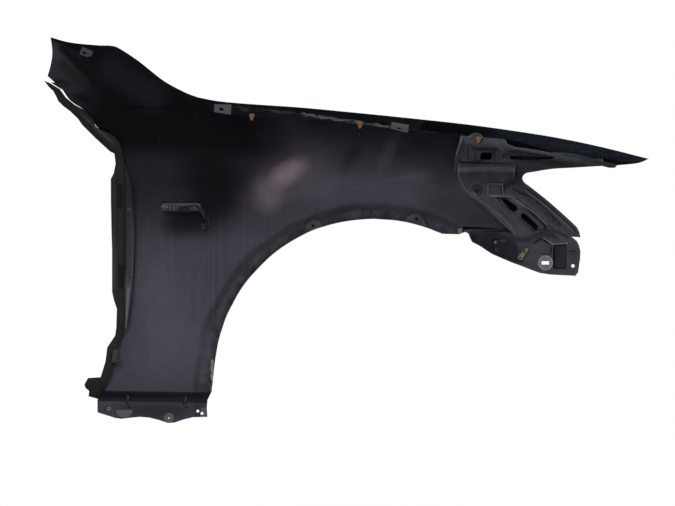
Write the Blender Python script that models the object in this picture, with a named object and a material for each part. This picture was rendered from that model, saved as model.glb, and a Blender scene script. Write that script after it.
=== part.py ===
"""Left front fender of a car, with its inner stampings, rear seal, side lamp and clips.

Metres, +X forward, +Y outboard, +Z up. The outer skin is a height map: skin_y(x, z) gives how far
outboard it lies over the panel's side view. Its edges are folded inboard, and the inner stampings,
the seal and the clips take their places from the same height map.
Shares in a table are shares of LENGTH along X and of HEIGHT along Z, and those of the front
stampings are shares of their own box, counted from its lower rear corner.
"""
import math

import bmesh
import bpy
import numpy as np
from mathutils import Vector, kdtree
from mathutils.geometry import delaunay_2d_cdt

# Driving sizes of the whole panel
LENGTH = 1.234
HEIGHT = 0.790
SKIN_THICKNESS = 0.0008
STAMPING_THICKNESS = 0.0012
SEAT_GAP = 0.0003
LAP_GAP = 0.0010
GRID_STEP = 0.022
STAMPING_STEP = 0.013
FINE_STEP = 0.011
CHAIN_STEP = 0.018
MERGE_DISTANCE = 0.00001
RIM_CLEAR_SHARE = 0.4
POINT_CLEAR_SHARE = 0.6

# How the skin curves inboard
SHOULDER_INSET = 0.105
SHOULDER_REACH = 0.240
NOSE_INSET = 0.200
NOSE_START_SHARE = 0.52
NOSE_POWER = 2.1
ROCKER_TUCK = 0.026
ROCKER_TUCK_REACH = 0.330
REAR_TUCK = 0.012
REAR_TUCK_REACH = 0.420
BELT_SHARE = 0.847
BELT_FALL_SHARE = 0.161
BELT_POWER = 2.2

# Wheel arch land, a flat band above the lip that flares outboard
LAND_WIDTH = 0.041
LAND_FLARE = 0.009
LAND_SOFTNESS = 0.005
ARCH_CENTRE_SHARE = (0.549, 0.095)

# Body line pressed into the skin, and the hollows of the upper arm
BODY_LINE_SHARES = ((0.129, 0.728), (0.340, 0.704))
BODY_LINE_HEIGHT = 0.0030
BODY_LINE_WIDTH = 0.030
BODY_LINE_FADE = 0.380
BODY_LINE_SOFT_SHARE = 0.15
ARM_HOLLOW_SHARES = ((0.021, 0.981), (0.083, 0.887))
ARM_HOLLOW_DEPTH = 0.0045
ARM_HOLLOW_WIDTH = 0.017
ARM_HOLLOW_FADE_SHARE = 0.7

# Side lamp pocket
POCKET_SHARES = ((0.186, 0.603), (0.263, 0.603), (0.263, 0.545), (0.186, 0.545))
POCKET_DEPTH = 0.0022
POCKET_RAMP = 0.007
POCKET_CORNER = 0.010

# Edges of the skin, from the rear tip of the arm forward, down and back
ARM_TOP_SHARES = ((0.012, 1.000), (0.034, 0.990), (0.051, 0.985), (0.069, 0.982), (0.094, 0.979))
ARM_SLOPE_SHARES = ((0.094, 0.979), (0.113, 0.978), (0.127, 0.970), (0.158, 0.938), (0.197, 0.890),
                    (0.232, 0.860), (0.255, 0.846))
HOOD_EDGE_SHARES = ((0.255, 0.846), (0.290, 0.836), (0.340, 0.829), (0.424, 0.820), (0.506, 0.808),
                    (0.589, 0.795), (0.689, 0.778), (0.769, 0.761), (0.848, 0.741), (0.923, 0.716),
                    (1.000, 0.685))
SPEAR_EDGE_SHARES = ((1.000, 0.685), (0.989, 0.677), (0.978, 0.673), (0.949, 0.669),
                     (0.920, 0.667), (0.896, 0.665), (0.873, 0.663), (0.848, 0.661),
                     (0.832, 0.658), (0.817, 0.654))
NOTCH_SHARES = ((0.817, 0.654), (0.800, 0.649), (0.794, 0.639), (0.796, 0.627), (0.805, 0.616))
LAMP_EDGE_SHARES = ((0.805, 0.616), (0.838, 0.575), (0.875, 0.523), (0.886, 0.504), (0.890, 0.483))
BUMPER_EDGE_SHARES = ((0.890, 0.483), (0.868, 0.485), (0.843, 0.494), (0.807, 0.499),
                      (0.765, 0.500), (0.707, 0.501), (0.689, 0.491), (0.662, 0.492))
ARCH_EDGE_SHARES = ((0.662, 0.492), (0.650, 0.499), (0.637, 0.507), (0.611, 0.519),
                    (0.584, 0.527), (0.557, 0.530), (0.544, 0.531), (0.517, 0.528),
                    (0.491, 0.522), (0.464, 0.511), (0.439, 0.497), (0.403, 0.466),
                    (0.376, 0.435), (0.355, 0.403), (0.337, 0.372), (0.323, 0.341),
                    (0.312, 0.310), (0.302, 0.279), (0.295, 0.248), (0.289, 0.217),
                    (0.285, 0.185), (0.282, 0.154), (0.280, 0.123), (0.277, 0.082))
SILL_EDGE_SHARES = ((0.277, 0.082), (0.096, 0.084))
REAR_LOWER_SHARES = ((0.096, 0.084), (0.109, 0.144), (0.117, 0.196), (0.124, 0.256),
                     (0.126, 0.320), (0.126, 0.476),
                     (0.124, 0.580), (0.123, 0.652), (0.117, 0.715), (0.104, 0.758))
REAR_EAR_SHARES = ((0.104, 0.758), (0.098, 0.760), (0.092, 0.764), (0.085, 0.773), (0.082, 0.785),
                   (0.083, 0.794))
REAR_UPPER_SHARES = ((0.083, 0.794), (0.064, 0.816), (0.043, 0.838), (0.029, 0.868), (0.017, 0.885),
                     (0.006, 0.901))
ARM_END_SHARES = ((0.006, 0.901), (0.011, 0.927), (0.014, 0.952), (0.014, 0.974), (0.012, 1.000))
REAR_EAR_HOLE_SHARE = (0.091, 0.778)
REAR_EAR_HOLE = 0.0024

# Folds along the top edge: hood gap wall, sloping ledge with two bolt tabs, and the arm's flap
WALL_DROP = 0.031
WALL_DROP_SHARES = ((0.254, 0.06), (0.285, 0.24), (0.42, 0.40), (0.585, 0.50), (0.616, 0.84),
                    (0.674, 0.79), (0.76, 0.63), (0.785, 0.66), (0.808, 0.80), (0.84, 1.0),
                    (0.873, 0.90), (0.908, 0.87), (0.956, 0.52), (1.0, 0.06))
WALL_LEAN = 0.12
LEDGE_DEPTH = 0.018
LEDGE_DROP = 0.017
LEDGE_DROP_SHARES = ((0.281, 1.0), (0.311, 1.0), (0.40, 0.75), (0.51, 0.50), (0.572, 0.55))
LEDGE_SHARES = ((0.262, 0.0), (0.281, 1.0), (0.604, 1.0), (0.622, 0.0))
TAB_SPAN_SHARES = ((0.281, 0.311), (0.572, 0.604))
TAB_HOLE_SHARES = (0.294, 0.589)
TAB_HOLE_LENGTH = 0.0090
TAB_HOLE_WIDTH = 0.0070
FLAP_EDGE_SHARES = ((0.013, 0.996), (0.022, 0.989), (0.034, 0.979), (0.046, 0.969),
                    (0.057, 0.959), (0.064, 0.948),
                    (0.082, 0.951), (0.086, 0.950), (0.089, 0.961), (0.092, 0.970))
FLAP_BASE_SHARES = ((0.042, 0.988), (0.085, 0.980))
FLAP_LEAN = 0.35
FLAP_ROLL = 0.007
FLAP_HOLE_SHARE = (0.068, 0.959)
FLAP_HOLE_LENGTH = 0.0100
FLAP_HOLE_WIDTH = 0.0050
FLAP_HOLE_TILT = -0.35

# Folds along the rear, the wheel arch, the bumper edge and the sill
REAR_FOLD = 0.012
REAR_FOLD_RAMP = 0.040
REAR_HEM = 0.004
REAR_STRIP_SHARES = ((0.123, 0.684), (0.132, 0.676), (0.139, 0.648), (0.145, 0.611), (0.148, 0.564),
                     (0.150, 0.497), (0.149, 0.445), (0.147, 0.385), (0.144, 0.320), (0.140, 0.279),
                     (0.134, 0.237), (0.121, 0.222))
SEAL_HOLE_SHARES = ((0.139, 0.554), (0.140, 0.382))
SEAL_HOLE = 0.0034
LIP_DEPTH = 0.014
LIP_RISE = 0.0015
EAR_SPAN_SHARES = (((0.591, 0.527), (0.638, 0.509)), ((0.429, 0.489), (0.468, 0.514)))
EAR_TOP_SHARES = (((0.611, 0.544), (0.625, 0.544)), ((0.437, 0.523), (0.452, 0.530)))
EAR_HOLE_SHARES = ((0.618, 0.531), (0.446, 0.513))
EAR_HOLE = 0.0028
EDGE_HEM = 0.008
SILL_ROLL = 0.024
SILL_FLANGE_SHARES = ((0.270, 0.059), (0.269, 0.039), (0.270, 0.016), (0.246, 0.015),
                      (0.230, 0.009), (0.215, 0.001), (0.204, 0.000), (0.189, 0.008), (0.173, 0.014),
                      (0.158, 0.016), (0.143, 0.014), (0.127, 0.011), (0.117, 0.013), (0.101, 0.021),
                      (0.087, 0.028), (0.087, 0.060))
SILL_HOLE_SHARES = ((0.106, 0.037), (0.206, 0.013), (0.254, 0.031))
SILL_HOLES = (0.0026, 0.0032, 0.0030)
SILL_SQUARE_SHARE = (0.261, 0.025)
SILL_SQUARE = 0.0052
SILL_BOSS_SHARE = (0.106, 0.037)
SILL_BOSS = 0.0085
SILL_BOSS_HEIGHT = 0.0020
SILL_BEAD_SHARES = ((0.138, 0.047), (0.233, 0.047))
SILL_BEAD_LENGTH = 0.013
SILL_BEAD_WIDTH = 0.0075
SILL_BEAD_HEIGHT = 0.0030

# Front stampings: their box, sheet levels and the reinforcement behind the hood gap wall
FRONT_CORNER_SHARE = (0.677, 0.383)
FRONT_SIZE_SHARE = (0.216, 0.3736)
STAMPING_STANDOFF = 0.011
BOX_DEPTH = 0.018
BOX_MIDDLE = 0.055
BOX_REACH = 0.060
WALL_BLEND = 0.030
EDGE_INSET = 0.0002
PLATE_LINE_SHARES = ((0.538, 0.146), (0.962, 0.146))
PLATE_BLEND = 0.020
STAMPING_TIP_SHARE = 0.930
STAMPING_FOOT_SHARE = 0.487
REINFORCEMENT_SHARES = ((0.977, 0.272), (0.854, 0.278), (0.800, 0.361), (0.677, 0.465), (0.523, 0.556),
                        (0.423, 0.639), (0.369, 0.681), (0.138, 0.681), (0.046, 0.688),
                        (0.015, 0.729), (0.020, 0.806),
                        (0.035, 0.875), (0.058, 0.938), (0.065, 0.986), (0.108, 1.003), (0.215, 0.997),
                        (0.369, 0.976), (0.397, 0.958), (0.426, 0.914), (0.485, 0.893), (0.574, 0.882),
                        (0.692, 0.865), (0.765, 0.851), (0.785, 0.872), (0.846, 0.871), (0.908, 0.865),
                        (1.069, 0.840), (1.138, 0.830))
REINFORCEMENT_WINDOW_SHARES = ((0.443, 0.833), (0.600, 0.829), (0.777, 0.822), (0.765, 0.806),
                               (0.446, 0.806))
WINDOW_CORNER = 0.002
REINFORCEMENT_HOLE_SHARES = ((0.220, 0.856), (0.308, 0.856), (0.300, 0.806), (0.215, 0.806))
HOLE_CORNER = 0.0025
STAMP_CORNER = 0.0035
STAMP_RAMP = 0.0040
# Pressed into the reinforcement: a long recess, the seat round its square hole, a dimple, the
# recess over its window, and the body that stands proud between its welded edges
REINFORCEMENT_STAMP_SHARES = (
    ((0.075, 0.931), (0.134, 0.931), (0.126, 0.795), (0.060, 0.795)),
    ((0.158, 0.887), (0.335, 0.887), (0.327, 0.788), (0.169, 0.788)),
    ((0.380, 0.843), (0.426, 0.843), (0.426, 0.801), (0.380, 0.801)),
    ((0.435, 0.869), (0.485, 0.872), (0.615, 0.854), (0.785, 0.826), (0.772, 0.800), (0.437, 0.800)),
    ((0.088, 0.931), (0.200, 0.933), (0.354, 0.917), (0.400, 0.875), (0.400, 0.772), (0.051, 0.788)),
)
REINFORCEMENT_STAMP_DEPTHS = (0.0022, 0.0040, 0.0030, 0.0045, -0.0030)

# Diagonal headlamp bracket with its bumper plate
BRACKET_BULGE = 0.010
BRACKET_LAP = 0.006
BRACKET_RAMP = 0.012
BRACKET_FLAT = 0.010
CREASE_RAMP = 0.022
BRACKET_SIDE_SHARES = ((0.460, 0.601), (0.615, 0.535), (0.838, 0.344), (0.923, 0.257))
BRACKET_CREASE_SHARES = ((0.408, 0.294), (0.508, 0.285), (0.631, 0.292), (0.765, 0.319), (0.898, 0.292))
BRACKET_SHARES = ((0.054, 0.780), (0.485, 0.769), (0.480, 0.701), (0.460, 0.601), (0.523, 0.567),
                  (0.618, 0.533), (0.723, 0.451), (0.838, 0.342), (0.877, 0.296), (0.919, 0.271),
                  (0.957, 0.243), (0.974, 0.215), (0.986, 0.170), (0.983, 0.118), (0.968, 0.022),
                  (0.946, 0.000),
                  (0.763, 0.008), (0.685, 0.018), (0.623, 0.072), (0.518, 0.117), (0.507, 0.167),
                  (0.503, 0.229), (0.483, 0.279), (0.426, 0.330), (0.352, 0.392), (0.279, 0.460),
                  (0.205, 0.514), (0.110, 0.569), (0.065, 0.615), (0.046, 0.682), (0.043, 0.761))
BRACKET_DROP_SLOT_SHARES = ((0.378, 0.536), (0.412, 0.535), (0.462, 0.507), (0.502, 0.483),
                            (0.505, 0.456), (0.477, 0.443), (0.449, 0.457))
BRACKET_SLOT_SHARES = ((0.548, 0.417), (0.642, 0.340))
BRACKET_SLOT_RADIUS = 0.0055
NUT_SLOT_SHARES = ((0.574, 0.189), (0.543, 0.149))
NUT_SLOT_RADIUS = 0.0042
BOSS_SHARE = (0.191, 0.593)
BOSS_RADIUS = 0.0127
BOSS_HOLE = 0.0055
BOSS_DEPTH = 0.0040
# Pressed into the bracket: a pad, the channel along its arm, a small pad beside it, and the recess
# and the crease of the bumper plate
BRACKET_STAMP_SHARES = (
    ((0.277, 0.649), (0.392, 0.649), (0.392, 0.554), (0.277, 0.554)),
    ((0.323, 0.550), (0.426, 0.556), (0.500, 0.544), (0.562, 0.508), (0.746, 0.342), (0.708, 0.308),
     (0.608, 0.308), (0.500, 0.404), (0.369, 0.494)),
    ((0.364, 0.465), (0.492, 0.366), (0.467, 0.343), (0.338, 0.440)),
    ((0.776, 0.216), (0.878, 0.226), (0.878, 0.047), (0.776, 0.047)),
    ((0.689, 0.269), (0.771, 0.215), (0.765, 0.139), (0.646, 0.153), (0.608, 0.222)),
)
BRACKET_STAMP_DEPTHS = (0.0032, 0.0075, 0.0020, 0.0070, 0.0030)
BRACKET_STAMP_RAMPS = (0.0030, 0.0070, 0.0025, 0.0035, 0.0040)
GROMMET_SHARE = (0.718, 0.090)
GROMMET_RADIUS = 0.0154
GROMMET_THICKNESS = 0.0030
GROMMET_HOLE_LENGTH = 0.0150
GROMMET_HOLE_HEIGHT = 0.0068
GROMMET_HOLE_MARGIN = 0.0012
SCREW_GROMMET_SHARE = (0.932, 0.170)
SCREW_GROMMET_LENGTH = 0.0164
SCREW_GROMMET_HEIGHT = 0.0118
SCREW_GROMMET_THICKNESS = 0.0040
SCREW_GROMMET_SLOT_LENGTH = 0.0080
SCREW_GROMMET_SLOT_RADIUS = 0.0013
SCREW_GROMMET_SLOT_DEPTH = 0.0026
SCREW_HOLE_SIDE = 0.0086
PLATE_HOLE_SHARE = (0.928, 0.069)
PLATE_HOLE = 0.0036

# Side bracket under the front lower corner
SIDE_BRACKET_SHARES = ((0.095, 0.308), (0.138, 0.324), (0.369, 0.323), (0.538, 0.315),
                       (0.577, 0.250), (0.608, 0.167), (0.638, 0.104), (0.685, 0.017),
                       (0.615, 0.039), (0.538, 0.067), (0.454, 0.095), (0.385, 0.122),
                       (0.311, 0.151), (0.262, 0.179), (0.223, 0.204), (0.155, 0.236),
                       (0.140, 0.264), (0.128, 0.294))
SIDE_HOLE_SHARE = (0.336, 0.233)
SIDE_HOLE = 0.0022
SIDE_HOLE_BOSS = 0.0085
SIDE_BOSS_DEPTH = 0.0040
SIDE_PAD_SHARES = ((0.163, 0.285), (0.182, 0.258))
SIDE_PAD_RADIUS = 0.0046
SIDE_PAD_HEIGHT = 0.0022

# Small plastic pieces of the front
SPRING_NUT_SHARES = ((0.526, 0.126), (0.571, 0.179))
SPRING_NUT_RADIUS = 0.0046
SPRING_NUT_THICKNESS = 0.0055
SPRING_NUT_HOLE = 0.0022
HOOD_CLIP_SHARES = (0.3445, 0.5240, 0.7205)
HOOD_CLIP_NAMES = ("rear", "middle", "front")
HOOD_CLIP_WIDTH = 0.0112
HOOD_CLIP_HEIGHT = 0.0138
HOOD_CLIP_THICKNESS = 0.0060
HOOD_CLIP_LIFT_SHARES = (0.36, 0.36, 0.0)
HOOD_CLIP_OUTLINE_SHARES = ((-0.30, 0.0), (0.30, 0.0), (0.50, 0.16), (0.50, 0.38), (0.34, 0.66),
                            (0.12, 1.0), (-0.12, 1.0), (-0.34, 0.66), (-0.50, 0.38), (-0.50, 0.16))
CLIP_SEAT_SHARES = ((0.703, 0.741), (0.705, 0.746), (0.709, 0.751), (0.716, 0.754), (0.723, 0.751),
                    (0.727, 0.746), (0.728, 0.740), (0.716, 0.739))
CLIP_SEAT_THICKNESS = 0.0015
LIP_CLIP_SHARE = (0.691, 0.500)
LIP_CLIP_LENGTH = 0.0090
LIP_CLIP_HEIGHT = 0.0100
LIP_CLIP_THICKNESS = 0.0050
CLIP_CORNER = 0.0015
ROUND_OVER_SHARE = 0.4
FILM_SHARES = ((0.856, 0.703), (0.881, 0.699), (0.906, 0.688), (0.925, 0.678), (0.941, 0.674),
               (0.948, 0.668),
               (0.945, 0.662), (0.935, 0.662), (0.923, 0.667), (0.906, 0.677), (0.881, 0.691),
               (0.858, 0.696))
FILM_THICKNESS = 0.0008
FILM_CURL = 0.0025
FILM_CURL_START_SHARE = 0.905

# Rubber seal along the rear edge
SEAL_OUTER_SHARES = ((0.000, 0.889), (0.007, 0.874), (0.015, 0.862), (0.020, 0.847),
                     (0.023, 0.836), (0.030, 0.825), (0.044, 0.808), (0.055, 0.791),
                     (0.062, 0.775), (0.083, 0.742), (0.108, 0.706), (0.115, 0.701),
                     (0.116, 0.689), (0.117, 0.675), (0.114, 0.650), (0.109, 0.635),
                     (0.109, 0.580), (0.110, 0.502), (0.111, 0.450), (0.111, 0.341),
                     (0.114, 0.320), (0.119, 0.297), (0.118, 0.248), (0.116, 0.227),
                     (0.103, 0.197), (0.100, 0.160), (0.092, 0.119), (0.071, 0.117),
                     (0.065, 0.100), (0.067, 0.091), (0.073, 0.083), (0.072, 0.069))
SEAL_INNER_SHARES = ((0.009, 0.883), (0.026, 0.867), (0.036, 0.845), (0.050, 0.827),
                     (0.067, 0.813), (0.071, 0.804), (0.078, 0.795), (0.082, 0.785),
                     (0.084, 0.773), (0.091, 0.763), (0.098, 0.759), (0.107, 0.753),
                     (0.116, 0.743), (0.123, 0.729), (0.127, 0.711), (0.130, 0.684),
                     (0.131, 0.645), (0.132, 0.577), (0.135, 0.497), (0.135, 0.404),
                     (0.132, 0.364), (0.133, 0.263), (0.130, 0.237), (0.121, 0.191),
                     (0.115, 0.149), (0.109, 0.118), (0.104, 0.104), (0.099, 0.092),
                     (0.093, 0.079), (0.089, 0.071), (0.085, 0.064))
SEAL_EDGE = 0.0026
SEAL_RIDGE = 0.0042
SEAL_RIDGE_REACH = 0.010
SEAL_PAD_SHARES = ((0.011, 0.884), (0.036, 0.883), (0.043, 0.872), (0.028, 0.867))
SEAL_PAD_THICKNESS = 0.0040
SEAL_CLIP_HEAD = 0.0044
SEAL_CLIP_HEAD_THICKNESS = 0.0016
SEAL_CLIP_TOP_SHARE = 0.7
SEAL_CLIP_STEM = 0.0029
SEAL_CLIP_LENGTH = 0.0080
SEAL_CLIP_TIP = 0.0016
SEAL_BLOCK_SHARES = ((0.113, 0.190), (0.121, 0.192), (0.122, 0.166), (0.128, 0.164),
                     (0.127, 0.161), (0.122, 0.159), (0.120, 0.156), (0.110, 0.157))
SEAL_BLOCK_THICKNESS = 0.0050

# Side lamp
LAMP_HOLE_SHARES = ((0.199, 0.562), (0.253, 0.562))
LAMP_HOLE_RADIUS = 0.0066
LAMP_BODY_RADIUS = 0.0080
LAMP_BODY_DEPTH = 0.0100
LAMP_LENS_RADIUS = 0.0100
LAMP_LENS_HEIGHT = 0.0050
LAMP_ROUND = 0.0050
LAMP_LENS_RIM_SHARE = 0.3
SOCKET_SHARES = ((0.222, 0.565), (0.241, 0.563), (0.241, 0.548), (0.222, 0.549))
SOCKET_DEPTH = 0.0070
SOCKET_CORNER = 0.0020
LEVER_SHARES = ((0.247, 0.568), (0.255, 0.566), (0.264, 0.553), (0.271, 0.536), (0.274, 0.522),
                (0.272, 0.512), (0.267, 0.507), (0.262, 0.509), (0.260, 0.515), (0.262, 0.519),
                (0.267, 0.516), (0.267, 0.524), (0.262, 0.538), (0.256, 0.550), (0.248, 0.555))
LEVER_THICKNESS = 0.0030
LEVER_SLOPE_SHARES = ((0.263, 0.564), (0.272, 0.564))

# Place of the panel's origin: on the face of the front bolt tab
ORIGIN_SHARE = 0.578
CARRIER = "fender"


# Points, lines and loops in the side view


def spot(share):
    """A point of the side view from its shares of the panel's length and height."""
    return Vector((share[0] * LENGTH, share[1] * HEIGHT))


def spots(shares):
    return [spot(share) for share in shares]


def straight_line(points, step):
    """The points of a polyline with more points added so that no piece is longer than step."""
    line = []
    for start, end in zip(points, points[1:]):
        count = max(1, math.ceil((end - start).length / step))
        line += [start.lerp(end, i / count) for i in range(count)]
    return line + [points[-1]]


def smooth_line(points, step):
    """A Catmull-Rom curve through the points, cut into pieces no longer than step."""
    padded = [2 * points[0] - points[1]] + list(points) + [2 * points[-1] - points[-2]]
    line = []
    for i in range(1, len(padded) - 2):
        before, start, end, after = padded[i - 1:i + 3]
        count = max(1, math.ceil((end - start).length / step))
        for j in range(count):
            t = j / count
            line.append(0.5 * (2 * start + t * (end - before)
                               + t * t * (2 * before - 5 * start + 4 * end - after)
                               + t ** 3 * (3 * start - before - 3 * end + after)))
    return line + [points[-1].copy()]


def rounded_loop(corners, radius, cuts=3):
    """A closed polygon whose corners are rounded over about the given radius."""
    loop = []
    for i, corner in enumerate(corners):
        before = corners[i - 1] - corner
        after = corners[(i + 1) % len(corners)] - corner
        start = corner + before * min(0.5, radius / before.length)
        end = corner + after * min(0.5, radius / after.length)
        for j in range(cuts + 1):
            t = j / cuts
            loop.append(start.lerp(corner, t).lerp(corner.lerp(end, t), t))
    return loop


def round_loop(centre, radius, count=12):
    angles = [math.tau * i / count for i in range(count)]
    return [centre + radius * Vector((math.cos(a), math.sin(a))) for a in angles]


def slot_loop(start, end, radius, cuts=5):
    """A slot with round ends around the two given centres."""
    along = (end - start).normalized()
    turn = math.atan2(along.y, along.x)
    loop = []
    for centre, first in ((end, turn - math.pi / 2), (start, turn + math.pi / 2)):
        for j in range(cuts + 1):
            angle = first + math.pi * j / cuts
            loop.append(centre + radius * Vector((math.cos(angle), math.sin(angle))))
    return loop


def oval_loop(centre, length, width, tilt, count=12):
    loop = []
    for i in range(count):
        angle = math.tau * i / count
        across = Vector((math.cos(angle) * length / 2, math.sin(angle) * width / 2))
        loop.append(centre + Vector((across.x * math.cos(tilt) - across.y * math.sin(tilt),
                                     across.x * math.sin(tilt) + across.y * math.cos(tilt))))
    return loop


def read_table(table, place):
    """Linear reading of a table of (place, value) pairs."""
    return float(np.interp(place, [row[0] for row in table], [row[1] for row in table]))


def smooth(value):
    """A soft step from 0 to 1."""
    t = min(1.0, max(0.0, value))
    return t * t * (3 - 2 * t)


def inset_of(point, loop):
    """How far inside a closed loop a point lies; negative outside it."""
    nearest = math.inf
    inside = False
    for a, b in zip(loop, loop[1:] + loop[:1]):
        edge = b - a
        t = min(1.0, max(0.0, (point - a).dot(edge) / edge.length_squared))
        nearest = min(nearest, (point - a - t * edge).length)
        if (a.y > point.y) != (b.y > point.y):
            if point.x < a.x + (point.y - a.y) / (b.y - a.y) * (b.x - a.x):
                inside = not inside
    return nearest if inside else -nearest


def inner_loop(loop, distance):
    """The loop moved inwards by about the given distance."""
    centre = sum(loop, Vector((0, 0))) / len(loop)
    moved = []
    for i, point in enumerate(loop):
        along = loop[(i + 1) % len(loop)] - loop[i - 1]
        normal = Vector((-along.y, along.x)).normalized()
        if normal.dot(centre - point) < 0:
            normal = -normal
        moved.append(point + normal * distance)
    return moved


def are_inside(points, loop):
    """For an array of points, whether each lies inside the closed loop."""
    inside = np.zeros(len(points), bool)
    x = points[:, 0]
    y = points[:, 1]
    for a, b in zip(loop, loop[1:] + loop[:1]):
        if a.y != b.y:
            crosses = (a.y > y) != (b.y > y)
            inside ^= crosses & (x < a.x + (y - a.y) / (b.y - a.y) * (b.x - a.x))
    return inside


def rim_distance(points, loop):
    """For an array of points, the distance of each from the closed loop."""
    nearest = np.full(len(points), np.inf)
    for a, b in zip(loop, loop[1:] + loop[:1]):
        edge = np.array(b - a)
        arm = points - np.array(a)
        share = np.clip(arm @ edge / (edge @ edge), 0, 1)
        nearest = np.minimum(nearest, np.linalg.norm(arm - share[:, None] * edge, axis=1))
    return nearest


# Sheets: an outline filled with triangles and lifted to its place


def grid_between(outline, holes, fixed, step):
    """Points of a triangular grid inside the outline, clear of the holes and the fixed points."""
    low = [min(p[i] for p in outline) for i in range(2)]
    high = [max(p[i] for p in outline) for i in range(2)]
    rise = step * math.sqrt(3) / 2
    rows = []
    for j in range(1, math.ceil((high[1] - low[1]) / rise)):
        shift = step / 2 * (j % 2)
        for i in range(math.ceil((high[0] - low[0]) / step)):
            rows.append((low[0] + shift + i * step, low[1] + j * rise))
    if not rows:
        return []
    grid = np.array(rows)
    keep = are_inside(grid, outline) & (rim_distance(grid, outline) > RIM_CLEAR_SHARE * step)
    for hole in holes:
        keep &= ~are_inside(grid, hole)
    tree = kdtree.KDTree(len(fixed))
    for i, point in enumerate(fixed):
        tree.insert((point.x, point.y, 0), i)
    tree.balance()
    clear = POINT_CLEAR_SHARE * step
    return [Vector(p) for p in grid[keep] if tree.find((p[0], p[1], 0))[2] > clear]


def add_patch(bm, outline, place, step, holes=(), lines=()):
    """Fills the outline in the side view and lifts every point with place(x, z)."""
    points = []
    edges = []
    for loop in [outline] + list(holes):
        start = len(points)
        points += loop
        edges += [(start + i, start + (i + 1) % len(loop)) for i in range(len(loop))]
    for line in lines:
        start = len(points)
        points += line
        edges += [(start + i, start + i + 1) for i in range(len(line) - 1)]
    points += grid_between(outline, holes, points, step)
    flat, _, faces, origins, _, _ = delaunay_2d_cdt(points, edges, [], 1, MERGE_DISTANCE)
    centres = np.array([sum((flat[i] for i in face), Vector((0, 0))) / 3 for face in faces])
    keep = np.ones(len(faces), bool)
    for hole in holes:
        keep &= ~are_inside(centres, hole)
    made = {}
    for face, kept in zip(faces, keep):
        if kept:
            for i in face:
                if i not in made:
                    made[i] = bm.verts.new(place(flat[i].x, flat[i].y))
            bm.faces.new([made[i] for i in face])
    found = {}
    for i, sources in enumerate(origins):
        for source in sources:
            found[source] = made.get(i)
    return [found.get(i) for i in range(len(outline))]


def fold_row(bm, row, places):
    """Adds a strip from a row of vertices to new vertices at the given places."""
    folded = [bm.verts.new(place) for place in places]
    for i in range(len(row) - 1):
        bm.faces.new((row[i], row[i + 1], folded[i + 1], folded[i]))
    return folded


def add_object(name, bm, material, smooth_angle=0.6):
    """Makes one object from the mesh, with its material and soft shading."""
    mesh = bpy.data.meshes.new(name)
    bm.to_mesh(mesh)
    bm.free()
    mesh.materials.append(material)
    mesh.shade_smooth()
    mesh.set_sharp_from_angle(angle=smooth_angle)
    piece = bpy.data.objects.new(name, mesh)
    bpy.context.scene.collection.objects.link(piece)
    piece.parent = bpy.data.objects[CARRIER]
    return piece


def add_sheet(name, bm, material, thickness, outward=Vector((0, 1, 0))):
    """Turns a folded surface into sheet metal whose thickness grows away from its outer side."""
    bmesh.ops.remove_doubles(bm, verts=bm.verts, dist=MERGE_DISTANCE)
    bmesh.ops.recalc_face_normals(bm, faces=bm.faces)
    bm.faces.ensure_lookup_table()
    largest = max(bm.faces, key=lambda face: face.calc_area())
    if largest.normal.dot(outward) < 0:
        bmesh.ops.reverse_faces(bm, faces=bm.faces)
    sheet = add_object(name, bm, material)
    solidify = sheet.modifiers.new("thickness", "SOLIDIFY")
    solidify.thickness = thickness
    solidify.offset = -1
    solidify.use_even_offset = True
    solidify.use_quality_normals = True
    return sheet


def add_slab(name, outline, inner, outer, material, step, holes=(), lines=()):
    """A closed solid between two height maps, inner(x, z) inboard and outer(x, z) outboard."""
    bm = bmesh.new()
    fill_slab(bm, outline, inner, outer, step, holes, lines)
    return add_object(name, bm, material)


def fill_slab(bm, outline, inner, outer, step, holes=(), lines=()):
    """Adds one slab to a mesh: its two height maps and the walls between them."""
    flat = bmesh.new()
    add_patch(flat, outline, lambda x, z: (x, 0, z), step, holes, lines)
    bmesh.ops.remove_doubles(flat, verts=flat.verts, dist=MERGE_DISTANCE)
    bmesh.ops.recalc_face_normals(flat, faces=flat.faces)
    flat.faces.ensure_lookup_table()
    if flat.faces[0].normal.y > 0:
        bmesh.ops.reverse_faces(flat, faces=flat.faces)
    near = {}
    far = {}
    for v in flat.verts:
        near[v] = bm.verts.new((v.co.x, inner(v.co.x, v.co.z), v.co.z))
        far[v] = bm.verts.new((v.co.x, outer(v.co.x, v.co.z), v.co.z))
    for face in flat.faces:
        bm.faces.new([near[v] for v in face.verts])
        bm.faces.new([far[v] for v in reversed(face.verts)])
    for edge in flat.edges:
        if edge.is_boundary:
            loop = edge.link_loops[0]
            a = loop.vert
            b = loop.link_loop_next.vert
            bm.faces.new((near[b], near[a], far[a], far[b]))
    flat.free()


# The skin as a height map


def belt_z(x):
    """Height of the line below which the shoulder starts to roll inboard."""
    return HEIGHT * (BELT_SHARE - BELT_FALL_SHARE * max(0.0, x / LENGTH) ** BELT_POWER)


def arch_outline():
    """The wheel arch edge in polar form round its centre, as (angle, radius) rows."""
    centre = spot(ARCH_CENTRE_SHARE)
    rows = []
    for point in smooth_line(spots(ARCH_EDGE_SHARES), CHAIN_STEP):
        arm = point - centre
        rows.append((math.atan2(arm.y, arm.x) % math.tau, arm.length))
    return sorted(rows)


ARCH_ROWS = arch_outline()
POCKET_LOOP = rounded_loop(spots(POCKET_SHARES), POCKET_CORNER)


def arch_distance(x, z):
    """Distance outside the wheel arch's edge, measured from its centre."""
    arm = Vector((x, z)) - spot(ARCH_CENTRE_SHARE)
    return arm.length - read_table(ARCH_ROWS, math.atan2(arm.y, arm.x) % math.tau)


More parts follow.
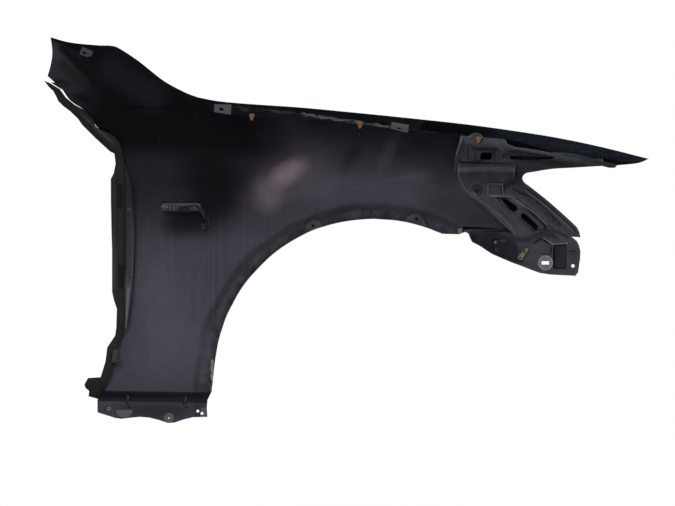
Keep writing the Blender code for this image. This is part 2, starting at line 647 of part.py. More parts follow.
def soft_part(value, softness):
    """The value where it is positive and nothing where it is negative, with a soft turn."""
    return 0.5 * (value + math.hypot(value, softness))


def body_line_rise(x, z):
    """The pressed body line, which fades towards the front."""
    start, end = spots(BODY_LINE_SHARES)
    line_z = start.y + (x - start.x) / (end.x - start.x) * (end.y - start.y)
    away = math.hypot((z - line_z) / BODY_LINE_WIDTH, BODY_LINE_SOFT_SHARE)
    fade = smooth((x - start.x + BODY_LINE_WIDTH) / BODY_LINE_WIDTH)
    fade *= 1 - smooth((x - start.x) / BODY_LINE_FADE)
    return BODY_LINE_HEIGHT * math.exp(-away) * fade


def arm_hollow(x, z):
    """The diagonal hollow pressed along the upper arm."""
    start, end = spots(ARM_HOLLOW_SHARES)
    along = (end - start).normalized()
    arm = Vector((x, z)) - start
    across = along.x * arm.y - along.y * arm.x
    reach = arm.dot(along)
    fade = 1 - smooth(reach / (end - start).length - ARM_HOLLOW_FADE_SHARE)
    return ARM_HOLLOW_DEPTH * math.exp(-(across / ARM_HOLLOW_WIDTH) ** 2) * fade


def skin_y(x, z):
    """How far outboard the skin's outer side lies over a point of the side view."""
    below = (belt_z(x) - z) / SHOULDER_REACH
    roll = 1 - 2 * below if below < 0 else max(0.0, 1 - below) ** 2
    nose = max(0.0, (x / LENGTH - NOSE_START_SHARE) / (1 - NOSE_START_SHARE)) ** NOSE_POWER
    sill = max(0.0, 1 - z / ROCKER_TUCK_REACH) ** 2
    rear = max(0.0, 1 - x / REAR_TUCK_REACH) ** 2
    y = -(SHOULDER_INSET * roll + NOSE_INSET * nose + ROCKER_TUCK * sill + REAR_TUCK * rear)
    y += LAND_FLARE / LAND_WIDTH * soft_part(LAND_WIDTH - arch_distance(x, z), LAND_SOFTNESS)
    y += body_line_rise(x, z) + arm_hollow(x, z)
    return y - POCKET_DEPTH * smooth(inset_of(Vector((x, z)), POCKET_LOOP) / POCKET_RAMP)


def skin_point(x, z):
    return Vector((x, skin_y(x, z), z))


def along_line(points, x):
    """Height at x on a line whose points run forward."""
    return float(np.interp(x, [p.x for p in points], [p.y for p in points]))


HOOD_EDGE = smooth_line(spots(HOOD_EDGE_SHARES), CHAIN_STEP)


def crest_z(x):
    return along_line(HOOD_EDGE, x)


def wall_foot(x):
    """Lower edge of the hood gap wall, held straight where a bolt tab needs a flat face."""
    for first, last in TAB_SPAN_SHARES:
        start = first * LENGTH
        end = last * LENGTH
        if start < x < end:
            return wall_foot(start).lerp(wall_foot(end), (x - start) / (end - start))
    drop = WALL_DROP * read_table(WALL_DROP_SHARES, x / LENGTH)
    z = crest_z(x)
    return Vector((x, skin_y(x, z) - WALL_LEAN * drop, z - drop))


def ledge_point(x, run):
    """A point of the ledge; run goes from 0 at the wall to LEDGE_DEPTH at its inner edge."""
    drop = LEDGE_DROP * read_table(LEDGE_DROP_SHARES, x / LENGTH)
    return wall_foot(x) - Vector((0, run, drop * run / LEDGE_DEPTH))


# Fender panel


def hood_line():
    """The hood edge with points added where the ledge and its tabs begin and end."""
    stops = [share * LENGTH for share, _ in LEDGE_SHARES]
    stops += [share * LENGTH for span in TAB_SPAN_SHARES for share in span]
    line = [p for p in HOOD_EDGE if all(abs(p.x - stop) > CHAIN_STEP / 4 for stop in stops)]
    line += [Vector((stop, crest_z(stop))) for stop in sorted(set(stops))]
    return sorted(line, key=lambda p: p.x)


def land_lines(outline):
    """Two lines along the top of the wheel arch land, where the skin changes direction."""
    centre = spot(ARCH_CENTRE_SHARE)
    edge = smooth_line(spots(ARCH_EDGE_SHARES), CHAIN_STEP)
    lines = []
    for offset in (LAND_WIDTH - LAND_SOFTNESS, LAND_WIDTH + LAND_SOFTNESS):
        line = []
        for point in edge:
            moved = point + (point - centre).normalized() * offset
            if inset_of(moved, outline) > CHAIN_STEP / 2:
                line.append(moved)
        lines.append(line)
    return lines


def ledge_edge(x):
    """Inner edge of the ledge, in the ledge's own flat layout."""
    return Vector((x, -LEDGE_DEPTH * read_table(LEDGE_SHARES, x / LENGTH)))


def add_hood_wall(bm, row):
    """Hood gap wall along the whole hood edge, and the ledge with its two bolt tabs."""
    feet = fold_row(bm, row, [wall_foot(v.co.x) for v in row])
    first = LEDGE_SHARES[0][0] * LENGTH
    last = LEDGE_SHARES[-1][0] * LENGTH
    base = [v.co.x for v in feet if first - MERGE_DISTANCE < v.co.x < last + MERGE_DISTANCE]
    outline = [Vector((x, 0)) for x in base] + [ledge_edge(x) for x in base[-2:0:-1]]
    middles = [Vector((share * LENGTH, -LEDGE_DEPTH / 2)) for share in TAB_HOLE_SHARES]
    holes = [oval_loop(middle, TAB_HOLE_LENGTH, TAB_HOLE_WIDTH, 0) for middle in middles]
    ends = [share * LENGTH for span in TAB_SPAN_SHARES for share in span]
    lines = [straight_line([Vector((x, 0)), ledge_edge(x)], FINE_STEP) for x in ends]
    add_patch(bm, outline, lambda x, run: ledge_point(x, -run), FINE_STEP, holes, lines)


def flap_point(x, z):
    """The flap folded down from the arm's top edge: a plane that rolls up into that edge."""
    rear, front = spots(FLAP_BASE_SHARES)
    slope = (skin_y(*front) - skin_y(*rear)) / (front.x - rear.x)
    rise = (front.y - rear.y) / (front.x - rear.x)
    drop = rear.y + (x - rear.x) * rise - z
    plane = skin_y(*rear) + (x - rear.x) * slope - FLAP_LEAN * drop
    top = along_line(smooth_line(spots(ARM_TOP_SHARES), CHAIN_STEP), x)
    return Vector((x, plane + (skin_y(x, top) - plane) * (1 - smooth((top - z) / FLAP_ROLL)), z))


def add_arm_flap(bm, row):
    top = [Vector((v.co.x, v.co.z)) for v in row]
    lower = straight_line(spots(FLAP_EDGE_SHARES), CHAIN_STEP)
    hole = oval_loop(spot(FLAP_HOLE_SHARE), FLAP_HOLE_LENGTH, FLAP_HOLE_WIDTH, FLAP_HOLE_TILT)
    add_patch(bm, top + lower[::-1], flap_point, FINE_STEP, [hole])


def rear_x(z):
    """Place of the skin's rear edge at a height."""
    line = spots(REAR_LOWER_SHARES + REAR_UPPER_SHARES)
    line.sort(key=lambda p: p.y)
    return float(np.interp(z, [p.y for p in line], [p.x for p in line]))


def rear_depth(z):
    """Depth of the rear fold: a hem at both ends and the full seal flange between them."""
    low = spot(REAR_STRIP_SHARES[-1]).y
    high = spot(REAR_STRIP_SHARES[0]).y
    grown = smooth((z - low) / REAR_FOLD_RAMP) * smooth((high - z) / REAR_FOLD_RAMP)
    return REAR_HEM + (REAR_FOLD - REAR_HEM) * grown


def strip_point(x, z):
    """The seal flange, folded forward again behind the skin's rear edge."""
    return Vector((x, skin_y(rear_x(z), z) - rear_depth(z), z))


def add_rear_fold(bm, row):
    """Rear hem of the skin and the flange that carries the seal."""
    hem = fold_row(bm, row, [strip_point(v.co.x, v.co.z) for v in row])
    edge = smooth_line(spots(REAR_STRIP_SHARES), CHAIN_STEP)
    base = [Vector((v.co.x, v.co.z)) for v in hem if edge[-1].y < v.co.z < edge[0].y]
    holes = [round_loop(spot(share), SEAL_HOLE, 10) for share in SEAL_HOLE_SHARES]
    inner = [p for p in edge[1:-1] if base[0].y < p.y < base[-1].y]
    add_patch(bm, base + inner, strip_point, FINE_STEP, holes)


def lip_y(x, z):
    """Depth of the wheel arch lip's inner edge, held flat over the two screw ears."""
    for rear, front in EAR_SPAN_SHARES:
        start = spot(rear)
        end = spot(front)
        if start.x < x < end.x:
            share = (x - start.x) / (end.x - start.x)
            return (1 - share) * skin_y(*start) + share * skin_y(*end) - LIP_DEPTH
    return skin_y(x, z) - LIP_DEPTH


def add_arch_lip(bm, row):
    """Lip folded inboard along the wheel arch, with two screw ears turned up from it."""
    centre = spot(ARCH_CENTRE_SHARE)
    places = []
    for v in row:
        edge = Vector((v.co.x, v.co.z))
        risen = edge + (edge - centre).normalized() * LIP_RISE
        places.append(Vector((risen.x, lip_y(*risen), risen.y)))
    lip = fold_row(bm, row, places)
    for span, tops, hole in zip(EAR_SPAN_SHARES, EAR_TOP_SHARES, EAR_HOLE_SHARES):
        start, end = spots(span)
        base = [Vector((v.co.x, v.co.z)) for v in lip if start.x < v.co.x < end.x]
        base.sort(key=lambda p: p.x)
        rear_top, front_top = spots(tops)
        top = smooth_line([base[-1], front_top, rear_top, base[0]], FINE_STEP)[1:-1]
        add_patch(bm, base + top, lambda x, z: Vector((x, lip_y(x, z), z)), FINE_STEP,
                  [round_loop(spot(hole), EAR_HOLE, 8)])


def add_edge_hem(bm, row, depth):
    """Short fold inboard along a free edge."""
    fold_row(bm, row, [v.co - Vector((0, depth, 0)) for v in row])


def sill_beads():
    """Outlines of the two stiffening beads of the sill flange."""
    half = Vector((0, (SILL_BEAD_LENGTH - SILL_BEAD_WIDTH) / 2))
    return [slot_loop(spot(share) - half, spot(share) + half, SILL_BEAD_WIDTH / 2)
            for share in SILL_BEAD_SHARES]


def sill_y(x, z):
    """The sill flange: a plane with two beads and a round boss pressed into it."""
    start, end = spots((SILL_EDGE_SHARES[1], SILL_EDGE_SHARES[0]))
    share = (x - start.x) / (end.x - start.x)
    y = (1 - share) * skin_y(*start) + share * skin_y(*end) - SILL_ROLL
    for bead in sill_beads():
        y -= SILL_BEAD_HEIGHT * smooth(2 * inset_of(Vector((x, z)), bead) / SILL_BEAD_WIDTH)
    away = (Vector((x, z)) - spot(SILL_BOSS_SHARE)).length
    return y - SILL_BOSS_HEIGHT * smooth(2 * (1 - away / SILL_BOSS))


def add_sill_flange(bm, row):
    """Skin's lower edge rolled inboard, and the scalloped flange that hangs from it."""
    top_front = spot(SILL_FLANGE_SHARES[0])
    top_rear = spot(SILL_FLANGE_SHARES[-1])
    start = row[-1].co.copy()
    span = row[0].co.x - start.x
    steps = 4
    edge = row
    for step in range(1, steps + 1):
        t = step / steps
        places = []
        for v in row:
            u = (v.co.x - start.x) / span
            flat = Vector((v.co.x, v.co.z)).lerp(top_rear.lerp(top_front, u), t)
            y = v.co.y + (sill_y(*flat) - v.co.y) * smooth(t)
            places.append(Vector((flat.x, y, flat.y)))
        edge = fold_row(bm, edge, places)
    top = [Vector((v.co.x, v.co.z)) for v in edge]
    lower = straight_line(spots(SILL_FLANGE_SHARES), CHAIN_STEP)[1:-1]
    holes = [round_loop(spot(share), radius, 10)
             for share, radius in zip(SILL_HOLE_SHARES, SILL_HOLES)]
    half = Vector((SILL_SQUARE / 2, SILL_SQUARE / 2))
    corner = Vector((half.x, -half.y))
    square = spot(SILL_SQUARE_SHARE)
    holes.append([square - half, square + corner, square + half, square - corner])
    beads = [bead + bead[:1] for bead in sill_beads()]
    boss = round_loop(spot(SILL_BOSS_SHARE), SILL_BOSS)
    rim = round_loop(spot(SILL_BOSS_SHARE), SILL_BOSS / 2)
    lines = beads + [boss + boss[:1], rim + rim[:1]]
    add_patch(bm, top[::-1] + lower, lambda x, z: Vector((x, sill_y(x, z), z)), FINE_STEP, holes,
              lines)


def add_front_folds(bm, rows):
    """Flanges round the spear, the notch and the lamp edge, which meet the inner stamping."""
    row = rows["spear"][1:] + rows["notch"][1:] + rows["lamp"][1:]
    places = []
    for v in row:
        depth = v.co.y - stamping_y(v.co.x, v.co.z) - LAP_GAP
        places.append(v.co - Vector((0, max(depth, EDGE_HEM / 4), 0)))
    fold_row(bm, row, places)
    add_edge_hem(bm, rows["bumper"][1:-1], EDGE_HEM)


def make_fender_panel(material):
    """Outer skin with every flange that is folded from the same sheet."""
    chains = {
        "arm_top": smooth_line(spots(ARM_TOP_SHARES), CHAIN_STEP),
        "arm_slope": smooth_line(spots(ARM_SLOPE_SHARES), CHAIN_STEP),
        "hood": hood_line(),
        "spear": smooth_line(spots(SPEAR_EDGE_SHARES), CHAIN_STEP),
        "notch": smooth_line(spots(NOTCH_SHARES), FINE_STEP / 2),
        "lamp": smooth_line(spots(LAMP_EDGE_SHARES), CHAIN_STEP),
        "bumper": straight_line(spots(BUMPER_EDGE_SHARES), CHAIN_STEP),
        "arch": smooth_line(spots(ARCH_EDGE_SHARES), CHAIN_STEP),
        "sill": straight_line(spots(SILL_EDGE_SHARES), CHAIN_STEP),
        "rear": smooth_line(spots(REAR_LOWER_SHARES), CHAIN_STEP),
        "ear": smooth_line(spots(REAR_EAR_SHARES), CHAIN_STEP),
        "rear_upper": smooth_line(spots(REAR_UPPER_SHARES), CHAIN_STEP),
        "arm_end": smooth_line(spots(ARM_END_SHARES), CHAIN_STEP),
    }
    outline = []
    spans = {}
    for name, chain in chains.items():
        spans[name] = (len(outline), len(chain))
        outline += chain[:-1]
    bm = bmesh.new()
    hole = oval_loop(spot(REAR_EAR_HOLE_SHARE), REAR_EAR_HOLE * 2, REAR_EAR_HOLE, -math.pi / 4, 8)
    lamp = slot_loop(*spots(LAMP_HOLE_SHARES), LAMP_HOLE_RADIUS)
    pocket = [POCKET_LOOP + POCKET_LOOP[:1]]
    floor = inner_loop(POCKET_LOOP, POCKET_RAMP)
    lines = land_lines(outline) + pocket + [floor + floor[:1]]
    edge = add_patch(bm, outline, skin_point, GRID_STEP, [hole, lamp], lines)
    rows = {}
    for name, (start, count) in spans.items():
        rows[name] = [edge[(start + i) % len(edge)] for i in range(count)]
    add_hood_wall(bm, rows["hood"][:-1])
    add_arm_flap(bm, rows["arm_top"])
    add_rear_fold(bm, rows["rear"])
    add_edge_hem(bm, rows["rear_upper"], REAR_HEM)
    add_arch_lip(bm, rows["arch"])
    add_sill_flange(bm, rows["sill"])
    add_front_folds(bm, rows)
    return add_sheet("fender_panel", bm, material, SKIN_THICKNESS)


# Front stampings


def front_spot(share):
    """A point of the side view from its shares of the front stampings' box."""
    inside = (share[0] * FRONT_SIZE_SHARE[0], share[1] * FRONT_SIZE_SHARE[1])
    return spot(FRONT_CORNER_SHARE) + spot(inside)


def front_spots(shares):
    return [front_spot(share) for share in shares]


def crease_z(x):
    """Level of the crease between the bracket's arm and the flat plate under it."""
    return read_table([(p.x, p.y) for p in front_spots(BRACKET_CREASE_SHARES)], x)


def free_y(x, z):
    """Level of the front stampings where they stand behind the open skin."""
    box = BOX_DEPTH * math.exp(-((crest_z(x) - z - BOX_MIDDLE) / BOX_REACH) ** 2)
    return skin_y(x, z) - SKIN_THICKNESS - STAMPING_STANDOFF - box


def stamping_y(x, z):
    """Outboard side of the reinforcement: behind the hood gap wall, then along the skin.

    Below the bracket's crease it turns into the flat plane of the bumper plate.
    """
    rear, front = front_spots(PLATE_LINE_SHARES)
    crease = crease_z(x)
    slope = (free_y(*front) - free_y(*rear)) / (front.x - rear.x)
    flat = smooth((crease - z) / PLATE_BLEND) * smooth(1 + (x - rear.x) / PLATE_BLEND)
    free = (1 - flat) * free_y(x, z) + flat * (free_y(*rear) + slope * (x - rear.x))
    drop = crest_z(x) - z
    crest = skin_y(x, crest_z(x)) - WALL_LEAN * drop
    behind = crest + SKIN_THICKNESS + LAP_GAP + STAMPING_THICKNESS
    wall = WALL_DROP * read_table(WALL_DROP_SHARES, x / LENGTH)
    return behind + (free - behind) * smooth((drop - wall) / WALL_BLEND)


def read_stamps(outlines, depths, ramps=None):
    """Loops of the pressed fields, with the depth of each and the width of its sloping rim."""
    if ramps is None:
        ramps = [STAMP_RAMP] * len(depths)
    return [(rounded_loop(front_spots(shares), STAMP_CORNER), depth, ramp)
            for shares, depth, ramp in zip(outlines, depths, ramps)]


def stamp_lines(fields):
    """Rim and floor line of each pressed field, where the sheet changes direction."""
    lines = []
    for loop, _, ramp in fields:
        floor = inner_loop(loop, ramp)
        lines += [loop + loop[:1], floor + floor[:1]]
    return lines


def pressed(x, z, fields):
    """How far outboard the pressed fields push the sheet at a point."""
    point = Vector((x, z))
    return sum(depth * smooth(inset_of(point, loop) / ramp) for loop, depth, ramp in fields)


def right_of(line, distance):
    """The line moved to its right by a distance."""
    moved = []
    for i, point in enumerate(line):
        along = (line[min(i + 1, len(line) - 1)] - line[max(i - 1, 0)]).normalized()
        moved.append(point + Vector((along.y, -along.x)) * distance)
    return moved


def reinforcement_outline():
    """Reinforcement seen from the side; its front edge follows the folds of the skin."""
    line = smooth_line(spots(SPEAR_EDGE_SHARES), CHAIN_STEP)[:-1]
    line += smooth_line(spots(NOTCH_SHARES), FINE_STEP / 2)[:-1]
    line += smooth_line(spots(LAMP_EDGE_SHARES), CHAIN_STEP)
    line = right_of(line, EDGE_INSET)
    tip = STAMPING_TIP_SHARE * LENGTH
    foot = STAMPING_FOOT_SHARE * HEIGHT
    front = [p for p in line if p.x < tip and p.y > foot]
    return front + straight_line(front_spots(REINFORCEMENT_SHARES), FINE_STEP)


def make_front_reinforcement(material):
    """Inner stamping along the spear and down the lamp edge, with its wedge-shaped window."""
    fields = read_stamps(REINFORCEMENT_STAMP_SHARES, REINFORCEMENT_STAMP_DEPTHS)
    holes = [rounded_loop(front_spots(REINFORCEMENT_WINDOW_SHARES), WINDOW_CORNER),
             rounded_loop(front_spots(REINFORCEMENT_HOLE_SHARES), HOLE_CORNER)]

    def outer(x, z):
        return stamping_y(x, z) + pressed(x, z, fields)

    add_slab("front_reinforcement", reinforcement_outline(),
             lambda x, z: outer(x, z) - STAMPING_THICKNESS, outer, material, STAMPING_STEP, holes,
             stamp_lines(fields))


def line_distance(point, line):
    """Distance from a point to a polyline."""
    nearest = math.inf
    for a, b in zip(line, line[1:]):
        edge = b - a
        t = min(1.0, max(0.0, (point - a).dot(edge) / edge.length_squared))
        nearest = min(nearest, (point - a - t * edge).length)
    return nearest


BRACKET_SIDE = [front_spot(share) for share in BRACKET_SIDE_SHARES]
BRACKET_FIELDS = read_stamps(BRACKET_STAMP_SHARES, BRACKET_STAMP_DEPTHS, BRACKET_STAMP_RAMPS)
BRACKET_FIELDS.append((round_loop(front_spot(BOSS_SHARE), BOSS_RADIUS), BOSS_DEPTH, STAMP_RAMP))


def bracket_y(x, z):
    """Outboard side of the headlamp bracket: its arm stands proud between its welded edges."""
    point = Vector((x, z))
    lap = front_spot(BRACKET_SHARES[0]).y - BRACKET_LAP
    bulge = smooth((lap - z) / BRACKET_RAMP)
    bulge *= smooth((line_distance(point, BRACKET_SIDE) - BRACKET_FLAT) / BRACKET_RAMP)
    bulge *= smooth(1 - (crease_z(x) - z) / CREASE_RAMP)
    level = stamping_y(x, z) - STAMPING_THICKNESS - LAP_GAP - BRACKET_BULGE * bulge
    return level + pressed(x, z, BRACKET_FIELDS)


def box_loop(centre, length, height, corner):
    half = Vector((length / 2, height / 2))
    turn = Vector((half.x, -half.y))
    return rounded_loop([centre - half, centre + turn, centre + half, centre - turn], corner)


def make_headlamp_bracket(material):
    """Diagonal stamping with lightening slots; its lower end is the bumper plate."""
    boss = round_loop(front_spot(BOSS_SHARE), BOSS_HOLE)
    drop_slot = rounded_loop(front_spots(BRACKET_DROP_SLOT_SHARES), HOLE_CORNER)
    slot = slot_loop(*front_spots(BRACKET_SLOT_SHARES), BRACKET_SLOT_RADIUS)
    nut_slot = slot_loop(*front_spots(NUT_SLOT_SHARES), NUT_SLOT_RADIUS)
    grommet = box_loop(front_spot(GROMMET_SHARE), GROMMET_HOLE_LENGTH + 2 * GROMMET_HOLE_MARGIN,
                       GROMMET_HOLE_HEIGHT + 2 * GROMMET_HOLE_MARGIN, GROMMET_HOLE_MARGIN)
    screw = box_loop(front_spot(SCREW_GROMMET_SHARE), SCREW_HOLE_SIDE, SCREW_HOLE_SIDE, CLIP_CORNER)
    hole = round_loop(front_spot(PLATE_HOLE_SHARE), PLATE_HOLE, 10)
    outline = straight_line(front_spots(BRACKET_SHARES + BRACKET_SHARES[:1]), FINE_STEP)[:-1]
    add_slab("headlamp_bracket", outline, lambda x, z: bracket_y(x, z) - STAMPING_THICKNESS,
             bracket_y, material, FINE_STEP,
             [boss, drop_slot, slot, nut_slot, grommet, screw, hole], stamp_lines(BRACKET_FIELDS))


def make_bumper_side_bracket(material):
    """Plate under the skin's front lower corner, lapped behind the bumper plate."""
    outline = straight_line(front_spots(SIDE_BRACKET_SHARES + SIDE_BRACKET_SHARES[:1]), FINE_STEP)
    outline = outline[:-1]
    boss = round_loop(front_spot(SIDE_HOLE_SHARE), SIDE_HOLE_BOSS)
    pad = slot_loop(*front_spots(SIDE_PAD_SHARES), SIDE_PAD_RADIUS)
    fields = [(boss, SIDE_BOSS_DEPTH, STAMP_RAMP), (pad, -SIDE_PAD_HEIGHT, SIDE_PAD_RADIUS / 2)]
    holes = [round_loop(front_spot(SIDE_HOLE_SHARE), SIDE_HOLE, 10)]

    def outer(x, z):
        return stamping_y(x, z) + pressed(x, z, fields)

    add_slab("bumper_side_bracket", outline, lambda x, z: outer(x, z) - STAMPING_THICKNESS, outer,
             material, FINE_STEP, holes, stamp_lines(fields))


# Small pieces of the front


def plate_face(x, z):
    """Inboard face of the bumper plate."""
    return bracket_y(x, z) - STAMPING_THICKNESS


def seated_slab(name, outline, face, thickness, material, step, holes=(), round_over=0.0,
                dents=()):
    """A slab seated on a face with the seat gap, its inboard side rounded over at the rim."""
    def inner(x, z):
        rim = min((inset_of(Vector((x, z)), loop) * (1 if loop is outline else -1)
                   for loop in [outline] + list(holes)))
        soft = thickness * ROUND_OVER_SHARE * (1 - smooth(rim / round_over)) if round_over else 0
        return face(x, z) - SEAT_GAP - thickness + soft + pressed(x, z, dents)

    lines = stamp_lines(dents)
    if round_over:
        rim = inner_loop(outline, round_over)
        lines.append(rim + rim[:1])
    return add_slab(name, outline, inner, lambda x, z: face(x, z) - SEAT_GAP, material, step,
                    holes, lines)


def make_bumper_grommet(material):
    """Round white grommet with a rectangular hole, over the hole of the bumper plate."""
    centre = front_spot(GROMMET_SHARE)
    hole = box_loop(centre, GROMMET_HOLE_LENGTH, GROMMET_HOLE_HEIGHT, GROMMET_HOLE_MARGIN)
    seated_slab("bumper_grommet", round_loop(centre, GROMMET_RADIUS, 28), plate_face,
                GROMMET_THICKNESS, material, FINE_STEP, [hole], GROMMET_THICKNESS)


def make_screw_grommet(material):
    centre = front_spot(SCREW_GROMMET_SHARE)
    half = Vector((SCREW_GROMMET_SLOT_LENGTH / 2, 0))
    slot = slot_loop(centre - half, centre + half, SCREW_GROMMET_SLOT_RADIUS)
    outline = box_loop(centre, SCREW_GROMMET_LENGTH, SCREW_GROMMET_HEIGHT, 2 * CLIP_CORNER)
    dent = (slot, SCREW_GROMMET_SLOT_DEPTH, SCREW_GROMMET_SLOT_RADIUS / 2)
    seated_slab("screw_grommet", outline, plate_face, SCREW_GROMMET_THICKNESS, material,
                FINE_STEP, (), CLIP_CORNER, [dent])


def make_spring_nut(material):
    """Clip pushed into the slot of the bumper plate, with its screw eye at the lower end."""
    lower, upper = front_spots(SPRING_NUT_SHARES)
    outline = slot_loop(lower, upper, SPRING_NUT_RADIUS)
    seated_slab("spring_nut", outline, plate_face, SPRING_NUT_THICKNESS, material, FINE_STEP,
                [round_loop(lower, SPRING_NUT_HOLE, 10)], CLIP_CORNER)


def make_hood_clips(material):
    """Three small clips: two hang on the inner edge of the ledge, one on the front clip seat."""
    for name, share, lift in zip(HOOD_CLIP_NAMES, HOOD_CLIP_SHARES, HOOD_CLIP_LIFT_SHARES):
        x = share * LENGTH
        has_ledge = x < LEDGE_SHARES[-1][0] * LENGTH
        seat = ledge_point(x, LEDGE_DEPTH) if has_ledge else wall_foot(x)
        top = seat.z + HOOD_CLIP_HEIGHT * lift
        outline = [Vector((x + across * HOOD_CLIP_WIDTH, top - down * HOOD_CLIP_HEIGHT))
                   for across, down in HOOD_CLIP_OUTLINE_SHARES]
        lean = skin_y(x + HOOD_CLIP_WIDTH, crest_z(x + HOOD_CLIP_WIDTH)) - skin_y(x, crest_z(x))
        slope = lean / HOOD_CLIP_WIDTH

        def ledge_face(px, pz):
            return seat.y + (px - x) * slope

        seated_slab("hood_clip_" + name, outline, ledge_face if has_ledge else clip_seat_face,
                    HOOD_CLIP_THICKNESS, material, FINE_STEP, (), CLIP_CORNER)


def clip_seat_face(x, z):
    """Inboard face of the front clip's seat, which stands on the hood gap wall."""
    return wall_plane(x, z) - SEAT_GAP - CLIP_SEAT_THICKNESS


def make_hood_clip_seat(material):
    """Half-round tab over the foot of the hood gap wall, which carries the front clip."""
    outline = smooth_line(spots(CLIP_SEAT_SHARES + CLIP_SEAT_SHARES[:1]), FINE_STEP / 2)[:-1]
    seated_slab("hood_clip_seat", outline, wall_plane, CLIP_SEAT_THICKNESS, material, FINE_STEP)


def make_lip_clip(material):
    """Clip on the hem of the skin's bumper edge, next to the wheel arch."""
    outline = box_loop(spot(LIP_CLIP_SHARE), LIP_CLIP_LENGTH, LIP_CLIP_HEIGHT, CLIP_CORNER)
    seated_slab("lip_clip", outline, lambda x, z: skin_y(x, z) - EDGE_HEM, LIP_CLIP_THICKNESS,
                material, FINE_STEP, (), CLIP_CORNER)


def wall_plane(x, z):
    """The plane of the hood gap wall, also past its foot."""
    return skin_y(x, crest_z(x)) - WALL_LEAN * (crest_z(x) - z)


def make_spear_film(material):
    """Torn strip of protective film that still sticks to the spear and curls off at its end."""
    start = FILM_CURL_START_SHARE * LENGTH

    def outer(x, z):
        curl = FILM_CURL * smooth((x - start) / (LENGTH - start) * 2)
        return wall_plane(x, z) - SEAT_GAP - curl

    outline = straight_line(spots(FILM_SHARES + FILM_SHARES[:1]), FINE_STEP)[:-1]
    add_slab("spear_film", outline, lambda x, z: outer(x, z) - FILM_THICKNESS, outer, material,
             FINE_STEP)


# Seal along the rear edge


def seal_back(x, z):
    """Where the seal rests: on the rear flange and on the hem that continues it."""
    return skin_y(rear_x(z), z) - rear_depth(z) - LAP_GAP


def seal_outline():
    return straight_line(spots(SEAL_OUTER_SHARES + SEAL_INNER_SHARES[::-1]), CHAIN_STEP)


def make_rear_seal(material):
    """Rubber strip with a soft ridge along its middle, which widens to a foot at the sill."""
    outline = seal_outline()

    def inner(x, z):
        ridge = SEAL_RIDGE * smooth(inset_of(Vector((x, z)), outline) / SEAL_RIDGE_REACH)
        return seal_back(x, z) - SEAL_EDGE - ridge

    add_slab("rear_seal", outline, inner, seal_back, material, FINE_STEP)
    pad = straight_line(spots(SEAL_PAD_SHARES + SEAL_PAD_SHARES[:1]), FINE_STEP)[:-1]
    seated_slab("seal_end_pad", pad, seal_back, SEAL_PAD_THICKNESS, material, FINE_STEP)


def make_seal_clips(material):
    """Two push-in clips through the rear flange and one clip block on the seal itself."""
    for name, share in zip(("upper", "middle"), SEAL_HOLE_SHARES):
        centre = spot(share)
        face = strip_point(*centre).y - SEAT_GAP
        profile = ((0, -SEAL_CLIP_HEAD_THICKNESS),
                   (SEAL_CLIP_HEAD * SEAL_CLIP_TOP_SHARE, -SEAL_CLIP_HEAD_THICKNESS),
                   (SEAL_CLIP_HEAD, -SEAL_CLIP_HEAD_THICKNESS / 2), (SEAL_CLIP_HEAD, 0),
                   (SEAL_CLIP_STEM, 0), (SEAL_CLIP_STEM, SEAL_CLIP_LENGTH - SEAL_CLIP_STEM),
                   (SEAL_CLIP_TIP, SEAL_CLIP_LENGTH), (0, SEAL_CLIP_LENGTH))
        bm = bmesh.new()
        ring = [bm.verts.new((centre.x + r, face + y, centre.y)) for r, y in profile]
        edges = [bm.edges.new(pair) for pair in zip(ring, ring[1:])]
        bmesh.ops.spin(bm, geom=ring + edges, cent=(centre.x, face, centre.y), axis=(0, 1, 0),
                       angle=math.tau, steps=16)
        bmesh.ops.remove_doubles(bm, verts=bm.verts, dist=MERGE_DISTANCE)
        bmesh.ops.recalc_face_normals(bm, faces=bm.faces)
        add_object("seal_clip_" + name, bm, material)
    block = spots(SEAL_BLOCK_SHARES)

    def face(x, z):
        return seal_back(x, z) - SEAL_EDGE - SEAL_RIDGE

    seated_slab("seal_clip_lower", block, face, SEAL_BLOCK_THICKNESS, material, FINE_STEP, (),
                CLIP_CORNER)


# Side lamp

LAMP_BODY_FACE = 2 * SEAT_GAP + LAMP_BODY_DEPTH


def lamp_level(depth):
    """Height map of a level inboard of the skin's inner side."""
    return lambda x, z: skin_y(x, z) - SKIN_THICKNESS - depth


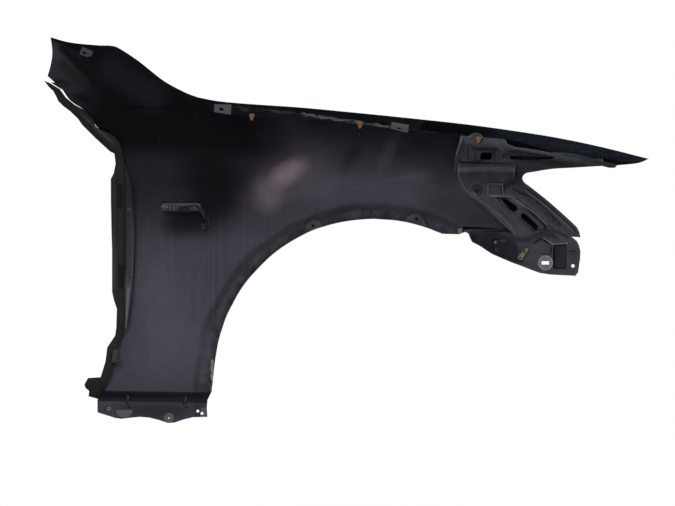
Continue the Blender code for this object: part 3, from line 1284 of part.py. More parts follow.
def make_side_lamp(materials):
    """Lamp body over the opening in the skin, its socket and lever inside, its lens outside."""
    ends = spots(LAMP_HOLE_SHARES)
    body = slot_loop(*ends, LAMP_BODY_RADIUS, 8)
    seated_slab("side_lamp_housing", body, lamp_level(SEAT_GAP), LAMP_BODY_DEPTH, materials["lamp"],
                FINE_STEP, (), LAMP_ROUND)
    socket = rounded_loop(spots(SOCKET_SHARES), SOCKET_CORNER)
    seated_slab("side_lamp_socket", socket, lamp_level(LAMP_BODY_FACE), SOCKET_DEPTH,
                materials["socket"], FINE_STEP, (), CLIP_CORNER)
    start, end = spots(LEVER_SLOPE_SHARES)

    def lever_face(x, z):
        level = LAMP_BODY_FACE * (1 - smooth((x - start.x) / (end.x - start.x)))
        return skin_y(x, z) - SKIN_THICKNESS - level

    lever = smooth_line(spots(LEVER_SHARES + LEVER_SHARES[:1]), FINE_STEP / 2)[:-1]
    seated_slab("side_lamp_lever", lever, lever_face, LEVER_THICKNESS, materials["lamp"],
                FINE_STEP / 2)
    lens = slot_loop(*ends, LAMP_LENS_RADIUS, 8)
    rim = inner_loop(lens, LAMP_ROUND)

    def lens_outer(x, z):
        rise = smooth(inset_of(Vector((x, z)), lens) / LAMP_ROUND)
        height = LAMP_LENS_RIM_SHARE + (1 - LAMP_LENS_RIM_SHARE) * rise
        return skin_y(x, z) + SEAT_GAP + LAMP_LENS_HEIGHT * height

    add_slab("side_lamp_lens", lens, lambda x, z: skin_y(x, z) + SEAT_GAP, lens_outer,
             materials["lens"], FINE_STEP, (), [rim + rim[:1]])


# Materials and assembly

FINISHES = {
    "paint": ((0.035, 0.033, 0.042), 0.38, 0.0),
    "stamping": ((0.040, 0.040, 0.047), 0.45, 0.0),
    "rubber": ((0.024, 0.023, 0.022), 0.75, 0.0),
    "dark clip": ((0.010, 0.010, 0.011), 0.60, 0.0),
    "orange clip": ((0.30, 0.13, 0.045), 0.55, 0.0),
    "yellow clip": ((0.35, 0.24, 0.03), 0.45, 0.0),
    "white plastic": ((0.50, 0.50, 0.52), 0.50, 0.0),
    "beige clip": ((0.22, 0.19, 0.16), 0.60, 0.0),
    "film": ((0.20, 0.20, 0.22), 0.35, 0.0),
    "lamp": ((0.080, 0.078, 0.084), 0.40, 0.0),
    "socket": ((0.16, 0.16, 0.17), 0.45, 0.0),
    "lens": ((0.60, 0.25, 0.05), 0.12, 0.0),
}


def make_material(name, colour, roughness, metallic):
    material = bpy.data.materials.new(name)
    material.use_nodes = True
    shader = material.node_tree.nodes["Principled BSDF"]
    shader.inputs["Base Color"].default_value = (*colour, 1)
    shader.inputs["Roughness"].default_value = roughness
    shader.inputs["Metallic"].default_value = metallic
    return material


def clear_scene():
    for piece in list(bpy.data.objects):
        bpy.data.objects.remove(piece, do_unlink=True)


def add_carrier():
    """The empty that carries every piece; it sets the origin on the front bolt tab's face."""
    carrier = bpy.data.objects.new(CARRIER, None)
    bpy.context.scene.collection.objects.link(carrier)
    carrier.location = -ledge_point(ORIGIN_SHARE * LENGTH, LEDGE_DEPTH / 2)


def build():
    clear_scene()
    add_carrier()
    finish = {name: make_material(name, *values) for name, values in FINISHES.items()}
    make_fender_panel(finish["paint"])
    make_front_reinforcement(finish["stamping"])
    make_headlamp_bracket(finish["stamping"])
    make_bumper_side_bracket(finish["stamping"])
    make_bumper_grommet(finish["white plastic"])
    make_screw_grommet(finish["dark clip"])
    make_spring_nut(finish["yellow clip"])
    make_hood_clip_seat(finish["stamping"])
    make_hood_clips(finish["orange clip"])
    make_lip_clip(finish["beige clip"])
    make_spear_film(finish["film"])
    make_rear_seal(finish["rubber"])
    make_seal_clips(finish["dark clip"])
    make_side_lamp(finish)


build()
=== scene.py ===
"""Looks of a car's left front fender: fine sheet metal, seal, clips and lamp, with their finishes.

The shapes follow the part's source with finer steps. Metres, +X forward, +Y outboard, +Z up.
Shares in a table are shares of LENGTH along X and of HEIGHT along Z, and those of the front
stampings are shares of their own box, counted from its lower rear corner.
"""

import math

import bmesh
import bpy
import numpy as np
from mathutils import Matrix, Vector, kdtree
from mathutils.geometry import delaunay_2d_cdt


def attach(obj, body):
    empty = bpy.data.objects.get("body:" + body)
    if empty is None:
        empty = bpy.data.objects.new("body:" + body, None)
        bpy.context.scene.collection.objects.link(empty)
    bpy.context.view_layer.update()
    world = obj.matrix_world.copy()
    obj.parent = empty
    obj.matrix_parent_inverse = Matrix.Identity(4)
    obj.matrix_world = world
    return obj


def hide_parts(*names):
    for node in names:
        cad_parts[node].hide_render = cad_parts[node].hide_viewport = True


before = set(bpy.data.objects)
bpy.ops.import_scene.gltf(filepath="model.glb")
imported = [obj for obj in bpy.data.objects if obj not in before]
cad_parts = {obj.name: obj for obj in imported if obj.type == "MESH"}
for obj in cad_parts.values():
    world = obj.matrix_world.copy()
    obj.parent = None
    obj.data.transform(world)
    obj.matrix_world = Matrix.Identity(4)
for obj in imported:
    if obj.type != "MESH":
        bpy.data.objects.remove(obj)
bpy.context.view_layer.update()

# Driving sizes of the whole panel
LENGTH = 1.234
HEIGHT = 0.79
SKIN_THICKNESS = 0.0008
STAMPING_THICKNESS = 0.0012
SEAT_GAP = 0.0003
LAP_GAP = 0.001
GRID_STEP = 0.007
STAMPING_STEP = 0.0034
FINE_STEP = 0.0026
CHAIN_STEP = 0.006
MERGE_DISTANCE = 0.00001
RIM_CLEAR_SHARE = 0.4
POINT_CLEAR_SHARE = 0.6
HOLE_SIDES = 10
SMALL_HOLE_SIDES = 8

# How the skin curves inboard
SHOULDER_INSET = 0.105
SHOULDER_REACH = 0.24
NOSE_INSET = 0.2
NOSE_START_SHARE = 0.52
NOSE_POWER = 2.1
ROCKER_TUCK = 0.026
ROCKER_TUCK_REACH = 0.33
REAR_TUCK = 0.012
REAR_TUCK_REACH = 0.42
BELT_SHARE = 0.847
BELT_FALL_SHARE = 0.161
BELT_POWER = 2.2

# Wheel arch land, a flat band above the lip that flares outboard
LAND_WIDTH = 0.041
LAND_FLARE = 0.009
LAND_SOFTNESS = 0.005
ARCH_CENTRE_SHARE = (0.549, 0.095)

# Body line pressed into the skin, and the hollows of the upper arm
BODY_LINE_SHARES = ((0.129, 0.728), (0.34, 0.704))
BODY_LINE_HEIGHT = 0.003
BODY_LINE_WIDTH = 0.03
BODY_LINE_FADE = 0.38
BODY_LINE_SOFT_SHARE = 0.15
ARM_HOLLOW_SHARES = ((0.021, 0.981), (0.083, 0.887))
ARM_HOLLOW_DEPTH = 0.0045
ARM_HOLLOW_WIDTH = 0.017
ARM_HOLLOW_FADE_SHARE = 0.7

# Side lamp pocket
POCKET_SHARES = ((0.186, 0.603), (0.263, 0.603), (0.263, 0.545), (0.186, 0.545))
POCKET_DEPTH = 0.0022
POCKET_RAMP = 0.007
POCKET_CORNER = 0.01

# Edges of the skin, from the rear tip of the arm forward, down and back
ARM_TOP_SHARES = ((0.012, 1.0), (0.034, 0.99), (0.051, 0.985), (0.069, 0.982), (0.094, 0.979))
ARM_SLOPE_SHARES = (
    (0.094, 0.979), (0.113, 0.978), (0.127, 0.97), (0.158, 0.938), (0.197, 0.89), (0.232, 0.86),
    (0.255, 0.846),
)
HOOD_EDGE_SHARES = (
    (0.255, 0.846), (0.29, 0.836), (0.34, 0.829), (0.424, 0.82), (0.506, 0.808), (0.589, 0.795),
    (0.689, 0.778), (0.769, 0.761), (0.848, 0.741), (0.923, 0.716), (1.0, 0.685),
)
SPEAR_EDGE_SHARES = (
    (1.0, 0.685), (0.989, 0.677), (0.978, 0.673), (0.949, 0.669), (0.92, 0.667), (0.896, 0.665),
    (0.873, 0.663), (0.848, 0.661), (0.832, 0.658), (0.817, 0.654),
)
NOTCH_SHARES = ((0.817, 0.654), (0.8, 0.649), (0.794, 0.639), (0.796, 0.627), (0.805, 0.616))
LAMP_EDGE_SHARES = ((0.805, 0.616), (0.838, 0.575), (0.875, 0.523), (0.886, 0.504), (0.89, 0.483))
BUMPER_EDGE_SHARES = (
    (0.89, 0.483), (0.868, 0.485), (0.843, 0.494), (0.807, 0.499), (0.765, 0.5), (0.707, 0.501),
    (0.689, 0.491), (0.662, 0.492),
)
ARCH_EDGE_SHARES = (
    (0.662, 0.492), (0.65, 0.499), (0.637, 0.507), (0.611, 0.519), (0.584, 0.527), (0.557, 0.53),
    (0.544, 0.531), (0.517, 0.528), (0.491, 0.522), (0.464, 0.511), (0.439, 0.497), (0.403, 0.466),
    (0.376, 0.435), (0.355, 0.403), (0.337, 0.372), (0.323, 0.341), (0.312, 0.31), (0.302, 0.279),
    (0.295, 0.248), (0.289, 0.217), (0.285, 0.185), (0.282, 0.154), (0.28, 0.123), (0.277, 0.082),
)
SILL_EDGE_SHARES = ((0.277, 0.082), (0.096, 0.084))
REAR_LOWER_SHARES = (
    (0.096, 0.084), (0.109, 0.144), (0.117, 0.196), (0.124, 0.256), (0.126, 0.32), (0.126, 0.476),
    (0.124, 0.58), (0.123, 0.652), (0.117, 0.715), (0.104, 0.758),
)
REAR_EAR_SHARES = (
    (0.104, 0.758), (0.098, 0.76), (0.092, 0.764), (0.085, 0.773), (0.082, 0.785), (0.083, 0.794),
)
REAR_UPPER_SHARES = (
    (0.083, 0.794), (0.064, 0.816), (0.043, 0.838), (0.029, 0.868), (0.017, 0.885), (0.006, 0.901),
)
ARM_END_SHARES = ((0.006, 0.901), (0.011, 0.927), (0.014, 0.952), (0.014, 0.974), (0.012, 1.0))
REAR_EAR_HOLE_SHARE = (0.091, 0.778)
REAR_EAR_HOLE = 0.0024
REAR_EAR_HOLE_TILT = -math.pi / 4

# Folds along the top edge: hood gap wall, sloping ledge with two bolt tabs, and the arm's flap
WALL_DROP = 0.031
WALL_DROP_SHARES = (
    (0.254, 0.06), (0.285, 0.24), (0.42, 0.4), (0.585, 0.5), (0.616, 0.84), (0.674, 0.79),
    (0.76, 0.63), (0.785, 0.66), (0.808, 0.8), (0.84, 1.0), (0.873, 0.9), (0.908, 0.87),
    (0.956, 0.52), (1.0, 0.06),
)
WALL_LEAN = 0.12
LEDGE_DEPTH = 0.018
LEDGE_DROP = 0.017
LEDGE_DROP_SHARES = ((0.281, 1.0), (0.311, 1.0), (0.4, 0.75), (0.51, 0.5), (0.572, 0.55))
LEDGE_SHARES = ((0.262, 0.0), (0.281, 1.0), (0.604, 1.0), (0.622, 0.0))
TAB_SPAN_SHARES = ((0.281, 0.311), (0.572, 0.604))
TAB_HOLE_SHARES = (0.294, 0.589)
TAB_HOLE_LENGTH = 0.009
TAB_HOLE_WIDTH = 0.007
FLAP_EDGE_SHARES = (
    (0.013, 0.996), (0.022, 0.989), (0.034, 0.979), (0.046, 0.969), (0.057, 0.959), (0.064, 0.948),
    (0.082, 0.951), (0.086, 0.95), (0.089, 0.961), (0.092, 0.97),
)
FLAP_BASE_SHARES = ((0.042, 0.988), (0.085, 0.98))
FLAP_LEAN = 0.35
FLAP_ROLL = 0.007
FLAP_HOLE_SHARE = (0.068, 0.959)
FLAP_HOLE_LENGTH = 0.01
FLAP_HOLE_WIDTH = 0.005
FLAP_HOLE_TILT = -0.35

# Folds along the rear, the wheel arch, the bumper edge and the sill
REAR_FOLD = 0.012
REAR_FOLD_RAMP = 0.04
REAR_HEM = 0.004
REAR_STRIP_SHARES = (
    (0.123, 0.684), (0.132, 0.676), (0.139, 0.648), (0.145, 0.611), (0.148, 0.564), (0.15, 0.497),
    (0.149, 0.445), (0.147, 0.385), (0.144, 0.32), (0.14, 0.279), (0.134, 0.237), (0.121, 0.222),
)
SEAL_HOLE_SHARES = ((0.139, 0.554), (0.14, 0.382))
SEAL_HOLE = 0.0034
LIP_DEPTH = 0.014
LIP_RISE = 0.0015
EAR_SPAN_SHARES = (((0.591, 0.527), (0.638, 0.509)), ((0.429, 0.489), (0.468, 0.514)))
EAR_TOP_SHARES = (((0.611, 0.544), (0.625, 0.544)), ((0.437, 0.523), (0.452, 0.53)))
EAR_HOLE_SHARES = ((0.618, 0.531), (0.446, 0.513))
EAR_HOLE = 0.0028
EDGE_HEM = 0.008
SILL_ROLL = 0.024
SILL_ROLL_STEPS = 4
SILL_FLANGE_SHARES = (
    (0.27, 0.059), (0.269, 0.039), (0.27, 0.016), (0.246, 0.015), (0.23, 0.009), (0.215, 0.001),
    (0.204, 0.0), (0.189, 0.008), (0.173, 0.014), (0.158, 0.016), (0.143, 0.014), (0.127, 0.011),
    (0.117, 0.013), (0.101, 0.021), (0.087, 0.028), (0.087, 0.06),
)
SILL_HOLE_SHARES = ((0.106, 0.037), (0.206, 0.013), (0.254, 0.031))
SILL_HOLES = (0.0026, 0.0032, 0.003)
SILL_SQUARE_SHARE = (0.261, 0.025)
SILL_SQUARE = 0.0052
SILL_BOSS_SHARE = (0.106, 0.037)
SILL_BOSS = 0.0085
SILL_BOSS_HEIGHT = 0.002
SILL_BEAD_SHARES = ((0.138, 0.047), (0.233, 0.047))
SILL_BEAD_LENGTH = 0.013
SILL_BEAD_WIDTH = 0.0075
SILL_BEAD_HEIGHT = 0.003

# Front stampings: their box, sheet levels and the reinforcement behind the hood gap wall
FRONT_CORNER_SHARE = (0.677, 0.383)
FRONT_SIZE_SHARE = (0.216, 0.3736)
STAMPING_STANDOFF = 0.011
BOX_DEPTH = 0.018
BOX_MIDDLE = 0.055
BOX_REACH = 0.06
WALL_BLEND = 0.03
EDGE_INSET = 0.0002
PLATE_LINE_SHARES = ((0.538, 0.146), (0.962, 0.146))
PLATE_BLEND = 0.02
STAMPING_TIP_SHARE = 0.93
STAMPING_FOOT_SHARE = 0.487
REINFORCEMENT_SHARES = (
    (0.977, 0.272), (0.854, 0.278), (0.8, 0.361), (0.677, 0.465), (0.523, 0.556), (0.423, 0.639),
    (0.369, 0.681), (0.138, 0.681), (0.046, 0.688), (0.015, 0.729), (0.02, 0.806), (0.035, 0.875),
    (0.058, 0.938), (0.065, 0.986), (0.108, 1.003), (0.215, 0.997), (0.369, 0.976), (0.397, 0.958),
    (0.426, 0.914), (0.485, 0.893), (0.574, 0.882), (0.692, 0.865), (0.765, 0.851), (0.785, 0.872),
    (0.846, 0.871), (0.908, 0.865), (1.069, 0.84), (1.138, 0.83),
)
REINFORCEMENT_WINDOW_SHARES = (
    (0.443, 0.833), (0.6, 0.829), (0.777, 0.822), (0.765, 0.806), (0.446, 0.806),
)
WINDOW_CORNER = 0.002
REINFORCEMENT_HOLE_SHARES = ((0.22, 0.856), (0.308, 0.856), (0.3, 0.806), (0.215, 0.806))
HOLE_CORNER = 0.0025
STAMP_CORNER = 0.0035
STAMP_RAMP = 0.004
# Pressed into the reinforcement: a long recess, the seat round its square hole, a dimple, the
# recess over its window, and the body that stands proud between its welded edges
REINFORCEMENT_STAMP_SHARES = (
    ((0.075, 0.931), (0.134, 0.931), (0.126, 0.795), (0.06, 0.795)),
    ((0.158, 0.887), (0.335, 0.887), (0.327, 0.788), (0.169, 0.788)),
    ((0.38, 0.843), (0.426, 0.843), (0.426, 0.801), (0.38, 0.801)),
    ((0.435, 0.869), (0.485, 0.872), (0.615, 0.854), (0.785, 0.826), (0.772, 0.8), (0.437, 0.8)),
    ((0.088, 0.931), (0.2, 0.933), (0.354, 0.917), (0.4, 0.875), (0.4, 0.772), (0.051, 0.788)),
)
REINFORCEMENT_STAMP_DEPTHS = (0.0022, 0.004, 0.003, 0.0045, -0.003)

# Diagonal headlamp bracket with its bumper plate
BRACKET_BULGE = 0.01
BRACKET_LAP = 0.006
BRACKET_RAMP = 0.012
BRACKET_FLAT = 0.01
CREASE_RAMP = 0.022
BRACKET_SIDE_SHARES = ((0.46, 0.601), (0.615, 0.535), (0.838, 0.344), (0.923, 0.257))
BRACKET_CREASE_SHARES = ((0.408, 0.294), (0.508, 0.285), (0.631, 0.292), (0.765, 0.319), (0.898, 0.292))
BRACKET_SHARES = (
    (0.054, 0.78), (0.485, 0.769), (0.48, 0.701), (0.46, 0.601), (0.523, 0.567), (0.618, 0.533),
    (0.723, 0.451), (0.838, 0.342), (0.877, 0.296), (0.919, 0.271), (0.957, 0.243), (0.974, 0.215),
    (0.986, 0.17), (0.983, 0.118), (0.968, 0.022), (0.946, 0.0), (0.763, 0.008), (0.685, 0.018),
    (0.623, 0.072), (0.518, 0.117), (0.507, 0.167), (0.503, 0.229), (0.483, 0.279), (0.426, 0.33),
    (0.352, 0.392), (0.279, 0.46), (0.205, 0.514), (0.11, 0.569), (0.065, 0.615), (0.046, 0.682),
    (0.043, 0.761),
)
BRACKET_DROP_SLOT_SHARES = (
    (0.378, 0.536), (0.412, 0.535), (0.462, 0.507), (0.502, 0.483), (0.505, 0.456), (0.477, 0.443),
    (0.449, 0.457),
)
BRACKET_SLOT_SHARES = ((0.548, 0.417), (0.642, 0.34))
BRACKET_SLOT_RADIUS = 0.0055
NUT_SLOT_SHARES = ((0.574, 0.189), (0.543, 0.149))
NUT_SLOT_RADIUS = 0.0042
BOSS_SHARE = (0.191, 0.593)
BOSS_RADIUS = 0.0127
BOSS_HOLE = 0.0055
BOSS_DEPTH = 0.004
# Pressed into the bracket: a pad, the channel along its arm, a small pad beside it, and the recess
# and the crease of the bumper plate
BRACKET_STAMP_SHARES = (
    ((0.277, 0.649), (0.392, 0.649), (0.392, 0.554), (0.277, 0.554)),
    ((0.323, 0.55), (0.426, 0.556), (0.5, 0.544), (0.562, 0.508), (0.746, 0.342), (0.708, 0.308),
     (0.608, 0.308), (0.5, 0.404), (0.369, 0.494)),
    ((0.364, 0.465), (0.492, 0.366), (0.467, 0.343), (0.338, 0.44)),
    ((0.776, 0.216), (0.878, 0.226), (0.878, 0.047), (0.776, 0.047)),
    ((0.689, 0.269), (0.771, 0.215), (0.765, 0.139), (0.646, 0.153), (0.608, 0.222)),
)
BRACKET_STAMP_DEPTHS = (0.0032, 0.0075, 0.002, 0.007, 0.003)
BRACKET_STAMP_RAMPS = (0.003, 0.007, 0.0025, 0.0035, 0.004)
GROMMET_SHARE = (0.718, 0.09)
GROMMET_RADIUS = 0.0154
GROMMET_SIDES = 28
GROMMET_THICKNESS = 0.003
GROMMET_HOLE_LENGTH = 0.015
GROMMET_HOLE_HEIGHT = 0.0068
GROMMET_HOLE_MARGIN = 0.0012
SCREW_GROMMET_SHARE = (0.932, 0.17)
SCREW_GROMMET_LENGTH = 0.0164
SCREW_GROMMET_HEIGHT = 0.0118
SCREW_GROMMET_THICKNESS = 0.004
SCREW_GROMMET_SLOT_LENGTH = 0.008
SCREW_GROMMET_SLOT_RADIUS = 0.0013
SCREW_GROMMET_SLOT_DEPTH = 0.0026
SCREW_HOLE_SIDE = 0.0086
PLATE_HOLE_SHARE = (0.928, 0.069)
PLATE_HOLE = 0.0036

# Side bracket under the front lower corner
SIDE_BRACKET_SHARES = (
    (0.095, 0.308), (0.138, 0.324), (0.369, 0.323), (0.538, 0.315), (0.577, 0.25), (0.608, 0.167),
    (0.638, 0.104), (0.685, 0.017), (0.615, 0.039), (0.538, 0.067), (0.454, 0.095), (0.385, 0.122),
    (0.311, 0.151), (0.262, 0.179), (0.223, 0.204), (0.155, 0.236), (0.14, 0.264), (0.128, 0.294),
)
SIDE_HOLE_SHARE = (0.336, 0.233)
SIDE_HOLE = 0.0022
SIDE_HOLE_BOSS = 0.0085
SIDE_BOSS_DEPTH = 0.004
SIDE_PAD_SHARES = ((0.163, 0.285), (0.182, 0.258))
SIDE_PAD_RADIUS = 0.0046
SIDE_PAD_HEIGHT = 0.0022

# Small plastic pieces of the front
SPRING_NUT_SHARES = ((0.526, 0.126), (0.571, 0.179))
SPRING_NUT_RADIUS = 0.0046
SPRING_NUT_THICKNESS = 0.0055
SPRING_NUT_HOLE = 0.0022
HOOD_CLIP_SHARES = (0.3445, 0.524, 0.7205)
HOOD_CLIP_NAMES = ("rear", "middle", "front")
HOOD_CLIP_WIDTH = 0.0112
HOOD_CLIP_HEIGHT = 0.0138
HOOD_CLIP_THICKNESS = 0.006
HOOD_CLIP_LIFT_SHARES = (0.36, 0.36, 0.0)
HOOD_CLIP_OUTLINE_SHARES = (
    (-0.3, 0.0), (0.3, 0.0), (0.5, 0.16), (0.5, 0.38), (0.34, 0.66), (0.12, 1.0), (-0.12, 1.0),
    (-0.34, 0.66), (-0.5, 0.38), (-0.5, 0.16),
)
CLIP_SEAT_SHARES = (
    (0.703, 0.741), (0.705, 0.746), (0.709, 0.751), (0.716, 0.754), (0.723, 0.751), (0.727, 0.746),
    (0.728, 0.74), (0.716, 0.739),
)
CLIP_SEAT_THICKNESS = 0.0015
LIP_CLIP_SHARE = (0.691, 0.5)
LIP_CLIP_LENGTH = 0.009
LIP_CLIP_HEIGHT = 0.01
LIP_CLIP_THICKNESS = 0.005
CLIP_CORNER = 0.0015
ROUND_OVER_SHARE = 0.4
FILM_SHARES = (
    (0.856, 0.703), (0.881, 0.699), (0.906, 0.688), (0.925, 0.678), (0.941, 0.674), (0.948, 0.668),
    (0.945, 0.662), (0.935, 0.662), (0.923, 0.667), (0.906, 0.677), (0.881, 0.691), (0.858, 0.696),
)
FILM_THICKNESS = 0.0008
FILM_CURL = 0.0025
FILM_CURL_START_SHARE = 0.905

# Rubber seal along the rear edge
SEAL_OUTER_SHARES = (
    (0.0, 0.889), (0.007, 0.874), (0.015, 0.862), (0.02, 0.847), (0.023, 0.836), (0.03, 0.825),
    (0.044, 0.808), (0.055, 0.791), (0.062, 0.775), (0.083, 0.742), (0.108, 0.706), (0.115, 0.701),
    (0.116, 0.689), (0.117, 0.675), (0.114, 0.65), (0.109, 0.635), (0.109, 0.58), (0.11, 0.502),
    (0.111, 0.45), (0.111, 0.341), (0.114, 0.32), (0.119, 0.297), (0.118, 0.248), (0.116, 0.227),
    (0.103, 0.197), (0.1, 0.16), (0.092, 0.119), (0.071, 0.117), (0.065, 0.1), (0.067, 0.091),
    (0.073, 0.083), (0.072, 0.069),
)
SEAL_INNER_SHARES = (
    (0.009, 0.883), (0.026, 0.867), (0.036, 0.845), (0.05, 0.827), (0.067, 0.813), (0.071, 0.804),
    (0.078, 0.795), (0.082, 0.785), (0.084, 0.773), (0.091, 0.763), (0.098, 0.759), (0.107, 0.753),
    (0.116, 0.743), (0.123, 0.729), (0.127, 0.711), (0.13, 0.684), (0.131, 0.645), (0.132, 0.577),
    (0.135, 0.497), (0.135, 0.404), (0.132, 0.364), (0.133, 0.263), (0.13, 0.237), (0.121, 0.191),
    (0.115, 0.149), (0.109, 0.118), (0.104, 0.104), (0.099, 0.092), (0.093, 0.079), (0.089, 0.071),
    (0.085, 0.064),
)
SEAL_EDGE = 0.0026
SEAL_RIDGE = 0.0042
SEAL_RIDGE_REACH = 0.01
SEAL_PAD_SHARES = ((0.011, 0.884), (0.036, 0.883), (0.043, 0.872), (0.028, 0.867))
SEAL_PAD_THICKNESS = 0.004
SEAL_CLIP_HEAD = 0.0044
SEAL_CLIP_HEAD_THICKNESS = 0.0016
SEAL_CLIP_TOP_SHARE = 0.7
SEAL_CLIP_STEM = 0.0029
SEAL_CLIP_LENGTH = 0.008
SEAL_CLIP_TIP = 0.0016
SEAL_BLOCK_SHARES = (
    (0.113, 0.19), (0.121, 0.192), (0.122, 0.166), (0.128, 0.164), (0.127, 0.161), (0.122, 0.159),
    (0.12, 0.156), (0.11, 0.157),
)
SEAL_BLOCK_THICKNESS = 0.005

# Side lamp
LAMP_HOLE_SHARES = ((0.199, 0.562), (0.253, 0.562))
LAMP_HOLE_RADIUS = 0.0066
LAMP_BODY_RADIUS = 0.008
LAMP_BODY_DEPTH = 0.01
LAMP_LENS_RADIUS = 0.01
LAMP_LENS_HEIGHT = 0.005
LAMP_ROUND = 0.005
LAMP_END_CUTS = 8
LAMP_LENS_RIM_SHARE = 0.3
SOCKET_SHARES = ((0.222, 0.565), (0.241, 0.563), (0.241, 0.548), (0.222, 0.549))
SOCKET_DEPTH = 0.007
SOCKET_CORNER = 0.002
LEVER_SHARES = (
    (0.247, 0.568), (0.255, 0.566), (0.264, 0.553), (0.271, 0.536), (0.274, 0.522), (0.272, 0.512),
    (0.267, 0.507), (0.262, 0.509), (0.26, 0.515), (0.262, 0.519), (0.267, 0.516), (0.267, 0.524),
    (0.262, 0.538), (0.256, 0.55), (0.248, 0.555),
)
LEVER_THICKNESS = 0.003
LEVER_SLOPE_SHARES = ((0.263, 0.564), (0.272, 0.564))

# Place of the panel's origin: on the face of the front bolt tab
ORIGIN_SHARE = 0.578

# Material slots of the panel's sheet, and the finer shapes that only the looks have
GAP_SLOT = 2
FOLD_SLOT = 3
BEND_RADIUS = 0.0012
BEND_SEGMENTS = 2
BEND_ANGLE = 0.7
SMOOTH_ANGLE = 0.6
SHEET_SMOOTH_ANGLE = 1.0

# Small trim on the sill flange and on the lamp
DETAIL_STEP = 0.0016
DETAIL_ROUND = 0.0012
KNOB_SIDES = 16
RING_SIDES = 24
SILL_PAD_SHARES = ((0.117, 0.033), (0.146, 0.035), (0.142, 0.019), (0.132, 0.013), (0.122, 0.019))
SILL_PAD_CORNER = 0.004
SILL_PAD_HEIGHT = 0.0008
RING_CLIP_SIZE = 0.02
SILL_RIDGE_SHARES = (((0.138, 0.068), (0.138, 0.049)), ((0.234, 0.065), (0.233, 0.048)))
SILL_RIDGE_WIDTH = 0.0046
SILL_RIDGE_HEIGHT = 0.003
BOSS_PLUG_RADIUS = 0.0046
RING_CLIP_HOLE = 0.0013
WING_WASHER_RADIUS = 0.0046
WING_WASHER_HOLE = 0.0007
WING_WASHER_HEIGHT = 0.0006
EAR_RING_RADIUS = 0.0076
EAR_RING_HOLE = 0.0052
EAR_RING_HEIGHT = 0.001
SEAL_LIP_SHARES = (
    (0.067, 0.827), (0.077, 0.818), (0.089, 0.799), (0.1, 0.776), (0.112, 0.754), (0.107, 0.741),
    (0.095, 0.755), (0.082, 0.78), (0.072, 0.8), (0.065, 0.815),
)
SEAL_FOOT_LIP_SHARES = (
    (0.09, 0.08), (0.095, 0.0925), (0.0992, 0.0912), (0.097, 0.085), (0.0927, 0.0725),
    (0.0887, 0.063), (0.0838, 0.0636), (0.087, 0.0715),
)
SEAL_LIP_GAP = 0.0012
SEAL_LIP_THICKNESS = 0.0014
LAMP_RIB_SHARES = (
    ((0.197, 0.563), (0.202, 0.562), 0.0025),
    ((0.208, 0.57), (0.208, 0.555), 0.0012),
    ((0.215, 0.57), (0.215, 0.554), 0.0013),
    ((0.225, 0.566), (0.232, 0.566), 0.0013),
    ((0.237, 0.568), (0.246, 0.57), 0.0012),
    ((0.247, 0.564), (0.252, 0.555), 0.0012),
)
LAMP_RIB_HEIGHT = 0.0085
LEVER_END_SHARE = (0.265, 0.511)
LEVER_END_RADIUS = 0.0048

# Marks in the finishes. A patch or a box is given by its centre and reach, then its turn and edge;
# a Band or what lies Above a line by its points, then half its width, its edge and where it fades;
# then how strongly it covers, and its colour. These colours come back in several marks.
SHADOW = (0.002, 0.002, 0.003)
# Painted shade in the grooves, the recess and the crease of the front stampings
GROOVE_SHADE = (0.005, 0.005, 0.008)
# Painted shade round the side bracket's hole and along the fold of the lamp edge
FOLD_AND_HOLE_SHADE = (0.003, 0.003, 0.005)
STRIP_SHADOW = (0.008, 0.008, 0.009)
# Painted highlights on the rims, ridges, edges and folds of the stampings
RIM_HIGHLIGHT = (0.16, 0.16, 0.175)
RIDGE_HIGHLIGHT = (0.13, 0.13, 0.145)
EDGE_HIGHLIGHT = (0.12, 0.118, 0.135)
FOLD_HIGHLIGHT = (0.11, 0.108, 0.125)
# Painted shade along the seal's folds
RUBBER_FOLD_SHADE = (0.006, 0.006, 0.0065)
RUBBER_SHADOW = (0.003, 0.003, 0.0035)
ARM_SHADOW = (0.0025, 0.0027, 0.004)
# Painted sheen highlight on the primer
SHEEN_HIGHLIGHT = (0.09, 0.085, 0.1)
GAP_DUST = (0.03, 0.034, 0.042)
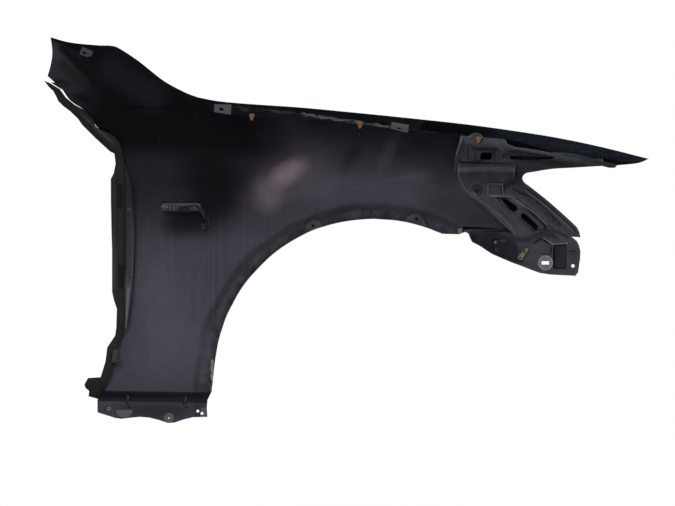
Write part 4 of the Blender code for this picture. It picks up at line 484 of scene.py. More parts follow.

# Inside primer: painted shade and painted highlights, and the uneven tones of dust and dirt
PRIMER_SPECULAR = 0.02
PRIMER_ROUGHNESS = (0.42, 0.62)
# Painted shade: tilted faces keep the dark colour and square ones get the lit one; dirt also uses the
# dark one
PRIMER_LIT_FACING = (0.55, 0.97)
PRIMER_SHADE_AND_DIRT = (0.004, 0.004, 0.0055)
PRIMER_LIT = (0.074, 0.072, 0.092)
PRIMER_STREAK = (0.085, 0.08, 0.098)
PRIMER_SOFT_TEAR = (9.0, 0.03)
PRIMER_TORN_TEAR = (160.0, 0.008)
DUST_PALE = (0.16, 0.16, 0.17)
PRIMER_STREAKS = (
    ((4.0, 2.6, (36, 1, 0.9)), 0.28, PRIMER_STREAK),
    ((4.3, 2.6, (30, 1, 0.7)), 0.19, PRIMER_SHADE_AND_DIRT),
)
PRIMER_SHADE_SHARES = (
    ("Above", ((0.026, 0.515), (0.474, 0.554)), (0.0665, 1.0, 0.6), 0.8, (0.008, 0.0078, 0.0095)),
    ("Above", ((0.366, 0.73), (0.748, 0.593)), (0.0615, 1.0, 0.6), 0.72, (0.004, 0.004, 0.005)),
    ("Above", ((0.026, 0.709), (0.408, 0.684)), (0.0179, 1.0, 0.6), 0.85, (0.003, 0.003, 0.004)),
    ("patch", ((0.272, 0.652), (0.0831, 0.0731)), (0.0, 0.85), 0.9, (0.005, 0.005, 0.0065)),
    ("patch", ((0.281, 0.572), (0.0631, 0.0731)), (-0.3, 0.85), 0.88, (0.0055, 0.0055, 0.007)),
    ("patch", ((0.232, 0.523), (0.0598, 0.0399)), (0.0, 0.8), 0.85, (0.0055, 0.0055, 0.007)),
    ("patch", ((0.549, 0.095), (0.3074, 0.3074)), (0.0, 0.03), 0.45, (0.01, 0.009, 0.016)),
    ("patch", ((0.183, 0.03), (0.0997, 0.0199)), (0.0, 0.7), 0.5, (0.012, 0.012, 0.014)),
    ("patch", ((0.591, 0.699), (0.0499, 0.0166)), (-0.25, 0.9), 0.4, (0.01, 0.01, 0.013)),
    ("patch", ((0.694, 0.549), (0.0931, 0.0366)), (-0.2, 0.8), 0.45, (0.012, 0.01, 0.015)),
    ("patch", ((0.512, 0.699), (0.0565, 0.0166)), (1.12, 0.9), 0.5, (0.009, 0.009, 0.011)),
    ("patch", ((0.634, 0.725), (0.0332, 0.0233)), (-0.2, 0.9), 0.5, (0.008, 0.008, 0.01)),
    ("patch", ((0.454, 0.787), (0.0499, 0.0133)), (-0.15, 0.9), 0.4, (0.006, 0.006, 0.008)),
    ("patch", ((0.739, 0.527), (0.07, 0.02)), (-0.1, 0.9), 0.4, (0.01, 0.009, 0.012)),
    ("patch", ((0.507, 0.549), (0.08, 0.013)), (0.0, 0.9), 0.35, (0.01, 0.009, 0.014)),
)
PRIMER_DIRT_SHARES = (
    ("patch", ((0.549, 0.095), (0.2958, 0.2958)), (0.0, 0.03), 0.8, (0.08, 0.078, 0.085)),
)
STREAK_CENTRE_SHARE = (0.258, 0.45)
STREAK_REACH_SHARES = (0.2493, 0.3157)
# Painted light: the highlight and its glow on the upper skin, lit zones lower down, and sheen on the
# right
PRIMER_PAINTED_LIGHT_SHARES = (
    ("patch", ((0.396, 0.626), (0.0997, 0.0598)), (0.65, 0.95), 0.55, (0.115, 0.096, 0.113)),
    ("patch", ((0.404, 0.652), (0.0532, 0.0266)), (0.58, 0.85), 0.9, (0.2, 0.155, 0.185)),
    ("patch", ((0.192, 0.307), (0.0914, 0.1246)), (0.0, 0.95), 0.35, (0.105, 0.104, 0.126)),
    ("patch", ((0.371, 0.598), (0.0399, 0.0432)), (0.3, 0.9), 0.7, (0.14, 0.113, 0.133)),
    ("patch", ((0.225, 0.191), (0.0997, 0.0914)), (0.0, 0.9), 0.4, (0.105, 0.102, 0.13)),
    ("patch", ((0.614, 0.637), (0.0399, 0.015)), (0.15, 0.9), 0.4, SHEEN_HIGHLIGHT),
    ("patch", ((0.566, 0.689), (0.0598, 0.0183)), (1.12, 0.9), 0.35, (0.07, 0.068, 0.082)),
    ("patch", ((0.474, 0.619), (0.0731, 0.0299)), (0.25, 0.9), 0.3, (0.09, 0.086, 0.105)),
    ("Band", ((0.496, 0.601), (0.625, 0.645)), (0.0058, 1.0, 0.5), 0.3, SHEEN_HIGHLIGHT),
)
# Painted shade along the arm, the creases, the rear strip, the sill roll and under the lower edge; one
# painted highlight line
PRIMER_LIGHT_AND_SHADE_LINE_SHARES = (
    ("Band", ((0.022, 0.943), (0.072, 0.875)), (0.0143, 0.9, 0.7), 0.8, (0.014, 0.013, 0.013)),
    ("Band", ((0.026, 0.979), (0.087, 0.881)), (0.01, 0.9, 0.9), 0.7, ARM_SHADOW),
    ("Band", ((0.079, 0.948), (0.212, 0.818)), (0.0399, 1.0, 0.5), 0.8, (0.0125, 0.0135, 0.0185)),
    ("patch", ((0.062, 0.844), (0.0299, 0.0116)), (-0.3, 0.9), 0.7, ARM_SHADOW),
    ("Band", ((0.092, 0.824), (0.237, 0.817)), (0.002, 0.8, 0.8), 0.6, (0.0012, 0.0012, 0.0016)),
    ("Band", ((0.124, 0.729), (0.341, 0.702)), (0.002, 0.8, 0.6), 0.25, (0.013, 0.013, 0.015)),
    ("Band", ((0.132, 0.694), (0.144, 0.611)), (0.002, 0.6, 0.95), 0.7, STRIP_SHADOW),
    ("Band", ((0.144, 0.611), (0.149, 0.497), (0.147, 0.385), (0.139, 0.274)),
     (0.002, 0.6, 0.97), 0.7, STRIP_SHADOW),
    ("Band", ((0.139, 0.274), (0.125, 0.214)), (0.002, 0.6, 0.95), 0.7, STRIP_SHADOW),
    ("Band", ((0.137, 0.684), (0.141, 0.346)), (0.0053, 0.8, 0.7), 0.5, (0.026, 0.0265, 0.032)),
    ("Band", ((0.139, 0.359), (0.133, 0.243)), (0.003, 0.8, 0.8), 0.8, (0.13, 0.135, 0.15)),
    ("Band", ((0.085, 0.071), (0.291, 0.065)), (0.0103, 0.3, 0.97), 0.85, (0.0085, 0.0095, 0.011)),
    ("Band", ((0.694, 0.508), (0.778, 0.5)), (0.0032, 0.5, 0.95), 0.95, (0.001, 0.001, 0.0014)),
)
# Painted shadow deep behind the stampings and the window, and painted light that lifts the shaded fold
# under the spear
PRIMER_HIDDEN_SHADE_AND_LIGHT_SHARES = (
    ("Band", ((0.787, 0.551), (0.825, 0.498)), (0.0116, 0.5, 0.9), 0.92, SHADOW),
    ("patch", ((0.775, 0.564), (0.0233, 0.0199)), (-0.6, 0.5), 0.92, SHADOW),
    ("box", ((0.733, 0.694), (0.0199, 0.0166)), (0.0, 0.0033), 0.9, SHADOW),
    ("Band", ((0.923, 0.684), (0.999, 0.689)), (0.0116, 0.7, 0.97), 0.95, (0.055, 0.065, 0.088)),
)
PRIMER_TORN_SHARES = (
    ("Band", ((0.278, 0.165), (0.278, 0.108)), (0.0028, 0.5, 0.9), 0.85, (0.32, 0.32, 0.33)),
    ("Band", ((0.279, 0.105), (0.275, 0.084)), (0.0017, 0.5, 0.9), 0.6, (0.18, 0.18, 0.19)),
    ("box", ((0.263, 0.029), (0.0053, 0.0076)), (0.0, 0.0017), 0.45, (0.13, 0.13, 0.14)),
)

# Hood gap wall and folds
GAP_SPECULAR = 0.03
GAP_ROUGHNESS = (0.25, 0.5)
GAP_COLOUR = (0.0008, 0.0012, 0.0021)
GAP_SCRATCH = (0.06, 0.065, 0.075)
GAP_TEAR = (60.0, 0.008)
GAP_SCUFF_SHARE = (0.923, 0.696)
GAP_SCUFF_REACH_SHARES = (0.1828, 0.0665)
GAP_SHADE_SHARES = (
    ("box", ((0.923, 0.684), (0.2127, 0.0997)), (0.0, 0.0565), 0.85, (0.0072, 0.0102, 0.016)),
    ("Band", ((0.049, 0.943), (0.112, 0.86)), (0.0166, 0.9, 0.9), 0.7, (0.004, 0.0046, 0.006)),
)
GAP_DUST_SHARES = (
    ("Band", ((0.305, 0.82), (0.433, 0.803)), (0.0037, 0.7, 0.9), 0.9, GAP_DUST),
    ("Band", ((0.424, 0.804), (0.577, 0.768)), (0.004, 0.7, 0.9), 0.95, (0.12, 0.115, 0.125)),
    ("Band", ((0.599, 0.763), (0.707, 0.741)), (0.0037, 0.7, 0.9), 0.6, GAP_DUST),
    ("Band", ((0.757, 0.741), (0.989, 0.684)), (0.0133, 0.9, 0.9), 0.45, (0.02, 0.025, 0.033)),
    ("Band", ((0.765, 0.717), (0.923, 0.684)), (0.005, 0.9, 0.9), 0.5, (0.024, 0.028, 0.035)),
)
GAP_TAB_SHARES = (
    ("box", ((0.296, 0.815), (0.0146, 0.009)), (-0.03, 0.0013), 0.95, (0.078, 0.077, 0.096)),
    ("box", ((0.59, 0.768), (0.0153, 0.0073)), (-0.15, 0.0013), 0.95, (0.082, 0.08, 0.096)),
    ("box", ((0.071, 0.96), (0.0106, 0.0073)), (-0.4, 0.0017), 0.9, (0.048, 0.048, 0.058)),
)

# Body colour outside
BODY_COLOUR = (0.0022, 0.0032, 0.007)
BODY_FLAKE = (0.02, 0.026, 0.045)
BODY_ROUGHNESS = (0.12, 0.24)
BODY_COAT = 0.35
BODY_COAT_ROUGHNESS = 0.06

# Dip coat of the front stampings, with painted shade and painted highlights
STAMPING_SPECULAR = 0.06
STAMPING_ROUGHNESS = (0.38, 0.6)
# Pointed edges go pale as rubbed wear and painted highlight; hollows and tilted faces get painted shade
STAMPING_WORN_LIT_EDGES = (0.53, 0.62)
STAMPING_HOLLOW_SHADE = (0.47, 0.4)
STAMPING_LIT_FACING = (0.6, 0.97)
STAMPING_TEAR = (60.0, 0.006)
STAMPING_LIT = (0.05, 0.049, 0.062)
STAMPING_SHADE = (0.006, 0.006, 0.009)
STAMPING_DUST = (0.075, 0.073, 0.086)
STAMPING_PALE = (0.13, 0.13, 0.14)
STAMPING_SHADE_SHARES = (
    ("box", ((0.742, 0.642), (0.0432, 0.0166)), (-0.02, 0.0133), 0.6, (0.011, 0.011, 0.016)),
    ("patch", ((0.747, 0.453), (0.0598, 0.0332)), (-0.42, 0.3), 0.9, (0.007, 0.0062, 0.012)),
    ("patch", ((0.719, 0.748), (0.015, 0.0083)), (0.0, 0.5), 0.45, (0.012, 0.013, 0.017)),
    ("Band", ((0.707, 0.506), (0.778, 0.497)), (0.0037, 0.8, 0.95), 0.85, SHADOW),
    ("patch", ((0.75, 0.471), (0.0083, 0.0083)), (0.0, 0.5), 0.8, FOLD_AND_HOLE_SHADE),
    ("box", ((0.856, 0.432), (0.011, 0.0209)), (0.0, 0.0025), 0.85, GROOVE_SHADE),
    ("Band", ((0.81, 0.488), (0.842, 0.503), (0.871, 0.483)), (0.0043, 0.8, 0.95), 0.75, GROOVE_SHADE),
    ("Band", ((0.775, 0.61), (0.814, 0.58), (0.858, 0.511)), (0.0047, 0.8, 0.9), 0.85, GROOVE_SHADE),
    ("Band", ((0.69, 0.674), (0.782, 0.667)), (0.0017, 0.8, 0.95), 0.7, (0.004, 0.004, 0.006)),
)
# Painted highlights on rims, ridges, edges and folds of the stampings, and painted shade lines along a
# fold and a groove
STAMPING_LIGHT_AND_SHADE_LINE_SHARES = (
    ("Band", ((0.742, 0.59), (0.775, 0.588)), (0.002, 0.8, 0.9), 0.6, RIDGE_HIGHLIGHT),
    ("Band", ((0.775, 0.588), (0.817, 0.543)), (0.002, 0.8, 0.95), 0.6, RIDGE_HIGHLIGHT),
    ("Band", ((0.817, 0.543), (0.836, 0.513)), (0.002, 0.8, 0.9), 0.6, RIDGE_HIGHLIGHT),
    ("Band", ((0.827, 0.483), (0.846, 0.464), (0.869, 0.468)),
     (0.0017, 0.8, 0.95), 0.7, (0.17, 0.17, 0.185)),
    ("Band", ((0.738, 0.622), (0.761, 0.621)), (0.001, 0.6, 0.95), 0.6, RIM_HIGHLIGHT),
    ("Band", ((0.761, 0.62), (0.762, 0.591)), (0.001, 0.6, 0.95), 0.6, RIM_HIGHLIGHT),
    ("Band", ((0.738, 0.591), (0.761, 0.59)), (0.001, 0.6, 0.95), 0.6, RIM_HIGHLIGHT),
    ("Band", ((0.737, 0.621), (0.737, 0.591)), (0.001, 0.6, 0.95), 0.6, RIM_HIGHLIGHT),
    ("Band", ((0.71, 0.602), (0.718, 0.591)), (0.0013, 0.7, 0.9), 0.6, RIM_HIGHLIGHT),
    ("Band", ((0.756, 0.555), (0.783, 0.518)), (0.001, 0.6, 0.95), 0.4, (0.12, 0.12, 0.135)),
    ("Band", ((0.75, 0.548), (0.778, 0.508)), (0.001, 0.6, 0.95), 0.4, (0.12, 0.12, 0.135)),
    ("Band", ((0.798, 0.605), (0.832, 0.564), (0.869, 0.512)), (0.0015, 0.8, 0.97), 0.55, FOLD_HIGHLIGHT),
    ("Band", ((0.869, 0.512), (0.879, 0.494)), (0.0015, 0.8, 0.95), 0.55, FOLD_HIGHLIGHT),
    ("Band", ((0.801, 0.61), (0.835, 0.569), (0.871, 0.517)), (0.0012, 0.6, 0.97), 0.8, FOLD_AND_HOLE_SHADE),
    ("Band", ((0.871, 0.517), (0.882, 0.499)), (0.0012, 0.6, 0.95), 0.8, FOLD_AND_HOLE_SHADE),
    ("Band", ((0.693, 0.743), (0.684, 0.696)), (0.0012, 0.7, 0.95), 0.55, (0.13, 0.128, 0.145)),
    ("Band", ((0.697, 0.741), (0.689, 0.694)), (0.0012, 0.7, 0.95), 0.7, GROOVE_SHADE),
    ("Band", ((0.688, 0.671), (0.688, 0.639), (0.699, 0.607), (0.728, 0.574),
     (0.762, 0.535)), (0.0012, 0.7, 0.97), 0.45, EDGE_HIGHLIGHT),
    ("Band", ((0.762, 0.535), (0.783, 0.492)), (0.0012, 0.7, 0.95), 0.45, EDGE_HIGHLIGHT),
    ("Band", ((0.864, 0.46), (0.864, 0.403)), (0.001, 0.6, 0.95), 0.5, (0.05, 0.05, 0.06)),
)

# Marks on the side bracket: the shadow under the skin's edge, dirt, its dimple and its pad
SIDE_MARK_SHARES = (
    ("patch", ((0.757, 0.456), (0.065, 0.048)), (-0.42, 0.7), 0.5, (0.0045, 0.004, 0.0085)),
    ("patch", ((0.75, 0.471), (0.0075, 0.0065)), (0.0, 0.6), 0.85, SHADOW),
    ("patch", ((0.713, 0.483), (0.004, 0.006)), (0.5, 0.5), 0.7, (0.003, 0.003, 0.004)),
    ("patch", ((0.762, 0.474), (0.012, 0.003)), (0.1, 0.9), 0.3, (0.08, 0.079, 0.09)),
    ("Band", ((0.69, 0.509), (0.815, 0.495)), (0.0032, 0.5, 0.95), 0.95, (0.001, 0.001, 0.0014)),
)

# Marks on the spring nut: its pale foot, its dark head and a painted highlight line on the head
NUT_MARK_SHARES = (
    ("patch", ((0.789, 0.427), (0.006, 0.006)), (0.0, 0.3), 0.9, (0.24, 0.24, 0.25)),
    ("patch", ((0.789, 0.426), (0.0027, 0.0027)), (0.0, 0.5), 0.95, (0.005, 0.005, 0.006)),
    ("Above", ((0.784, 0.457), (0.809, 0.428)), (0.0012, 1.0, 0.9), 0.92, (0.012, 0.012, 0.015)),
    ("Band", ((0.799, 0.443), (0.806, 0.458)), (0.0012, 0.7, 0.9), 0.8, (0.2, 0.2, 0.21)),
)

# Seal rubber: its bloom lit where it faces inboard, painted shade in its slots and folds, painted
# highlights on its ridge
RUBBER_LIT_FACING = (0.5, 0.98)
RUBBER_DARK = (0.008, 0.0075, 0.0078)
RUBBER_BLOOM = (0.021, 0.02, 0.0212)
RUBBER_PALE = (0.07, 0.068, 0.066)
RUBBER_MARK_SHARES = (
    ("Band", ((0.056, 0.808), (0.115, 0.725)), (0.003, 0.8, 0.8), 0.6, (0.06, 0.058, 0.058)),
    ("box", ((0.124, 0.591), (0.0047, 0.0199)), (0.0, 0.001), 0.95, RUBBER_SHADOW),
    ("box", ((0.126, 0.381), (0.0047, 0.0199)), (0.0, 0.001), 0.95, RUBBER_SHADOW),
    ("Band", ((0.12, 0.709), (0.119, 0.32)), (0.0013, 0.7, 0.9), 0.55, RUBBER_FOLD_SHADE),
    ("Band", ((0.114, 0.658), (0.114, 0.359)), (0.0012, 0.7, 0.9), 0.4, (0.05, 0.049, 0.05)),
    ("Band", ((0.131, 0.709), (0.132, 0.23)), (0.0017, 0.7, 0.95), 0.7, RUBBER_SHADOW),
    ("Band", ((0.026, 0.857), (0.089, 0.754)), (0.0013, 0.7, 0.9), 0.5, RUBBER_FOLD_SHADE),
    ("Band", ((0.097, 0.185), (0.089, 0.092)), (0.0013, 0.7, 0.9), 0.5, RUBBER_FOLD_SHADE),
    ("Band", ((0.069, 0.097), (0.099, 0.087)), (0.0013, 0.7, 0.9), 0.5, RUBBER_FOLD_SHADE),
    ("box", ((0.114, 0.171), (0.0075, 0.01)), (0.2, 0.0017), 0.6, RUBBER_FOLD_SHADE),
    ("patch", ((0.114, 0.403), (0.0083, 0.0831)), (0.0, 0.9), 0.6, (0.048, 0.046, 0.049)),
    ("patch", ((0.082, 0.087), (0.0282, 0.0216)), (0.3, 0.4), 0.6, (0.007, 0.0068, 0.0078)),
)

# Plastics: how they wear, then for each its base, shade and pale colour, its roughness, its
# specular level, how far it is worn, and its marks
PLASTIC_EDGES = (0.51, 0.62)
PLASTIC_SMOOTHER = 0.08
PLASTIC_ROUGHER = 0.12
PLASTICS = {
    "dark clip": ((0.012, 0.012, 0.014), (0.005, 0.005, 0.006), (0.06, 0.06, 0.065), 0.55, 0.3),
    "orange clip": ((0.16, 0.072, 0.032), (0.065, 0.028, 0.013), (0.24, 0.16, 0.11), 0.6, 0.1),
    "yellow clip": ((0.2, 0.15, 0.03), (0.07, 0.05, 0.015), (0.34, 0.3, 0.14), 0.5, 0.2, 0.5,
                    NUT_MARK_SHARES),
    "white grommet": ((0.15, 0.15, 0.158), (0.03, 0.03, 0.034), (0.36, 0.36, 0.37), 0.5, 0.1),
    "beige clip": ((0.13, 0.105, 0.08), (0.05, 0.04, 0.03), (0.26, 0.22, 0.18), 0.6, 0.2),
    "film": ((0.016, 0.017, 0.021), (0.006, 0.006, 0.008), (0.1, 0.1, 0.11), 0.4, 0.08, 0.2),
    "lamp housing": ((0.076, 0.075, 0.082), (0.014, 0.014, 0.016), (0.12, 0.12, 0.13), 0.5, 0.06),
    "lamp socket": ((0.014, 0.014, 0.017), (0.006, 0.006, 0.007), (0.07, 0.07, 0.08), 0.5, 0.06,
                    0.35),
    "lamp lever": ((0.017, 0.018, 0.021), (0.007, 0.007, 0.008), (0.09, 0.09, 0.1), 0.5, 0.06,
                   0.35),
    "lamp rib": ((0.085, 0.084, 0.092), (0.02, 0.02, 0.023), (0.22, 0.22, 0.23), 0.5, 0.08),
    "bare pad": ((0.105, 0.105, 0.115), (0.045, 0.045, 0.052), (0.2, 0.2, 0.21), 0.55, 0.08),
    "lamp lens": ((0.6, 0.25, 0.05), (0.45, 0.16, 0.02), (0.7, 0.4, 0.15), 0.12),
}

# Relief of the finishes and the make-up of scratches and torn edges
FINE_GRAIN_HEIGHT = 0.0002
GRAIN_HEIGHT = 0.0004
MOTTLE_HEIGHT = 0.0006
TEAR_DETAIL = 4.0
SCRATCH_BEND = (6.0, 2.0)
SCRATCH_GAPS = (25.0, 3.0)
SCRATCH_GAP_EDGE = (0.52, 0.66)
VECTOR_SOCKETS = ("Position", "Centre", "Reach", "Stretch")

# Studio: floor, lamps and camera
FLOOR_COLOUR = (0.8, 0.8, 0.8)
FLOOR_TINT = (0.76, 0.76, 0.765)
FLOOR_FADE_START = 0.7
FLOOR_FADE_END = 1.3
FLOOR_RADIUS = 4.0
FLOOR_SIDES = 96
FLOOR_LEVEL = -0.8
WORLD_FILL = 0.3
LAMPS = (
    ("key", (-1.3, -2.6, 1.9), (-0.2, 0, -0.2), (1.8, 1.4), 62),
    ("fill", (1.8, -2.4, 0.4), (0.2, 0, -0.2), (1.6, 1.6), 16),
    ("back", (0.3, 2.8, 2.0), (-0.1, 0, -0.1), (2.2, 1.6), 60),
)
SENSOR_WIDTH = 36
CAMERA_DISTANCE = 28.0
VIEW_WIDTH = 1.3841
VIEW_CENTRE = (-0.1127, -0.2589)
VIEW_PLANE = 0.02


# Points, lines and loops in the side view


def spot(share):
    """A point of the side view from its shares of the panel's length and height."""
    return Vector((share[0] * LENGTH, share[1] * HEIGHT))


def spots(shares):
    return [spot(share) for share in shares]


def straight_line(points, step):
    """The points of a polyline with more points added so that no piece is longer than step."""
    line = []
    for start, end in zip(points, points[1:]):
        count = max(1, math.ceil((end - start).length / step))
        line += [start.lerp(end, i / count) for i in range(count)]
    return line + [points[-1]]


def smooth_line(points, step):
    """A Catmull-Rom curve through the points, cut into pieces no longer than step."""
    padded = [2 * points[0] - points[1]] + list(points) + [2 * points[-1] - points[-2]]
    line = []
    for i in range(1, len(padded) - 2):
        before, start, end, after = padded[i - 1:i + 3]
        count = max(1, math.ceil((end - start).length / step))
        for j in range(count):
            t = j / count
            line.append(0.5 * (2 * start + t * (end - before)
                               + t * t * (2 * before - 5 * start + 4 * end - after)
                               + t ** 3 * (3 * start - before - 3 * end + after)))
    return line + [points[-1].copy()]


def curve(shares, step=CHAIN_STEP):
    return smooth_line(spots(shares), step)


def ring(loop):
    """A loop as a line that ends where it starts."""
    return loop + loop[:1]


def closed(line, points, step):
    """The closed loop that straight_line or smooth_line draws through the points."""
    return line(ring(points), step)[:-1]


def side_spot(vertex):
    """A mesh vertex in the side view."""
    return Vector((vertex.co.x, vertex.co.z))


def rounded_loop(corners, radius, cuts=3):
    """A closed polygon whose corners are rounded over about the given radius."""
    loop = []
    for i, corner in enumerate(corners):
        before = corners[i - 1] - corner
        after = corners[(i + 1) % len(corners)] - corner
        start = corner + before * min(0.5, radius / before.length)
        end = corner + after * min(0.5, radius / after.length)
        for j in range(cuts + 1):
            t = j / cuts
            loop.append(start.lerp(corner, t).lerp(corner.lerp(end, t), t))
    return loop


def box_corners(centre, length, height):
    half = Vector((length / 2, height / 2))
    turn = Vector((half.x, -half.y))
    return [centre - half, centre + turn, centre + half, centre - turn]


def box_loop(centre, length, height, corner):
    return rounded_loop(box_corners(centre, length, height), corner)


def round_loop(centre, radius, count=12):
    angles = [math.tau * i / count for i in range(count)]
    return [centre + radius * Vector((math.cos(a), math.sin(a))) for a in angles]


def slot_loop(start, end, radius, cuts=5):
    """A slot with round ends around the two given centres."""
    along = (end - start).normalized()
    turn = math.atan2(along.y, along.x)
    loop = []
    for centre, first in ((end, turn - math.pi / 2), (start, turn + math.pi / 2)):
        for j in range(cuts + 1):
            angle = first + math.pi * j / cuts
            loop.append(centre + radius * Vector((math.cos(angle), math.sin(angle))))
    return loop


def oval_loop(centre, length, width, tilt, count=12):
    loop = []
    for i in range(count):
        angle = math.tau * i / count
        across = Vector((math.cos(angle) * length / 2, math.sin(angle) * width / 2))
        loop.append(centre + Vector((across.x * math.cos(tilt) - across.y * math.sin(tilt),
                                     across.x * math.sin(tilt) + across.y * math.cos(tilt))))
    return loop


def read_table(table, place):
    """Linear reading of a table of (place, value) pairs."""
    return float(np.interp(place, [row[0] for row in table], [row[1] for row in table]))


def smooth(value):
    """A soft step from 0 to 1."""
    t = min(1.0, max(0.0, value))
    return t * t * (3 - 2 * t)


def line_distance(point, line):
    """Distance from a point to a polyline."""
    nearest = math.inf
    for a, b in zip(line, line[1:]):
        edge = b - a
        t = min(1.0, max(0.0, (point - a).dot(edge) / edge.length_squared))
        nearest = min(nearest, (point - a - t * edge).length)
    return nearest


def inset_of(point, loop):
    """How far inside a closed loop a point lies; negative outside it."""
    rim = ring(loop)
    inside = False
    for a, b in zip(rim, rim[1:]):
        if (a.y > point.y) != (b.y > point.y):
            if point.x < a.x + (point.y - a.y) / (b.y - a.y) * (b.x - a.x):
                inside = not inside
    nearest = line_distance(point, rim)
    return nearest if inside else -nearest


def rise_inside(x, z, loop, width):
    """A soft step from 0 at the rim of a loop to 1 at the given width inside it."""
    return smooth(inset_of(Vector((x, z)), loop) / width)


def inner_loop(loop, distance):
    """The loop moved inwards by about the given distance."""
    centre = sum(loop, Vector((0, 0))) / len(loop)
    moved = []
    for i, point in enumerate(loop):
        along = loop[(i + 1) % len(loop)] - loop[i - 1]
        normal = Vector((-along.y, along.x)).normalized()
        if normal.dot(centre - point) < 0:
            normal = -normal
        moved.append(point + normal * distance)
    return moved


def are_inside(points, loop):
    """For an array of points, whether each lies inside the closed loop."""
    inside = np.zeros(len(points), bool)
    x = points[:, 0]
    y = points[:, 1]
    for a, b in zip(loop, ring(loop)[1:]):
        if a.y != b.y:
            crosses = (a.y > y) != (b.y > y)
            inside ^= crosses & (x < a.x + (y - a.y) / (b.y - a.y) * (b.x - a.x))
    return inside


def rim_distance(points, loop):
    """For an array of points, the distance of each from the closed loop."""
    nearest = np.full(len(points), np.inf)
    for a, b in zip(loop, ring(loop)[1:]):
        edge = np.array(b - a)
        arm = points - np.array(a)
        share = np.clip(arm @ edge / (edge @ edge), 0, 1)
        nearest = np.minimum(nearest, np.linalg.norm(arm - share[:, None] * edge, axis=1))
    return nearest


# Sheets: an outline filled with triangles and lifted to its place


def grid_between(outline, holes, fixed, step):
    """Points of a triangular grid inside the outline, clear of the holes and the fixed points."""
    low = [min(p[i] for p in outline) for i in range(2)]
    high = [max(p[i] for p in outline) for i in range(2)]
    rise = step * math.sqrt(3) / 2
    rows = []
    for j in range(1, math.ceil((high[1] - low[1]) / rise)):
        shift = step / 2 * (j % 2)
        for i in range(math.ceil((high[0] - low[0]) / step)):
            rows.append((low[0] + shift + i * step, low[1] + j * rise))
    if not rows:
        return []
    grid = np.array(rows)
    keep = are_inside(grid, outline) & (rim_distance(grid, outline) > RIM_CLEAR_SHARE * step)
    for hole in holes:
        keep &= ~are_inside(grid, hole)
    tree = kdtree.KDTree(len(fixed))
    for i, point in enumerate(fixed):
        tree.insert((point.x, point.y, 0), i)
    tree.balance()
    clear = POINT_CLEAR_SHARE * step
    return [Vector(p) for p in grid[keep] if tree.find((p[0], p[1], 0))[2] > clear]


def add_patch(bm, outline, place, step, holes=(), lines=()):
    """Fills the outline in the side view and lifts every point with place(x, z)."""
    points = []
    edges = []
    for loop in [outline] + list(holes):
        start = len(points)
        points += loop
        edges += [(start + i, start + (i + 1) % len(loop)) for i in range(len(loop))]
    for line in lines:
        start = len(points)
        points += line
        edges += [(start + i, start + i + 1) for i in range(len(line) - 1)]
    points += grid_between(outline, holes, points, step)
    flat, _, faces, origins, _, _ = delaunay_2d_cdt(points, edges, [], 1, MERGE_DISTANCE)
    centres = np.array([sum((flat[i] for i in face), Vector((0, 0))) / 3 for face in faces])
    keep = np.ones(len(faces), bool)
    for hole in holes:
        keep &= ~are_inside(centres, hole)
    made = {}
    for face, kept in zip(faces, keep):
        if kept:
            for i in face:
                if i not in made:
                    made[i] = bm.verts.new(place(flat[i].x, flat[i].y))
            bm.faces.new([made[i] for i in face])
    found = {}
    for i, sources in enumerate(origins):
        for source in sources:
            found[source] = made.get(i)
    return [found.get(i) for i in range(len(outline))]


def fold_row(bm, row, places):
    """Adds a strip from a row of vertices to new vertices at the given places."""
    folded = [bm.verts.new(place) for place in places]
    for i in range(len(row) - 1):
        bm.faces.new((row[i], row[i + 1], folded[i + 1], folded[i]))
    return folded


def new_object(name, data):
    made = bpy.data.objects.new(name, data)
    bpy.context.scene.collection.objects.link(made)
    return made


def add_piece(name, bm, materials, smooth_angle=SMOOTH_ANGLE):
    """Makes one piece from the mesh and lets it ride on the frame."""
    mesh = bpy.data.meshes.new(name)
    bm.to_mesh(mesh)
    bm.free()
    for material in materials:
        mesh.materials.append(material)
    mesh.shade_smooth()
    mesh.set_sharp_from_angle(angle=smooth_angle)
    piece = new_object(name, mesh)
    piece.location = -panel_origin()
    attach(piece, "root")
    return piece


def add_object(name, bm, materials, smooth_angle=SMOOTH_ANGLE):
    """Makes the piece that is shown in place of a CAD node."""
    piece = add_piece(name + "_piece", bm, materials, smooth_angle)
    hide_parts(name)
    return piece


def add_sheet(name, bm, materials, thickness):
    """Turns a folded surface into sheet metal: painted outside, primed inside, folds rounded."""
    bmesh.ops.remove_doubles(bm, verts=bm.verts, dist=MERGE_DISTANCE)
    bmesh.ops.recalc_face_normals(bm, faces=bm.faces)
    bm.faces.ensure_lookup_table()
    if max(bm.faces, key=lambda face: face.calc_area()).normal.y < 0:
        bmesh.ops.reverse_faces(bm, faces=bm.faces)
    sheet = add_object(name, bm, materials, SHEET_SMOOTH_ANGLE)
    bend = sheet.modifiers.new("bend radius", "BEVEL")
    bend.width = BEND_RADIUS
    bend.segments = BEND_SEGMENTS
    bend.limit_method = "ANGLE"
    bend.angle_limit = BEND_ANGLE
    solidify = sheet.modifiers.new("thickness", "SOLIDIFY")
    solidify.thickness = thickness
    solidify.offset = -1
    solidify.use_even_offset = True
    solidify.use_quality_normals = True
    solidify.material_offset = 1
    solidify.material_offset_rim = 1


def add_slab(name, outline, inner, outer, material, step, holes=(), lines=()):
    """A closed solid between two height maps, inner(x, z) inboard and outer(x, z) outboard."""
    bm = bmesh.new()
    fill_slab(bm, outline, inner, outer, step, holes, lines)
    add_object(name, bm, [material])


